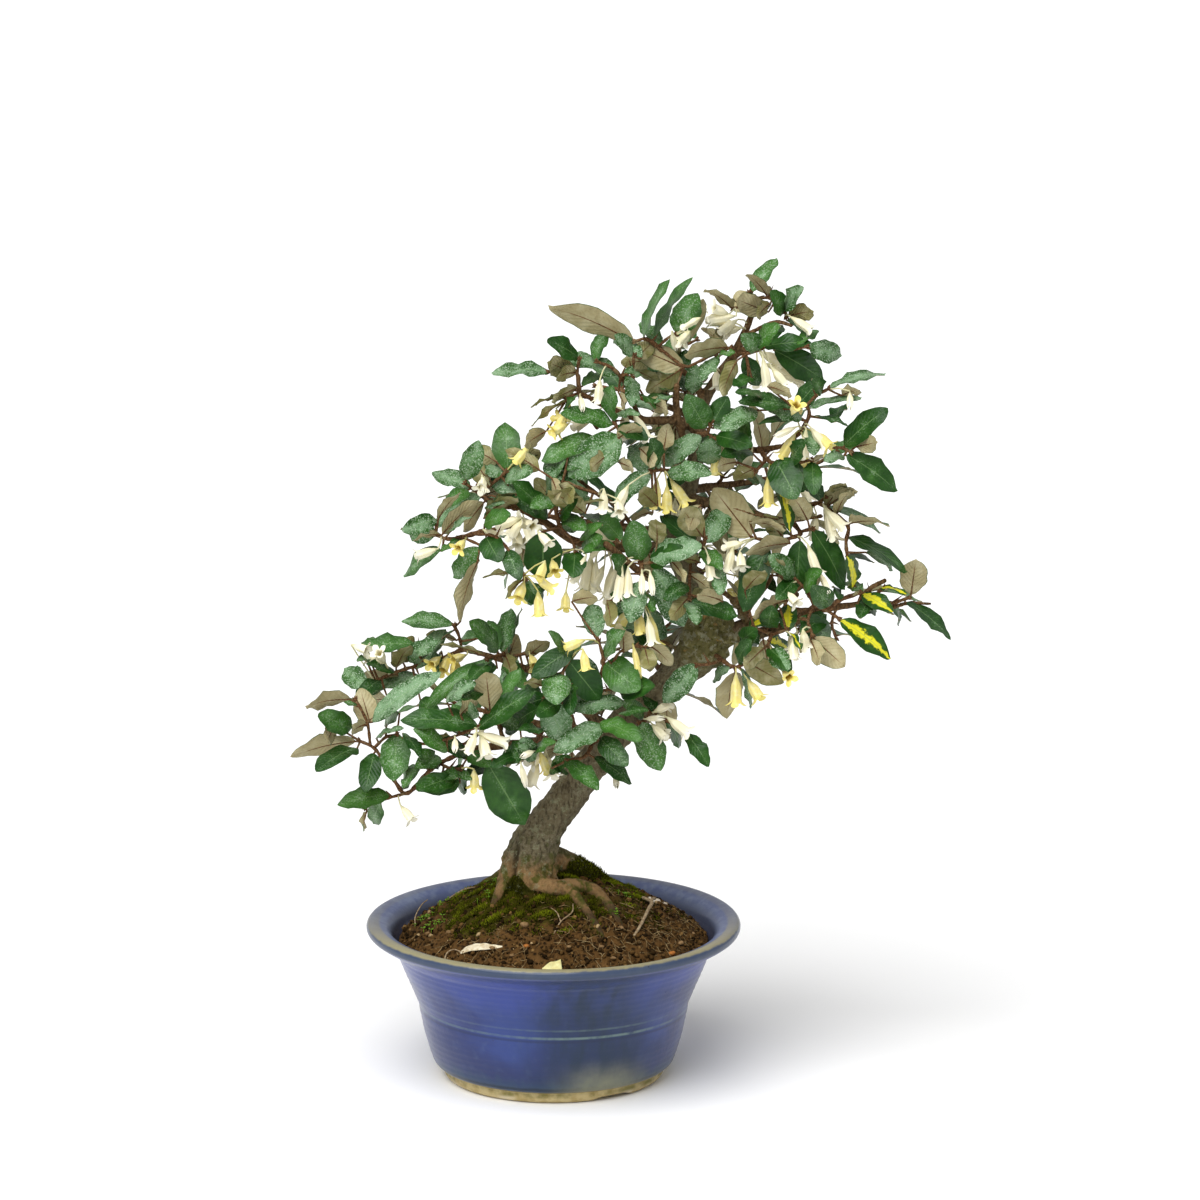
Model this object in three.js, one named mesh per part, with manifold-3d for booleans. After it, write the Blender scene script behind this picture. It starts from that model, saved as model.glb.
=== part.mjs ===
// A thorny olive (Elaeagnus pungens) trained as a small bonsai, in a round glazed pot.
// Millimetres, +Z up. The tree is laid out about the pot's axis, with +X to the right and -Y to the front,
// and the whole group is then shifted so that its box stands centred on the origin.

import * as THREE from "three";
import { mergeVertices } from "three/addons/utils/BufferGeometryUtils.js";
import Module from "manifold-3d";

const wasm = await Module();
wasm.setup();

// Driving dimensions of the pot and of what fills it.
const RIM_RADIUS = 94.8;
const POT_HEIGHT = 79.8;
const FOOT_RADIUS = 52.5;
const FOOT_WIDTH = 6;
const FOOT_HEIGHT = 4;
const FLOOR_TOP = 9.3;
const WALL_ROUND = 28;
const DRAIN_RADIUS = 8;
const NOTCH_WIDTH = 24;
const NOTCH_HEIGHT = 2.4;
const NOTCH_ANGLES = [-57, 63, 183];
const SCREEN_SIDE = 30;
const SCREEN_THICK = 1;
const SCREEN_STRANDS = 3;
const STRAND_WIDTH = 2;
const SOIL_RADIUS = 79;
const SOIL_EDGE = 70;
const SOIL_RISE = 30;
const CROWN_BUMP = { x: -10, y: 4, high: 4, wide: 18 };

// Two pieces that touch keep this much air, so that neither cuts the other.
const AIR = 0.3;

// Thickness of a leaf at its midrib, and how far its edges wave out of its plane.
const LEAF_THICK = 0.9;
const LEAF_WAVE = 0.8;
// A leaf's least and greatest length, and its breadth, its arch and its trough as shares of its size.
const LEAF_LENGTH = [22, 33];
const LEAF_BREADTH = 0.4;
const LEAF_ARCH = 0.22;
const LEAF_TROUGH = 0.12;
const LEAF_TURN = THREE.MathUtils.degToRad(144);

// Length of a flower from its stalk to the tips of its lobes, and its radii.
const FLOWER_LENGTH = 15.5;
const BELL_NECK = 1.15;
const BELL_MOUTH = 2.2;
const LOBE_REACH = 4.8;
const STALK_RADIUS = 0.45;

// The tree was drawn from the front at twice its size, from a point in front of the pot and above it.
// A drawn point is [across, down, back]: its place on the sheet, and how far behind the pot's axis it is.
const SHEET_MIDDLE = 600;
const EYE_FOCUS = 6400;
const EYE_DISTANCE = 3200;
const EYE_TILT = THREE.MathUtils.degToRad(12.7);
const SHEET_AIM = new THREE.Vector3(23.5, 0, 246);
const LOOK = new THREE.Vector3(0, Math.cos(EYE_TILT), -Math.sin(EYE_TILT));
const SHEET_UP = new THREE.Vector3(0, Math.sin(EYE_TILT), Math.cos(EYE_TILT));
const EYE = SHEET_AIM.clone().addScaledVector(LOOK, -EYE_DISTANCE);

/** The place in space of a drawn point. */
function seen([across, down, back]) {
  const ray = LOOK.clone().multiplyScalar(EYE_FOCUS);
  ray.x += across - SHEET_MIDDLE;
  ray.addScaledVector(SHEET_UP, SHEET_MIDDLE - down);
  return EYE.clone().addScaledVector(ray, (back - EYE.y) / ray.y);
}

/** A number from 0 to 1 that is always the same for the same leaf and question. */
function draw(leaf, question) {
  const wave = Math.sin(leaf * 12.9898 + question * 78.233) * 43758.5453;
  return wave - Math.floor(wave);
}

const mix = (from, to, share) => from + (to - from) * share;

/** A closed three.js geometry as a solid that can be joined and cut. */
function solidOf(geometry) {
  const bare = geometry.clone();
  bare.deleteAttribute("normal");
  bare.deleteAttribute("uv");
  const whole = mergeVertices(bare, 1e-4);
  return new wasm.Manifold(new wasm.Mesh({
    numProp: 3,
    vertProperties: new Float32Array(whole.attributes.position.array),
    triVerts: new Uint32Array(whole.index.array),
  }));
}

/** A geometry from points and triangles. */
function geometryOf(points, faces) {
  const geometry = new THREE.BufferGeometry();
  geometry.setAttribute("position", new THREE.Float32BufferAttribute(points.flatMap((p) => p.toArray()), 3));
  geometry.setIndex(faces.flat());
  return geometry;
}

/** A skin over rings of equally many corners, closed at both ends. */
function skinOver(rings) {
  const sides = rings[0].length;
  const faces = [];
  for (let ring = 0; ring + 1 < rings.length; ring += 1) {
    for (let side = 0; side < sides; side += 1) {
      const a = ring * sides + side;
      const b = ring * sides + (side + 1) % sides;
      faces.push([a, b, b + sides], [a, b + sides, a + sides]);
    }
  }
  const last = (rings.length - 1) * sides;
  for (let side = 1; side + 1 < sides; side += 1) {
    faces.push([0, side + 1, side], [last, last + side, last + side + 1]);
  }
  return geometryOf(rings.flat(), faces);
}

/** A round limb through places with a radius each. Bumps swell and pinch its section. */
function limb(places, sides, bumps = 0) {
  const rings = [];
  let across = null;
  places.forEach(({ at, radius }, index) => {
    const before = places[Math.max(index - 1, 0)].at;
    const after = places[Math.min(index + 1, places.length - 1)].at;
    const along = after.clone().sub(before).normalize();
    if (!across) across = new THREE.Vector3(along.z, 0.3, -along.x);
    across.addScaledVector(along, -across.dot(along)).normalize();
    const over = along.clone().cross(across);
    const ring = [];
    for (let side = 0; side < sides; side += 1) {
      const turn = (side / sides) * Math.PI * 2;
      const swell = 1 + bumps * (Math.sin(2 * turn + index * 0.9) + 0.7 * Math.sin(3 * turn - index * 1.3));
      ring.push(at.clone()
        .addScaledVector(across, Math.cos(turn) * radius * swell)
        .addScaledVector(over, Math.sin(turn) * radius * swell));
    }
    rings.push(ring);
  });
  return skinOver(rings);
}

/** Whether a solid keeps clear of all the others by the air between pieces. */
function isClear(solid, others) {
  const { min, max } = solid.boundingBox();
  return others.every((other) => {
    const near = [0, 1, 2].every((axis) =>
      min[axis] - AIR < other.box.max[axis] && max[axis] + AIR > other.box.min[axis]);
    return !near || solid.minGap(other.solid, AIR) >= AIR * 0.99;
  });
}

const obstacle = (solid, owner) => ({ solid, owner, box: solid.boundingBox() });

/** Solids that grew together, as one body. A scrap that is left loose where they cross is dropped. */
function grown(solids, name) {
  const bodies = wasm.Manifold.union(solids).decompose();
  bodies.sort((one, other) => other.volume() - one.volume());
  bodies.slice(1).forEach((scrap) => {
    if (scrap.volume() > 1) console.warn(`${name} loses a piece of ${scrap.volume().toFixed(1)} mm3`);
  });
  return bodies[0];
}

const pieces = [];

/** Adds a finished solid to the object as a named mesh. */
function addPiece(name, solid, colour, roughness, metalness = 0) {
  const { vertProperties, triVerts, numProp } = solid.getMesh();
  const geometry = new THREE.BufferGeometry();
  const corners = [];
  for (let corner = 0; corner < vertProperties.length; corner += numProp) {
    corners.push(vertProperties[corner], vertProperties[corner + 1], vertProperties[corner + 2]);
  }
  geometry.setAttribute("position", new THREE.Float32BufferAttribute(corners, 3));
  geometry.setIndex([...triVerts]);
  const finish = new THREE.MeshStandardMaterial({ color: colour, roughness, metalness });
  const mesh = new THREE.Mesh(geometry, finish);
  mesh.name = name;
  pieces.push(mesh);
}

/** A profile of [radius, height] points turned about the upright axis. */
function turned(profile, round) {
  const outline = profile.map(([radius, height]) => new THREE.Vector2(radius, height));
  const lathe = new THREE.LatheGeometry(outline, round);
  lathe.rotateX(Math.PI / 2);
  return lathe;
}

// The pot: one piece of thrown stoneware, about 4 mm thick and heavier towards its foot. The wall widens
// from the foot ring past a pair of fine grooves, and turns out into a broad lip whose top slopes back.
const OUTSIDE = [
  [FOOT_RADIUS, 0], [55.8, 1.4], [56.6, 6], [60, 6.8], [66, 25], [68.7, 35.8], [67.9, 36.7],
  [69.6, 39.8], [79, 65], [93.4, 75.2], [RIM_RADIUS, 77.4], [93.4, 79.4],
];
const INSIDE = [
  [91, POT_HEIGHT], [83, 77], [80.5, 71.5], [74.4, 63.5], [57, 20], [48, FLOOR_TOP],
];
const UNDERSIDE = [
  [DRAIN_RADIUS, FLOOR_TOP], [DRAIN_RADIUS, FOOT_HEIGHT], [FOOT_RADIUS - FOOT_WIDTH - 1, FOOT_HEIGHT],
  [FOOT_RADIUS - FOOT_WIDTH, 0], [FOOT_RADIUS, 0],
];

/** The shallow arch of a drain notch, cut right through the foot ring. */
function footNotch(angle) {
  const arch = new THREE.Shape();
  arch.moveTo(-NOTCH_WIDTH / 2, -1);
  arch.lineTo(NOTCH_WIDTH / 2, -1);
  arch.lineTo(NOTCH_WIDTH / 2 - 4, NOTCH_HEIGHT * 0.8);
  arch.lineTo(0, NOTCH_HEIGHT);
  arch.lineTo(4 - NOTCH_WIDTH / 2, NOTCH_HEIGHT * 0.8);
  const bar = new THREE.ExtrudeGeometry(arch, { depth: 20, bevelEnabled: false });
  bar.rotateX(Math.PI / 2);
  bar.translate(0, -FOOT_RADIUS + 12, 0);
  bar.rotateZ(THREE.MathUtils.degToRad(angle + 90));
  return solidOf(bar);
}

const wheelPot = solidOf(turned([...OUTSIDE, ...INSIDE, ...UNDERSIDE], WALL_ROUND));
const pot = wheelPot.subtract(wasm.Manifold.union(NOTCH_ANGLES.map(footNotch)));
addPiece("pot", pot, 0x3d4c9a, 0.25);

// The drain screen: a square of plastic net that lies on the floor and keeps the soil out of the hole.
function drainScreen() {
  const pitch = (SCREEN_SIDE - STRAND_WIDTH) / (SCREEN_STRANDS - 1);
  const strands = [];
  for (let row = 0; row < SCREEN_STRANDS; row += 1) {
    const offset = (row - (SCREEN_STRANDS - 1) / 2) * pitch;
    [0, Math.PI / 2].forEach((turn) => {
      const strand = new THREE.BoxGeometry(SCREEN_SIDE, STRAND_WIDTH, SCREEN_THICK);
      strand.translate(0, offset, FLOOR_TOP + AIR + SCREEN_THICK / 2);
      strand.rotateZ(turn);
      strands.push(solidOf(strand));
    });
  }
  return wasm.Manifold.union(strands);
}
addPiece("drain_screen", drainScreen(), 0x1d1f1e, 0.6);

/** Height of the soil: highest at the trunk, and falling away to the pot's wall. */
function mound(x, y) {
  const out = Math.min(Math.hypot(x, y) / SOIL_RADIUS, 1);
  const near = ((x - CROWN_BUMP.x) ** 2 + (y - CROWN_BUMP.y) ** 2) / (2 * CROWN_BUMP.wide ** 2);
  return SOIL_EDGE + SOIL_RISE * (1 - out * out) + CROWN_BUMP.high * Math.exp(-near);
}

// The trunk's line from below the soil to its tip: drawn points with a radius in millimetres.
// It leans to the right, swells into a burl at its bend, and then turns back up.
const TRUNK = [
  [524, 932, -5, 12.5], [526, 892, -5, 15], [529, 868, -5, 14.4], [533, 850, -5, 12.8], [540, 834, -5, 11],
  [552, 817, -5, 9.7], [567, 797, -5, 9.3], [583, 774, -5, 9], [601, 752, -4, 8.7], [622, 727, -3, 8.4],
  [648, 702, -2, 8], [672, 679, -1, 8.2], [690, 661, 0, 10], [704, 643, 0, 13.2], [708, 624, 0, 11.5],
  [703, 606, 1, 8], [694, 588, 2, 6.4], [682, 564, 3, 5.8], [675, 538, 4, 5.3], [679, 512, 4, 5],
  [688, 488, 4, 4.6], [695, 462, 4, 4.2], [699, 432, 4, 3.8], [702, 405, 3, 3.3], [716, 380, 2, 2.9],
  [733, 356, 2, 2.4], [745, 332, 1, 1.9], [754, 308, 0, 1.3],
];

// Surface roots: [x, y, height over the soil, radius] in millimetres about the pot's axis.
const ROOTS = [
  [[-12, -9, 10, 5], [-7, -16, 3.5, 5.2], [0, -18, 1.6, 4.8], [10, -14.5, 1.8, 4.2], [19, -12, 1.4, 3.6],
    [26, -21, 0.8, 3], [31, -32, 0, 2.2], [36, -39, -3, 1.4]],
  [[6, -15, 1, 3.6], [11, -23, 1.2, 3], [17, -34, 0.4, 2.4], [23, -45, -0.6, 1.8], [27, -52, -3.4, 1.2]],
  [[-18, -8, 9, 5], [-24, -12, 2.6, 4.2], [-28, -18, 0.8, 3], [-31, -26, -2, 1.8]],
  [[-2, 2, 8, 6.5], [6, 8, 6, 6.4], [14, 11, 3, 5.4], [22, 16, 0.6, 3.6], [29, 22, -2.4, 2]],
  [[-18, 3, 6, 5.4], [-27, 11, 1, 3.8], [-37, 19, -0.4, 2.6], [-44, 26, -3.4, 1.5]],
  [[-9, 7, 6, 5.4], [-9, 20, 1, 3.8], [-4, 32, -0.2, 2.6], [0, 42, -3.4, 1.5]],
];

// Branches that carry the shoots: drawn points with a radius in millimetres.
const BRANCHES = {
  low_left: [[628, 728, -6, 4.2], [604, 727, -16, 3.6], [575, 733, -23, 3.1], [540, 742, -27, 2.7],
    [505, 745, -29, 2.3], [474, 749, -28, 1.9]],
  mid_left: [[606, 728, -16, 3], [585, 710, -18, 2.6], [568, 684, -12, 2.3], [540, 674, -2, 2],
    [508, 662, 6, 1.7], [480, 653, 14, 1.4]],
  left_arm: [[676, 545, 2, 3.4], [640, 548, -8, 2.9], [604, 546, -12, 2.5], [572, 540, -15, 2.1],
    [545, 522, -16, 1.8], [512, 506, -14, 1.5], [488, 499, -11, 1.2]],
  left_arm_fork: [[545, 522, -16, 1.6], [512, 526, -27, 1.4], [482, 532, -31, 1.2]],
  right_arm: [[722, 640, -8, 3.6], [755, 634, -13, 3.1], [786, 626, -15, 2.7], [812, 612, -15, 2.2],
    [845, 606, -14, 1.8], [876, 602, -12, 1.4]],
  right_mid: [[684, 498, 2, 3], [712, 504, -2, 2.6], [745, 512, -6, 2.3], [782, 520, -8, 1.9],
    [805, 511, -8, 1.5]],
  right_high: [[699, 442, 2, 2.4], [725, 442, -6, 2.1], [755, 450, -14, 1.8], [783, 446, -20, 1.4]],
  left_high: [[699, 432, 2, 2.8], [680, 421, -4, 2.4], [645, 420, -9, 2.1], [614, 410, -11, 1.7],
    [592, 400, -10, 1.3]],
  left_high_fork: [[640, 420, -10, 1.6], [632, 400, -8, 1.3], [626, 386, -4, 1.1]],
  top_left: [[703, 398, 2, 2.2], [692, 380, -2, 1.8], [670, 360, 2, 1.4]],
  top_right: [[733, 356, 1, 2.2], [752, 346, -5, 1.7], [764, 339, -9, 1.4]],
  front_low: [[575, 733, -23, 1.8], [572, 718, -36, 1.4]],
  front_left: [[505, 745, -29, 1.6], [500, 729, -40, 1.2]],
  front_centre: [[640, 548, -8, 1.8], [641, 556, -20, 1.3]],
  back_low_left: [[622, 728, 3, 3.6], [596, 730, 18, 3], [560, 728, 30, 2.4], [520, 720, 40, 1.8]],
  back_left: [[675, 535, 6, 3], [640, 530, 20, 2.5], [600, 524, 32, 2], [565, 520, 40, 1.5]],
  back_right: [[715, 636, 8, 3.2], [748, 622, 22, 2.6], [785, 612, 34, 2], [818, 610, 42, 1.5]],
  back_right_high: [[688, 490, 7, 2.6], [718, 486, 22, 2.1], [752, 482, 34, 1.5]],
  back_high: [[700, 420, 6, 2.4], [672, 408, 22, 1.9], [645, 399, 32, 1.4]],
  back_low: [[664, 684, 5, 3], [664, 676, 26, 2.2], [656, 665, 44, 1.5]],
  back_middle: [[682, 560, 7, 2.6], [690, 566, 28, 2], [701, 571, 44, 1.4]],
};

/** Drawn points with radii as places in space, each a little thicker by the given amount. */
const drawnLimb = (line, extra) => line.map(([across, down, back, radius]) => (
  { at: seen([across, down, back]), radius: radius + extra }));

/** A root's points laid on the soil's surface. */
const laidRoot = (line, extra) => line.map(([x, y, over, radius]) => (
  { at: new THREE.Vector3(x, y, mound(x, y) + over), radius: radius + extra }));

// The trunk, its roots and its branches grew as one body.
function wholeTrunk(extra, withBranches) {
  const limbs = [limb(drawnLimb(TRUNK, extra), 8, 0.05)];
  ROOTS.forEach((root) => limbs.push(limb(laidRoot(root, extra), 5, 0.04)));
  if (withBranches) {
    Object.values(BRANCHES).forEach((branch) => limbs.push(limb(drawnLimb(branch, extra), 4)));
  }
  return grown(limbs.map(solidOf), "trunk");
}
const trunk = wholeTrunk(0, true);
addPiece("trunk", trunk, 0x6d5d4b, 0.9);

// The soil fills the pot and rises in a mound. The trunk and roots stand in plain holes in it,
// and the drain screen lies under it.
function soilBody() {
  const low = FLOOR_TOP + AIR;
  const top = SOIL_EDGE + 10;
  const profile = [
    [0, low], [47.3, low], [56.2, 20], [73.6, 63.5], [SOIL_RADIUS - 1, SOIL_EDGE],
    [66, top], [50, top], [33, top], [16, top], [0, top],
  ];
  const heap = turned(profile, 20);
  const place = heap.attributes.position;
  for (let index = 0; index < place.count; index += 1) {
    const x = place.getX(index);
    const y = place.getY(index);
    if (place.getZ(index) > SOIL_EDGE - 1) place.setZ(index, mound(x, y));
  }
  const recess = new THREE.BoxGeometry(SCREEN_SIDE + 1, SCREEN_SIDE + 1, 6);
  recess.translate(0, 0, FLOOR_TOP + SCREEN_THICK + 2 * AIR - 3);
  return solidOf(heap).subtract(solidOf(recess)).subtract(wholeTrunk(AIR, false));
}
const soil = soilBody();
addPiece("soil", soil, 0x4b3222, 0.95);

// Sprays: each is a twig with side twigs, drawn from the branch outwards, and the leaves it bears.
// A leaf is [face, base across, base down, tip across, tip down, visible breadth] on the sheet.
// Its face letter is what it turns to the front: G green, D dark and S silvery upper face, V variegated
// upper face, T tan and O olive underside.
const SPRAYS = {
  low_left_tip: {
    twigs: [
      [[470, 749, -27], [434, 767, -28], [408, 793, -28], [396, 783, -29], [384, 762, -30], [374, 748, -31],
        [360, 741, -32]],
      [[371, 745, -31], [367, 722, -34], [356, 700, -36]],
      [[408, 793, -28], [392, 797, -32], [376, 802, -35], [366, 807, -37]],
      [[440, 764, -28], [450, 768, -35], [460, 769, -39]],
      [[430, 769, -28], [420, 764, -35]],
      [[374, 748, -31], [386, 737, -34], [396, 735, -36]],
    ],
    leaves: [
      ["T", 356, 741, 290, 757, 16], ["D", 357, 748, 316, 772, 16], ["G", 352, 728, 318, 714, 21],
      ["T", 370, 723, 360, 688, 22], ["T", 350, 699, 305, 706, 14], ["S", 372, 722, 441, 672, 18],
      ["D", 374, 753, 365, 792, 20], ["G", 397, 734, 393, 781, 27], ["D", 456, 778, 416, 790, 18],
      ["G", 440, 766, 416, 752, 14], ["D", 463, 768, 461, 793, 14],
    ],
  },
  far_left: {
    twigs: [
      [[478, 653, 16], [462, 650, 12], [448, 656, 9], [425, 664, 5], [402, 670, 2], [372, 682, 0]],
      [[425, 664, 5], [416, 652, 1], [404, 648, -1]],
      [[462, 650, 12], [459, 636, 9], [455, 626, 6]],
    ],
    leaves: [
      ["S", 366, 688, 344, 668, 20], ["G", 416, 645, 361, 647, 15], ["O", 402, 662, 413, 636, 14],
      ["S", 440, 660, 405, 655, 16], ["G", 453, 625, 401, 621, 15], ["D", 380, 680, 356, 700, 14],
    ],
  },
  left_pad_top: {
    twigs: [
      [[510, 662, 7], [508, 657, -3], [500, 655, -11], [488, 658, -16]],
      [[508, 657, -3], [520, 655, -9], [532, 652, -12]],
    ],
    leaves: [
      ["G", 497, 652, 488, 620, 18], ["G", 503, 652, 511, 608, 17], ["G", 494, 658, 421, 714, 14],
      ["D", 488, 664, 470, 680, 14], ["T", 527, 657, 548, 641, 14], ["G", 505, 660, 524, 690, 15],
    ],
  },
  left_pad_front: {
    twigs: [
      [[500, 727, -41], [495, 716, -48], [487, 712, -52]],
      [[495, 716, -48], [476, 727, -52], [450, 738, -53], [424, 744, -52], [406, 737, -50]],
    ],
    leaves: [
      ["T", 490, 710, 486, 672, 26], ["G", 498, 712, 520, 668, 14], ["D", 478, 729, 536, 691, 20],
      ["D", 478, 725, 400, 720, 20], ["G", 448, 751, 413, 729, 15], ["G", 470, 732, 452, 704, 16],
      ["D", 440, 742, 468, 756, 15],
    ],
  },
  left_pad_under: {
    twigs: [
      [[490, 747, -29], [487, 756, -39], [494, 760, -45], [512, 757, -48], [530, 754, -49]],
    ],
    leaves: [
      ["D", 488, 764, 525, 825, 38], ["S", 530, 757, 522, 738, 17],
    ],
  },
  pad_middle: {
    twigs: [
      [[571, 716, -37], [567, 705, -45], [562, 690, -48], [563, 672, -48], [572, 656, -46]],
      [[567, 705, -45], [553, 700, -49], [546, 699, -51]],
    ],
    leaves: [
      ["D", 574, 648, 531, 677, 20], ["G", 556, 673, 556, 705, 26], ["S", 546, 701, 565, 740, 28],
      ["D", 568, 660, 600, 700, 28], ["D", 570, 680, 575, 714, 14], ["S", 573, 710, 626, 702, 16],
      ["D", 548, 697, 521, 706, 18],
    ],
  },
  pad_lower: {
    twigs: [
      [[592, 731, -22], [592, 744, -34], [584, 757, -42], [568, 760, -46]],
      [[592, 744, -34], [600, 735, -44], [604, 726, -48]],
    ],
    leaves: [
      ["S", 606, 726, 553, 752, 20], ["G", 600, 722, 642, 740, 17], ["G", 565, 760, 599, 790, 16],
      ["D", 594, 757, 632, 784, 14], ["D", 600, 738, 628, 766, 20], ["G", 572, 758, 548, 772, 13],
    ],
  },
  pad_right: {
    twigs: [
      [[585, 708, -18], [592, 692, -30], [602, 672, -40], [603, 658, -44], [599, 642, -45]],
      [[602, 672, -40], [612, 664, -45], [620, 652, -46], [636, 646, -44]],
      [[592, 692, -30], [608, 690, -40], [618, 690, -44]],
    ],
    leaves: [
      ["G", 605, 663, 640, 690, 30], ["G", 620, 690, 653, 683, 18], ["S", 598, 637, 590, 603, 20],
      ["O", 640, 647, 650, 672, 16], ["D", 598, 690, 580, 668, 16], ["G", 604, 656, 626, 628, 14],
    ],
  },
  trunk_front: {
    twigs: [
      [[650, 702, -6], [650, 711, -16], [647, 719, -24], [640, 722, -28]],
      [[650, 711, -16], [664, 719, -24], [684, 732, -30]],
    ],
    leaves: [
      ["G", 640, 722, 661, 771, 26], ["D", 666, 722, 681, 746, 14], ["G", 644, 716, 622, 702, 14],
    ],
  },
  burl_front: {
    twigs: [
      [[714, 654, -8], [722, 660, -18], [734, 667, -25], [744, 664, -29]],
      [[722, 660, -18], [710, 664, -27], [698, 665, -30]],
    ],
    leaves: [
      ["T", 735, 672, 727, 719, 23], ["O", 745, 661, 784, 683, 22], ["S", 697, 664, 663, 703, 22],
      ["D", 738, 662, 752, 640, 13],
    ],
  },
  left_arm_end: {
    twigs: [
      [[480, 532, -30], [462, 537, -33], [448, 539, -35], [436, 535, -36]],
      [[480, 532, -30], [480, 545, -37]],
      [[472, 534, -31], [496, 537, -41], [514, 558, -47], [526, 578, -48]],
    ],
    leaves: [
      ["S", 436, 535, 408, 526, 24], ["T", 442, 534, 478, 500, 14], ["G", 480, 548, 453, 578, 18],
      ["D", 486, 537, 500, 562, 22], ["D", 507, 550, 520, 580, 17], ["S", 530, 580, 531, 606, 20],
    ],
  },
  left_arm_top: {
    twigs: [
      [[486, 499, -11], [476, 491, -16], [466, 484, -19]],
      [[480, 494, -14], [492, 484, -18], [506, 472, -20]],
      [[484, 497, -13], [496, 506, -20], [512, 508, -23]],
    ],
    leaves: [
      ["S", 470, 489, 432, 472, 16], ["S", 466, 480, 479, 440, 20], ["O", 488, 482, 470, 452, 22],
      ["G", 508, 470, 505, 422, 26], ["S", 504, 474, 486, 462, 18], ["S", 505, 480, 533, 470, 14],
      ["D", 512, 490, 545, 518, 18], ["G", 468, 490, 446, 506, 14],
    ],
  },
  left_arm_middle: {
    twigs: [
      [[566, 536, -16], [560, 527, -25], [556, 508, -31], [562, 484, -34], [580, 488, -34], [600, 495, -33]],
      [[560, 527, -25], [550, 530, -32], [544, 531, -35]],
      [[560, 527, -25], [572, 540, -29], [575, 550, -31]],
    ],
    leaves: [
      ["D", 543, 531, 543, 580, 34], ["D", 575, 552, 573, 578, 22], ["O", 556, 505, 535, 478, 18],
      ["D", 560, 486, 575, 458, 16], ["O", 561, 510, 580, 496, 13], ["G", 555, 500, 530, 508, 14],
      ["S", 562, 480, 545, 462, 15],
    ],
  },
  centre_front: {
    twigs: [
      [[641, 557, -22], [641, 564, -29], [642, 578, -33], [640, 600, -34]],
      [[641, 560, -26], [630, 549, -32], [618, 542, -34]],
      [[641, 564, -29], [655, 562, -34]],
    ],
    leaves: [
      ["G", 640, 561, 633, 520, 25], ["S", 655, 566, 684, 627, 28], ["S", 638, 582, 630, 623, 22],
      ["S", 650, 558, 702, 545, 22], ["G", 622, 540, 600, 515, 18],
    ],
  },
  centre_high: {
    twigs: [
      [[690, 474, -1], [676, 472, -14], [664, 470, -24], [652, 471, -30]],
    ],
    leaves: [
      ["S", 661, 468, 628, 447, 26], ["S", 666, 473, 712, 474, 17], ["S", 652, 472, 613, 503, 18],
      ["D", 656, 467, 650, 438, 16],
    ],
  },
  crown_front: {
    twigs: [
      [[697, 434, -1], [702, 434, -14], [707, 433, -26], [710, 426, -32]],
      [[707, 433, -26], [718, 440, -31]],
    ],
    leaves: [
      ["G", 706, 428, 686, 394, 24], ["S", 702, 436, 662, 466, 18], ["S", 710, 438, 708, 465, 22],
      ["D", 716, 436, 753, 446, 18], ["S", 713, 428, 757, 413, 17], ["D", 713, 422, 728, 396, 18],
    ],
  },
  right_centre: {
    twigs: [
      [[680, 550, -2], [692, 548, -16], [703, 546, -28], [705, 539, -33]],
      [[692, 548, -16], [690, 572, -28], [689, 598, -34]],
    ],
    leaves: [
      ["S", 705, 543, 728, 507, 22], ["D", 697, 551, 662, 518, 13], ["G", 702, 549, 722, 570, 15],
      ["O", 702, 536, 682, 508, 24], ["D", 690, 602, 738, 616, 18], ["S", 688, 602, 697, 625, 13],
      ["D", 688, 585, 664, 600, 14], ["O", 689, 597, 670, 620, 15],
    ],
  },
  right_hub: {
    twigs: [
      [[790, 519, -10], [800, 532, -18], [797, 536, -24], [776, 541, -24], [753, 538, -22]],
      [[800, 532, -18], [812, 529, -26]],
    ],
    leaves: [
      ["T", 751, 537, 713, 488, 34], ["D", 800, 540, 798, 592, 22], ["D", 812, 530, 845, 590, 22],
      ["D", 768, 545, 743, 612, 25], ["O", 782, 536, 764, 514, 16],
    ],
  },
  right_end: {
    twigs: [
      [[807, 509, -7], [818, 503, -12], [832, 512, -18], [848, 526, -21], [846, 542, -23], [848, 560, -24],
        [853, 584, -26]],
      [[818, 503, -12], [826, 497, -17]],
    ],
    leaves: [
      ["S", 826, 506, 882, 533, 8], ["T", 850, 523, 889, 525, 7], ["D", 847, 537, 908, 572, 12],
      ["V", 853, 588, 847, 556, 13], ["D", 822, 503, 806, 480, 13],
    ],
  },
  right_tip: {
    twigs: [
      [[878, 602, -12], [892, 603, -14], [908, 598, -16]],
      [[884, 602, -13], [872, 597, -18], [862, 593, -20]],
      [[872, 597, -18], [884, 588, -22]],
    ],
    leaves: [
      ["T", 911, 595, 916, 559, 25], ["D", 906, 602, 951, 640, 12], ["D", 870, 600, 860, 618, 14],
    ],
  },
  right_low: {
    twigs: [
      [[808, 614, -17], [814, 606, -24], [826, 610, -29], [838, 618, -31]],
      [[814, 606, -24], [808, 620, -30], [812, 634, -33]],
      [[814, 606, -24], [806, 590, -25], [790, 574, -22]],
    ],
    leaves: [
      ["V", 840, 620, 891, 659, 20], ["T", 813, 638, 845, 667, 24], ["D", 830, 606, 812, 585, 20],
      ["D", 800, 617, 831, 638, 22], ["S", 795, 576, 768, 556, 18], ["D", 794, 580, 776, 600, 16],
      ["G", 804, 590, 822, 570, 14],
    ],
  },
  right_under: {
    twigs: [
      [[768, 632, -14], [771, 635, -24], [768, 645, -29]],
      [[771, 635, -24], [786, 630, -30]],
      [[771, 635, -24], [754, 627, -28]],
    ],
    leaves: [
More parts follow.
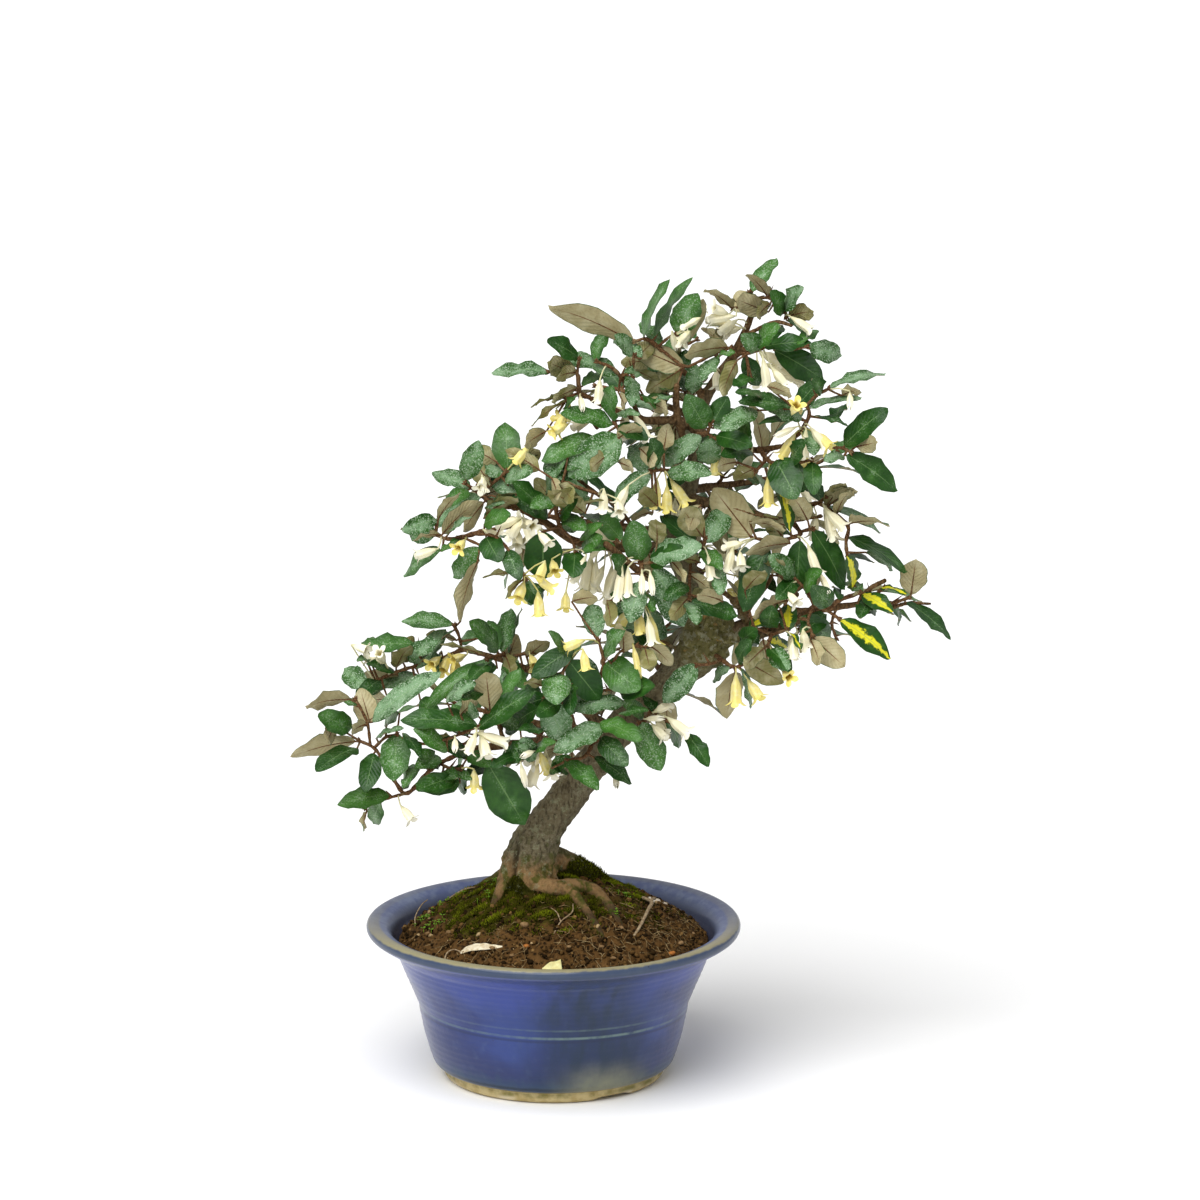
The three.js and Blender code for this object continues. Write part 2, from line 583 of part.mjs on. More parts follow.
      ["D", 768, 628, 772, 605, 18], ["D", 752, 627, 748, 648, 18], ["D", 768, 648, 791, 672, 14],
      ["O", 764, 648, 744, 668, 15],
    ],
  },
  high_left_front: {
    twigs: [
      [[616, 412, -13], [614, 421, -22], [620, 432, -28]],
    ],
    leaves: [
      ["G", 613, 424, 560, 413, 16], ["S", 621, 436, 568, 477, 34], ["D", 618, 425, 648, 440, 15],
    ],
  },
  high_left_end: {
    twigs: [
      [[592, 399, -10], [580, 392, -13], [577, 374, -16], [562, 372, -18], [549, 372, -19]],
      [[577, 374, -16], [579, 360, -19]],
      [[580, 392, -13], [567, 398, -18]],
    ],
    leaves: [
      ["O", 576, 374, 547, 362, 20], ["S", 549, 372, 491, 373, 13], ["D", 578, 358, 547, 340, 16],
    ],
  },
  high_left_top: {
    twigs: [
      [[626, 385, -4], [621, 377, -9], [612, 368, -12], [598, 362, -14]],
      [[621, 377, -9], [632, 370, -13], [634, 356, -15]],
    ],
    leaves: [
      ["S", 619, 375, 563, 357, 15], ["G", 596, 361, 606, 329, 13], ["S", 633, 354, 614, 335, 14],
      ["S", 630, 376, 632, 407, 14], ["O", 636, 358, 655, 340, 16],
    ],
  },
  top_left_end: {
    twigs: [
      [[668, 359, 1], [658, 347, -2], [646, 339, -5], [636, 341, -7]],
      [[658, 347, -2], [668, 338, -6], [675, 335, -8]],
      [[668, 359, 1], [684, 366, -8], [698, 362, -13], [714, 354, -15], [730, 348, -15]],
    ],
    leaves: [
      ["G", 643, 338, 670, 279, 9], ["G", 655, 337, 693, 277, 10], ["G", 676, 333, 698, 293, 25],
      ["T", 634, 342, 548, 305, 22], ["T", 684, 368, 630, 345, 24], ["T", 728, 347, 684, 355, 16],
      ["S", 696, 364, 692, 394, 16], ["O", 680, 370, 646, 392, 20], ["G", 660, 345, 640, 322, 13],
    ],
  },
  apex: {
    twigs: [
      [[754, 306, 0], [753, 299, -4], [750, 293, -6]],
      [[753, 299, -4], [742, 306, -8], [734, 308, -10]],
      [[753, 299, -4], [768, 298, -8], [784, 306, -10], [786, 316, -12]],
    ],
    leaves: [
      ["T", 748, 310, 738, 291, 24], ["G", 752, 292, 777, 258, 14], ["T", 767, 295, 747, 274, 10],
      ["T", 732, 308, 705, 289, 9], ["G", 781, 312, 769, 289, 9], ["S", 784, 310, 804, 287, 14],
      ["O", 788, 316, 814, 311, 16],
    ],
  },
  top_right_end: {
    twigs: [
      [[765, 338, -10], [770, 345, -18], [788, 349, -24], [806, 347, -27]],
      [[770, 345, -18], [757, 351, -24], [746, 354, -26]],
    ],
    leaves: [
      ["S", 808, 346, 842, 356, 20], ["D", 774, 350, 824, 380, 25], ["G", 762, 349, 741, 334, 18],
      ["D", 764, 341, 783, 325, 14], ["D", 744, 356, 759, 386, 17],
    ],
  },
  right_high_end: {
    twigs: [
      [[785, 445, -21], [800, 432, -26], [809, 416, -29], [806, 406, -32], [795, 408, -35]],
      [[806, 406, -32], [816, 396, -35], [828, 389, -37]],
      [[792, 439, -24], [816, 446, -30], [842, 448, -33], [850, 452, -35]],
    ],
    leaves: [
      ["S", 802, 418, 768, 410, 14], ["S", 829, 388, 886, 373, 9], ["D", 796, 407, 817, 383, 18],
      ["D", 792, 407, 738, 401, 14], ["D", 844, 446, 888, 408, 21], ["T", 856, 447, 878, 442, 16],
      ["D", 846, 455, 898, 491, 22],
    ],
  },
  right_high_front: {
    twigs: [
      [[760, 450, -17], [767, 459, -26], [774, 463, -31], [792, 464, -34], [810, 460, -35]],
      [[767, 459, -26], [757, 470, -31]],
    ],
    leaves: [
      ["D", 776, 460, 797, 499, 30], ["D", 812, 462, 814, 495, 17], ["D", 792, 462, 806, 440, 14],
      ["O", 756, 468, 734, 480, 14],
    ],
  },
  // Sprays behind the trunk bear their leaves by rule, each two fifths of a turn after the one before.
  back_low_left_spray: {
    twigs: [
      [[518, 720, 41], [490, 712, 48], [462, 706, 52], [440, 694, 54]],
      [[490, 712, 48], [480, 732, 56], [464, 744, 60]],
      [[505, 716, 45], [510, 700, 56], [505, 684, 64]],
    ],
    spiral: 10,
  },
  back_left_spray: {
    twigs: [
      [[563, 520, 41], [536, 512, 46], [508, 502, 50], [486, 492, 52]],
      [[536, 512, 46], [530, 530, 56], [520, 546, 62]],
      [[548, 516, 44], [560, 496, 56], [562, 478, 62]],
    ],
    spiral: 9,
  },
  back_right_spray: {
    twigs: [
      [[820, 610, 43], [840, 600, 48], [862, 592, 51], [884, 588, 52]],
      [[840, 600, 48], [832, 622, 56], [836, 638, 60]],
      [[828, 606, 45], [814, 588, 56], [806, 572, 62]],
    ],
    spiral: 9,
  },
  back_right_high_spray: {
    twigs: [
      [[754, 482, 35], [782, 474, 44], [812, 466, 50], [836, 452, 52]],
      [[782, 474, 44], [790, 492, 54], [792, 510, 60]],
      [[768, 478, 40], [764, 456, 50], [768, 436, 56]],
    ],
    spiral: 9,
  },
  back_high_spray: {
    twigs: [
      [[643, 398, 33], [620, 390, 40], [596, 386, 44]],
      [[620, 390, 40], [640, 372, 48], [664, 356, 50], [696, 340, 48]],
      [[640, 372, 48], [664, 386, 54], [690, 392, 56]],
    ],
    spiral: 9,
  },
  back_low_spray: {
    twigs: [
      [[655, 664, 46], [640, 650, 56], [622, 640, 62]],
      [[640, 650, 56], [660, 632, 62], [676, 618, 64]],
    ],
    spiral: 7,
  },
  back_middle_spray: {
    twigs: [
      [[702, 572, 46], [716, 562, 56], [734, 552, 62]],
      [[716, 562, 56], [700, 540, 62], [684, 522, 64]],
    ],
    spiral: 7,
  },
};

// Flower bunches: each hangs from the twig nearest to its place. A flower is its stalk's end and its mouth
// on the sheet, [across, down, across, down].
const CREAM = 0xf0ead2;
const YELLOW = 0xe9dc9a;
const BUNCHES = {
  far_left: { at: [450, 654], colour: YELLOW,
    flowers: [[448, 656, 440, 676], [455, 658, 456, 682]] },
  left_pad: { at: [480, 727], colour: CREAM,
    flowers: [[478, 733, 515, 746], [481, 736, 488, 762]] },
  left_pad_low: { at: [540, 744], colour: CREAM,
    flowers: [[546, 754, 526, 764], [538, 762, 528, 791], [548, 757, 554, 782]] },
  trunk_front: { at: [657, 714], colour: CREAM,
    flowers: [[657, 722, 663, 738], [668, 718, 692, 737]] },
  burl: { at: [736, 667], colour: YELLOW,
    flowers: [[736, 674, 736, 712], [748, 680, 763, 704]] },
  centre_low: { at: [640, 598], colour: YELLOW,
    flowers: [[628, 610, 616, 634], [638, 610, 641, 640], [650, 615, 656, 652]] },
  centre_left: { at: [606, 546], colour: CREAM,
    flowers: [[592, 560, 590, 598], [612, 566, 606, 610], [612, 540, 590, 528]] },
  left_arm: { at: [528, 524], colour: CREAM,
    flowers: [[534, 526, 512, 520], [518, 530, 517, 552]] },
  left_arm_low: { at: [524, 574], colour: YELLOW,
    flowers: [[524, 582, 516, 604], [538, 592, 540, 622]] },
  centre_high: { at: [664, 471], colour: YELLOW,
    flowers: [[657, 480, 654, 514], [667, 486, 667, 518], [671, 480, 690, 510]] },
  high_left: { at: [606, 407], colour: CREAM,
    flowers: [[596, 412, 568, 432], [625, 412, 625, 442], [634, 414, 650, 446]] },
  top_right: { at: [756, 345], colour: CREAM,
    flowers: [[760, 352, 788, 366], [757, 360, 757, 393], [766, 364, 812, 386]] },
  top: { at: [744, 330], colour: CREAM,
    flowers: [[732, 322, 700, 320], [734, 328, 714, 340]] },
  right_high: { at: [799, 431], colour: YELLOW,
    flowers: [[795, 434, 779, 462], [803, 440, 804, 468], [815, 432, 834, 452], [797, 418, 797, 400]] },
  right_high_low: { at: [770, 462], colour: YELLOW,
    flowers: [[768, 477, 769, 512], [775, 474, 794, 506]] },
  right_end: { at: [824, 507], colour: CREAM,
    flowers: [[826, 510, 848, 532], [825, 520, 840, 548]] },
  right_centre: { at: [706, 546], colour: CREAM,
    flowers: [[714, 545, 744, 541], [720, 552, 745, 578]] },
  back_left: { at: [520, 507, 48], colour: CREAM,
    flowers: [[518, 516, 508, 542], [524, 518, 534, 546]] },
  back_right: { at: [796, 470, 47], colour: CREAM,
    flowers: [[794, 480, 786, 508], [800, 480, 812, 506]] },
};

/** The point of a twig that is nearest on the sheet, at least a little way out from where it springs. */
function nearestOn(twigs, across, down, clearOf) {
  let best = null;
  twigs.forEach((twig) => {
    for (let step = 0; step + 1 < twig.length; step += 1) {
      const most = step + 2 < twig.length ? 1 : 0.92;
      const [fromX, fromY, fromBack, fromRadius] = twig[step];
      const [toX, toY, toBack, toRadius] = twig[step + 1];
      const length = (toX - fromX) ** 2 + (toY - fromY) ** 2 + 1e-6;
      const share = THREE.MathUtils.clamp(
        ((across - fromX) * (toX - fromX) + (down - fromY) * (toY - fromY)) / length, 0, most);
      const place = [mix(fromX, toX, share), mix(fromY, toY, share), mix(fromBack, toBack, share)];
      const at = seen(place);
      const away = Math.hypot(across - place[0], down - place[1]);
      const free = !clearOf || at.distanceTo(clearOf) > 3;
      if (!free || (best && away >= best.away)) continue;
      const along = seen([toX, toY, toBack]).sub(seen([fromX, fromY, fromBack])).normalize();
      best = { at, away, along, place, back: place[2], radius: mix(fromRadius, toRadius, share) };
    }
  });
  return best;
}

/** A leaf: a blade with waved edges over a keel, the midrib, drawn out to a point where it springs. */
function blade({ spring, base, tip, upper, breadth, seed }) {
  const along = tip.clone().sub(base);
  const length = along.length();
  along.normalize();
  const face = upper.clone().addScaledVector(along, -upper.dot(along)).normalize();
  const side = face.clone().cross(along);
  const stations = breadth > 9 ? [[0.22, 0.74], [0.55, 1], [0.84, 0.66]] : [[0.28, 0.9], [0.7, 0.85]];
  if (spring.distanceTo(base) > 6) stations.unshift([0, 0.14]);
  const points = [spring];
  const waves = stations.map(([, wide], index) => (
    LEAF_WAVE * wide * ((index + Math.round(draw(seed, 5))) % 2 ? 1 : -1)));
  stations.forEach(([share, wide], index) => {
    const rib = base.clone().addScaledVector(along, length * share);
    rib.addScaledVector(face, length * LEAF_ARCH * share * (1 - share));
    const half = (breadth / 2) * wide;
    const fold = half * LEAF_TROUGH;
    points.push(
      rib.clone().addScaledVector(side, half).addScaledVector(face, fold + waves[index]),
      rib.clone().addScaledVector(side, -half).addScaledVector(face, fold - waves[index]),
      rib.clone().addScaledVector(face, -LEAF_THICK * Math.min(1, wide * 1.6)),
    );
  });
  points.push(tip);
  const faces = [];
  const ring = (station, corner) => 1 + station * 3 + (corner % 3);
  const last = stations.length - 1;
  for (let corner = 0; corner < 3; corner += 1) {
    faces.push([0, ring(0, corner + 1), ring(0, corner)]);
    faces.push([points.length - 1, ring(last, corner), ring(last, corner + 1)]);
    for (let station = 0; station < last; station += 1) {
      const a = ring(station, corner);
      const b = ring(station, corner + 1);
      const c = ring(station + 1, corner + 1);
      const d = ring(station + 1, corner);
      const ridge = corner === 0 ? waves[station] > 0 : corner === 1;
      if (ridge) faces.push([a, b, c], [a, c, d]);
      else faces.push([a, b, d], [b, c, d]);
    }
  }
  return solidOf(geometryOf(points, faces));
}

/** Where a leaf's root ends: past the middle of its twig, so that it is sunk well in. */
const sunk = (middle, base) => middle.clone().addScaledVector(middle.clone().sub(base).normalize(), 0.3);

/** Where a drawn leaf lies in space. Its length sets how far it leans, and its breadth how far it rolls. */
function drawnLeaf([face, baseAcross, baseDown, tipAcross, tipDown, seenBreadth], twigs, root, seed, lean) {
  const node = nearestOn(twigs, baseAcross, baseDown, root);
  const flat = Math.hypot(tipAcross - baseAcross, tipDown - baseDown) / 2;
  const full = mix(...LEAF_LENGTH, draw(seed, 1));
  const reach = Math.min(16, 0.8 * Math.sqrt(Math.max(full ** 2 - flat ** 2, (0.2 * flat) ** 2)));
  const front = draw(seed, 2) < 0.62 ? -1 : 1;
  const base = seen([baseAcross, baseDown, node.back]);
  const tip = seen([tipAcross, tipDown, node.back + front * reach * lean]);
  const along = tip.clone().sub(base);
  const length = along.length();
  along.normalize();
  const towards = EYE.clone().sub(base).normalize();
  towards.addScaledVector(along, -towards.dot(along)).normalize();
  const sideways = along.clone().cross(towards);
  const shown = seenBreadth / 2;
  const breadth = Math.max(shown, THREE.MathUtils.clamp(LEAF_BREADTH * length, 8, 13));
  const roll = Math.acos(Math.min(1, shown / breadth));
  const under = face === "T" || face === "O";
  const rise = sideways.z * (under ? -1 : 1) >= 0 ? 1 : -1;
  const upper = towards.multiplyScalar(Math.cos(roll)).addScaledVector(sideways, Math.sin(roll) * rise);
  if (under) upper.negate();
  return { spring: sunk(node.at, base), base, tip, upper, breadth, seed };
}

/** A leaf placed by rule on a twig, turned about it by two fifths of a turn for each leaf before. */
function spiralLeaf(twigs, index, count, seed, lean) {
  const twig = twigs[index % twigs.length];
  const rank = Math.floor(index / twigs.length);
  const share = mix(0.34, 1, (rank + 0.5) / Math.ceil(count / twigs.length));
  const where = share * (twig.length - 1);
  const step = Math.min(Math.floor(where), twig.length - 2);
  const from = seen(twig[step]);
  const to = seen(twig[step + 1]);
  const spring = from.clone().lerp(to, where - step);
  const along = to.sub(from).normalize();
  const across = new THREE.Vector3(0, 0, 1).addScaledVector(along, -along.z).normalize();
  const over = along.clone().cross(across);
  const turn = index * LEAF_TURN + lean * 0.9 + draw(seed, 3);
  const out = across.clone().multiplyScalar(Math.cos(turn)).addScaledVector(over, Math.sin(turn));
  const course = along.multiplyScalar(0.75 + 0.5 * share).addScaledVector(out, 1.1);
  course.z += 0.15;
  course.normalize();
  const base = spring.clone().addScaledVector(course, 3);
  const tip = base.clone().addScaledVector(course, mix(...LEAF_LENGTH, draw(seed, 1)) * 0.92);
  const upper = new THREE.Vector3(out.x * -0.4, out.y * -0.4, 1);
  return { spring: sunk(spring, base), base, tip, upper, breadth: mix(8.5, 12, draw(seed, 4)), seed };
}

/** The first part of a twig cut back until it is clear of the branch it springs from. */
function cutBack(twig) {
  const radii = twig.map((_, index) => mix(1.3, 0.8, index / (twig.length - 1)));
  for (let share = 0.1; share < 1; share += 0.05) {
    const start = twig[0].map((value, axis) => mix(value, twig[1][axis], share));
    const line = [start, ...twig.slice(1)].map((point, index) => [...point, radii[index]]);
    const solid = solidOf(limb(drawnLimb(line, 0), 4));
    if (isClear(solid, [obstacle(trunk)])) return { line, solid };
  }
  throw new Error("a twig never clears the trunk");
}

// Twigs come first, then the flower bunches, and then every leaf in turn, each bent until it is clear.
const obstacles = [obstacle(trunk, "trunk"), obstacle(soil, "soil"), obstacle(pot, "pot")];
const twigsOf = {};
const bodyOf = {};
Object.entries(SPRAYS).forEach(([name, spray]) => {
  const main = cutBack(spray.twigs[0]);
  const sides = [];
  spray.twigs.slice(1).forEach(([fork, ...rest]) => {
    const { place } = nearestOn([main.line, ...sides], fork[0], fork[1], seen(main.line[0]));
    sides.push([place, ...rest].map((point) => [...point, 0.8]));
  });
  twigsOf[name] = [main.line, ...sides];
  const solids = [main.solid, ...sides.map((side) => solidOf(limb(drawnLimb(side, 0), 3)))];
  bodyOf[name] = grown(solids, name);
  obstacles.filter((other) => !isClear(bodyOf[name], [other])).forEach((other) => {
    console.warn(`twigs of ${name} touch ${other.owner}`);
  });
  obstacles.push(obstacle(bodyOf[name], name));
});

/** One hanging flower: a thin stalk, a four-sided bell that widens downwards, and four pointed lobes. */
function flower(axil, start, mouth) {
  const along = mouth.clone().sub(start);
  const length = along.length();
  along.normalize();
  const stalk = start.clone().sub(axil).normalize();
  const root = axil.clone().addScaledVector(stalk, -0.4);
  const corner = (course, share, radius, turn) => {
    const across = new THREE.Vector3(along.z, 0.2, -along.x);
    across.addScaledVector(course, -across.dot(course)).normalize();
    const over = course.clone().cross(across);
    return (share < 0 ? root : start).clone().addScaledVector(along, length * Math.max(share, 0))
      .addScaledVector(across, Math.cos(turn * Math.PI) * radius)
      .addScaledVector(over, Math.sin(turn * Math.PI) * radius);
  };
  const four = (course, share, radius) => [0, 0.5, 1, 1.5].map((turn) => corner(course, share, radius, turn));
  const bend = stalk.clone().add(along).normalize();
  const neck = BELL_NECK * 0.6;
  const rings = [four(stalk, -1, STALK_RADIUS), four(bend, 0.05, neck), four(along, 0.6, BELL_MOUTH)];
  const star = [0, 0.5, 1, 1.5].flatMap((turn) => [
    corner(along, 0.95, LOBE_REACH, turn), corner(along, 0.7, BELL_MOUTH, turn + 0.25)]);
  const points = [...rings.flat(), ...star, start.clone().addScaledVector(along, length * 0.8)];
  const faces = [[0, 2, 1], [0, 3, 2]];
  for (let side = 0; side < 4; side += 1) {
    const next = (side + 1) % 4;
    [0, 4].forEach((low) => {
      faces.push([low + side, low + next, low + 4 + next], [low + side, low + 4 + next, low + 4 + side]);
    });
    const lobe = 12 + side * 2;
    const notch = lobe + 1;
    const nextLobe = 12 + next * 2;
    faces.push([8 + side, notch, lobe], [8 + side, 8 + next, notch], [8 + next, nextLobe, notch]);
    faces.push([20, lobe, notch], [20, notch, nextLobe]);
  }
  return solidOf(geometryOf(points, faces));
}

const everyTwig = [...Object.values(BRANCHES), ...Object.values(twigsOf).flat(), TRUNK];
const flowerBodies = {};
Object.entries(BUNCHES).forEach(([name, bunch], bunchIndex) => {
  const [across, down, back] = bunch.at;
  const nearTwigs = everyTwig.filter((twig) => back === undefined || twig[0][2] > 0);
  const twig = nearestOn(nearTwigs, across, down);
  const towards = EYE.clone().sub(twig.at).normalize();
  const forward = back === undefined ? 1 : -1;
  const beside = towards.multiplyScalar(forward);
  beside.z -= 0.6;
  beside.addScaledVector(twig.along, -beside.dot(twig.along)).normalize();
  const axil = twig.at.clone().addScaledVector(beside, twig.radius + STALK_RADIUS + AIR + 0.15);
  const kept = [];
  bunch.flowers.forEach(([startAcross, startDown, mouthAcross, mouthDown], index) => {
    const seed = bunchIndex * 10 + index + 500;
    const flat = Math.hypot(mouthAcross - startAcross, mouthDown - startDown) / 2;
    const reach = 0.8 * Math.sqrt(Math.max(FLOWER_LENGTH ** 2 - flat ** 2, 1));
    for (const push of [2, 4, 6, 8, 10, 12, 14, 17, 20]) {
      const depth = twig.back - forward * push;
      const start = seen([startAcross, startDown, depth]);
      const swing = draw(seed, 6) < 0.6 ? -1 : 1;
      const mouth = seen([mouthAcross, mouthDown, depth + swing * reach]);
      const body = flower(axil.clone().addScaledVector(twig.along, index * 0.25), start, mouth);
      if (isClear(body, obstacles)) {
        kept.push(body);
        return;
      }
    }
    console.warn(`flower ${index} of ${name} finds no clear place`);
  });
  if (kept.length === 0) return;
  flowerBodies[name] = { solid: grown(kept, name), colour: bunch.colour };
  obstacles.push(obstacle(flowerBodies[name].solid, "flowers"));
});

// The leans that a leaf tries, as shares of the lean its length gives it.
const LEANS = [1, 0.6, 1.4, -1, 0.2, -0.6, 1.8, -1.4, 2.2, -1.8];
let leafSeed = 0;
let dropped = 0;
Object.entries(SPRAYS).forEach(([name, spray]) => {
  const twigs = twigsOf[name];
  const root = seen(twigs[0][0]);
  const count = spray.leaves ? spray.leaves.length : spray.spiral;
  const bodies = [bodyOf[name]];
  const own = [];
  for (let index = 0; index < count; index += 1) {
    leafSeed += 1;
    const shapes = LEANS.map((lean) => blade(spray.leaves
      ? drawnLeaf(spray.leaves[index], twigs, root, leafSeed, lean)
      : spiralLeaf(twigs, index, count, leafSeed, lean)));
    const others = obstacles.filter((other) => other.owner !== name);
    const open = shapes.filter((shape) => isClear(shape, others));
    const shared = (shape) => own.reduce((sum, other) => sum + shape.intersect(other.solid).volume(), 0);
    const crossings = open.map(shared);
    const fit = open[crossings.indexOf(Math.min(...crossings))];
    if (!fit) {
      dropped += 1;
      continue;
    }
    bodies.push(fit);
    own.push(obstacle(fit, name));
  }
  own.forEach((leaf) => obstacles.push(leaf));
  bodyOf[name] = grown(bodies, name);
});
console.warn(`${dropped} of ${leafSeed} leaves dropped`);

const LEAF_GREENS = [0x2f6a45, 0x35704a, 0x3c7a50, 0x2b5f40];
Object.entries(bodyOf).forEach(([name, body], index) => {
  addPiece(`spray_${name}`, body, LEAF_GREENS[index % LEAF_GREENS.length], 0.45);
});
Object.entries(flowerBodies).forEach(([name, { solid, colour }]) => {
  addPiece(`flowers_${name}`, solid, colour, 0.6);
});

const group = new THREE.Group();
pieces.forEach((mesh) => group.add(mesh));
const box = new THREE.Box3().setFromObject(group);
const middle = box.getCenter(new THREE.Vector3());
pieces.forEach((mesh) => mesh.position.set(-middle.x, -middle.y, -box.min.z));
group.name = "thorny_olive_bonsai";

export default group;
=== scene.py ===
# A thorny olive (Elaeagnus pungens) trained as a small leaning bonsai, in flower, in a round blue-glazed pot.
# Lengths are in millimetres about the pot's axis, +Z up and -Y to the front, until a mesh is made of them.

import bpy
import numpy as np
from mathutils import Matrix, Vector


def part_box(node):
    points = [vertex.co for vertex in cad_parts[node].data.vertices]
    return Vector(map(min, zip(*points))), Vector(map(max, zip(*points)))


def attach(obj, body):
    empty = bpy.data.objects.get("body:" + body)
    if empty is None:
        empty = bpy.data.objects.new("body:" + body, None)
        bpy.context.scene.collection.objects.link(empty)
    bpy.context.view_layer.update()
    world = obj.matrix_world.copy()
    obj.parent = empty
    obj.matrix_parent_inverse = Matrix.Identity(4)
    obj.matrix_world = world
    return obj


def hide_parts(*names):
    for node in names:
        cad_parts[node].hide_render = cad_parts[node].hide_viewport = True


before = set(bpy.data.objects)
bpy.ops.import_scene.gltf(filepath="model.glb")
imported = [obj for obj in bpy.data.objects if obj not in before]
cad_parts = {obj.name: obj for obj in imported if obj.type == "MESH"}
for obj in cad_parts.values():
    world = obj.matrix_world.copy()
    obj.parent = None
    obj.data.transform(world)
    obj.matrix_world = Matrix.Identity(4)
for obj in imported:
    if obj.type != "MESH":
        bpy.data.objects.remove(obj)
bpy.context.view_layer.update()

# The view: the tree is seen from the front, a little from above, from far off with a long lens.
# A drawn point is (across, down, back): its place on a sheet twice the tree's size, and how far behind
# the pot's axis it is. The same sheet is the camera's picture.
SHEET_MIDDLE = 600
EYE_FOCUS = 6400
EYE_DISTANCE = 3200
EYE_TILT = np.radians(12.7)
SHEET_AIM = np.array([23.5, 0, 246])
LOOK = np.array([0, np.cos(EYE_TILT), -np.sin(EYE_TILT)])
SHEET_UP = np.array([0, np.sin(EYE_TILT), np.cos(EYE_TILT)])
EYE = SHEET_AIM - LOOK * EYE_DISTANCE
pot_low, pot_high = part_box("pot")
POT_AXIS = np.array([(pot_low.x + pot_high.x) / 2, (pot_low.y + pot_high.y) / 2, 0])


def seen(drawn):
    """Places of drawn points: eye + ray (back - eye.y) / ray.y, with ray = look focus + sheet offsets."""
    drawn = np.asarray(drawn, float)
    ray = LOOK * EYE_FOCUS + SHEET_UP * (SHEET_MIDDLE - drawn[..., 1:2])
    ray[..., 0] += drawn[..., 0] - SHEET_MIDDLE
    return EYE + ray * ((drawn[..., 2:3] - EYE[1]) / ray[..., 1:2])


def in_frame(points):
    """Millimetres about the pot's axis as metres in the object's frame: points / 1000 + axis."""
    return np.asarray(points, float) / 1000 + POT_AXIS


camera_data = bpy.data.cameras.new("camera")
camera_data.sensor_width = 36
camera_data.lens = 36 * EYE_FOCUS / (2 * SHEET_MIDDLE)
camera = bpy.data.objects.new("camera", camera_data)
camera.location = in_frame(EYE)
camera.rotation_euler = (np.pi / 2 - EYE_TILT, 0, 0)
bpy.context.collection.objects.link(camera)
bpy.context.scene.camera = camera

# The pot: one piece of thrown stoneware, about 4 mm thick, with a foot ring that is cut by three drain
# notches. It is dipped in cobalt glaze that breaks to grey-green where it ran and to tan where it is thin,
# and its foot is bare clay.
POT_OUTSIDE = [
    (52.5, 0), (54.6, 0.5), (55.8, 1.8), (56.4, 5.6), (57.3, 6.5), (59.3, 6.9), (60.6, 8.4), (66, 25),
    (68.3, 35.2), (68.9, 36), (67.9, 36.9), (68.7, 37.8), (69.2, 38.6), (68.7, 39.5), (69.6, 40.8),
    (72.5, 49), (78.4, 63.6), (80.6, 66.6), (86, 70.4), (92.3, 74.2), (94.3, 75.8), (94.8, 77.5),
    (94.2, 79.4), (92.6, 80.5),
]
POT_INSIDE = [
    (90.2, 80.4), (84.5, 78.2), (82, 75.6), (80.2, 71), (74.4, 63.5), (66, 43), (57, 20), (52.6, 11.4),
    (48, 9.3), (30, 9.3),
]
POT_UNDER = [
    (8.8, 9.3), (8, 8.6), (8, 4.8), (8.8, 4), (30, 4), (44.5, 4), (45.8, 3.2), (46.5, 0.4), (47.3, 0),
]
NOTCH_ANGLES = np.radians([-57, 63, 183])
NOTCH_WIDTH = 24
NOTCH_HEIGHT = 2.4
# The heights of the groove, its ridges, the lip's crest and the glaze's lower edge, and two radii of the lip.
GROOVE = 36
RIDGES = (37.9, 42.2)
RIM_RADIUS = 94.2
CREST_RADIUS = 91.4
CREST = 80.4
GLAZE_EDGE = 6.9


class Wire:
    """One value in a material. Arithmetic on it adds the Math nodes that work the result out."""

    def __init__(self, finish, socket):
        self.finish = finish
        self.socket = socket

    def math(self, operation, *values):
        return self.finish.node("ShaderNodeMath", dict(enumerate(values)), operation=operation)

    def __add__(self, other):
        return self.math("ADD", self, other)

    __radd__ = __add__

    def __sub__(self, other):
        return self.math("SUBTRACT", self, other)

    def __rsub__(self, other):
        return self.math("SUBTRACT", other, self)

    def __mul__(self, other):
        return self.math("MULTIPLY", self, other)

    __rmul__ = __mul__

    def __truediv__(self, other):
        return self.math("DIVIDE", self, other)

    def __rtruediv__(self, other):
        return self.math("DIVIDE", other, self)

    def __pow__(self, other):
        return self.math("POWER", self, other)

    def size(self):
        """The value without its sign."""
        return self.math("ABSOLUTE", self)

    def wave(self):
        """The sine of the value."""
        return self.math("SINE", self)

    def rise(self, low, high):
        """0 below low, 1 above high, and a smooth step between them. Low may be the greater one."""
        values = {"Value": self, "From Min": low, "From Max": high}
        return self.finish.node("ShaderNodeMapRange", values, interpolation_type="SMOOTHSTEP")


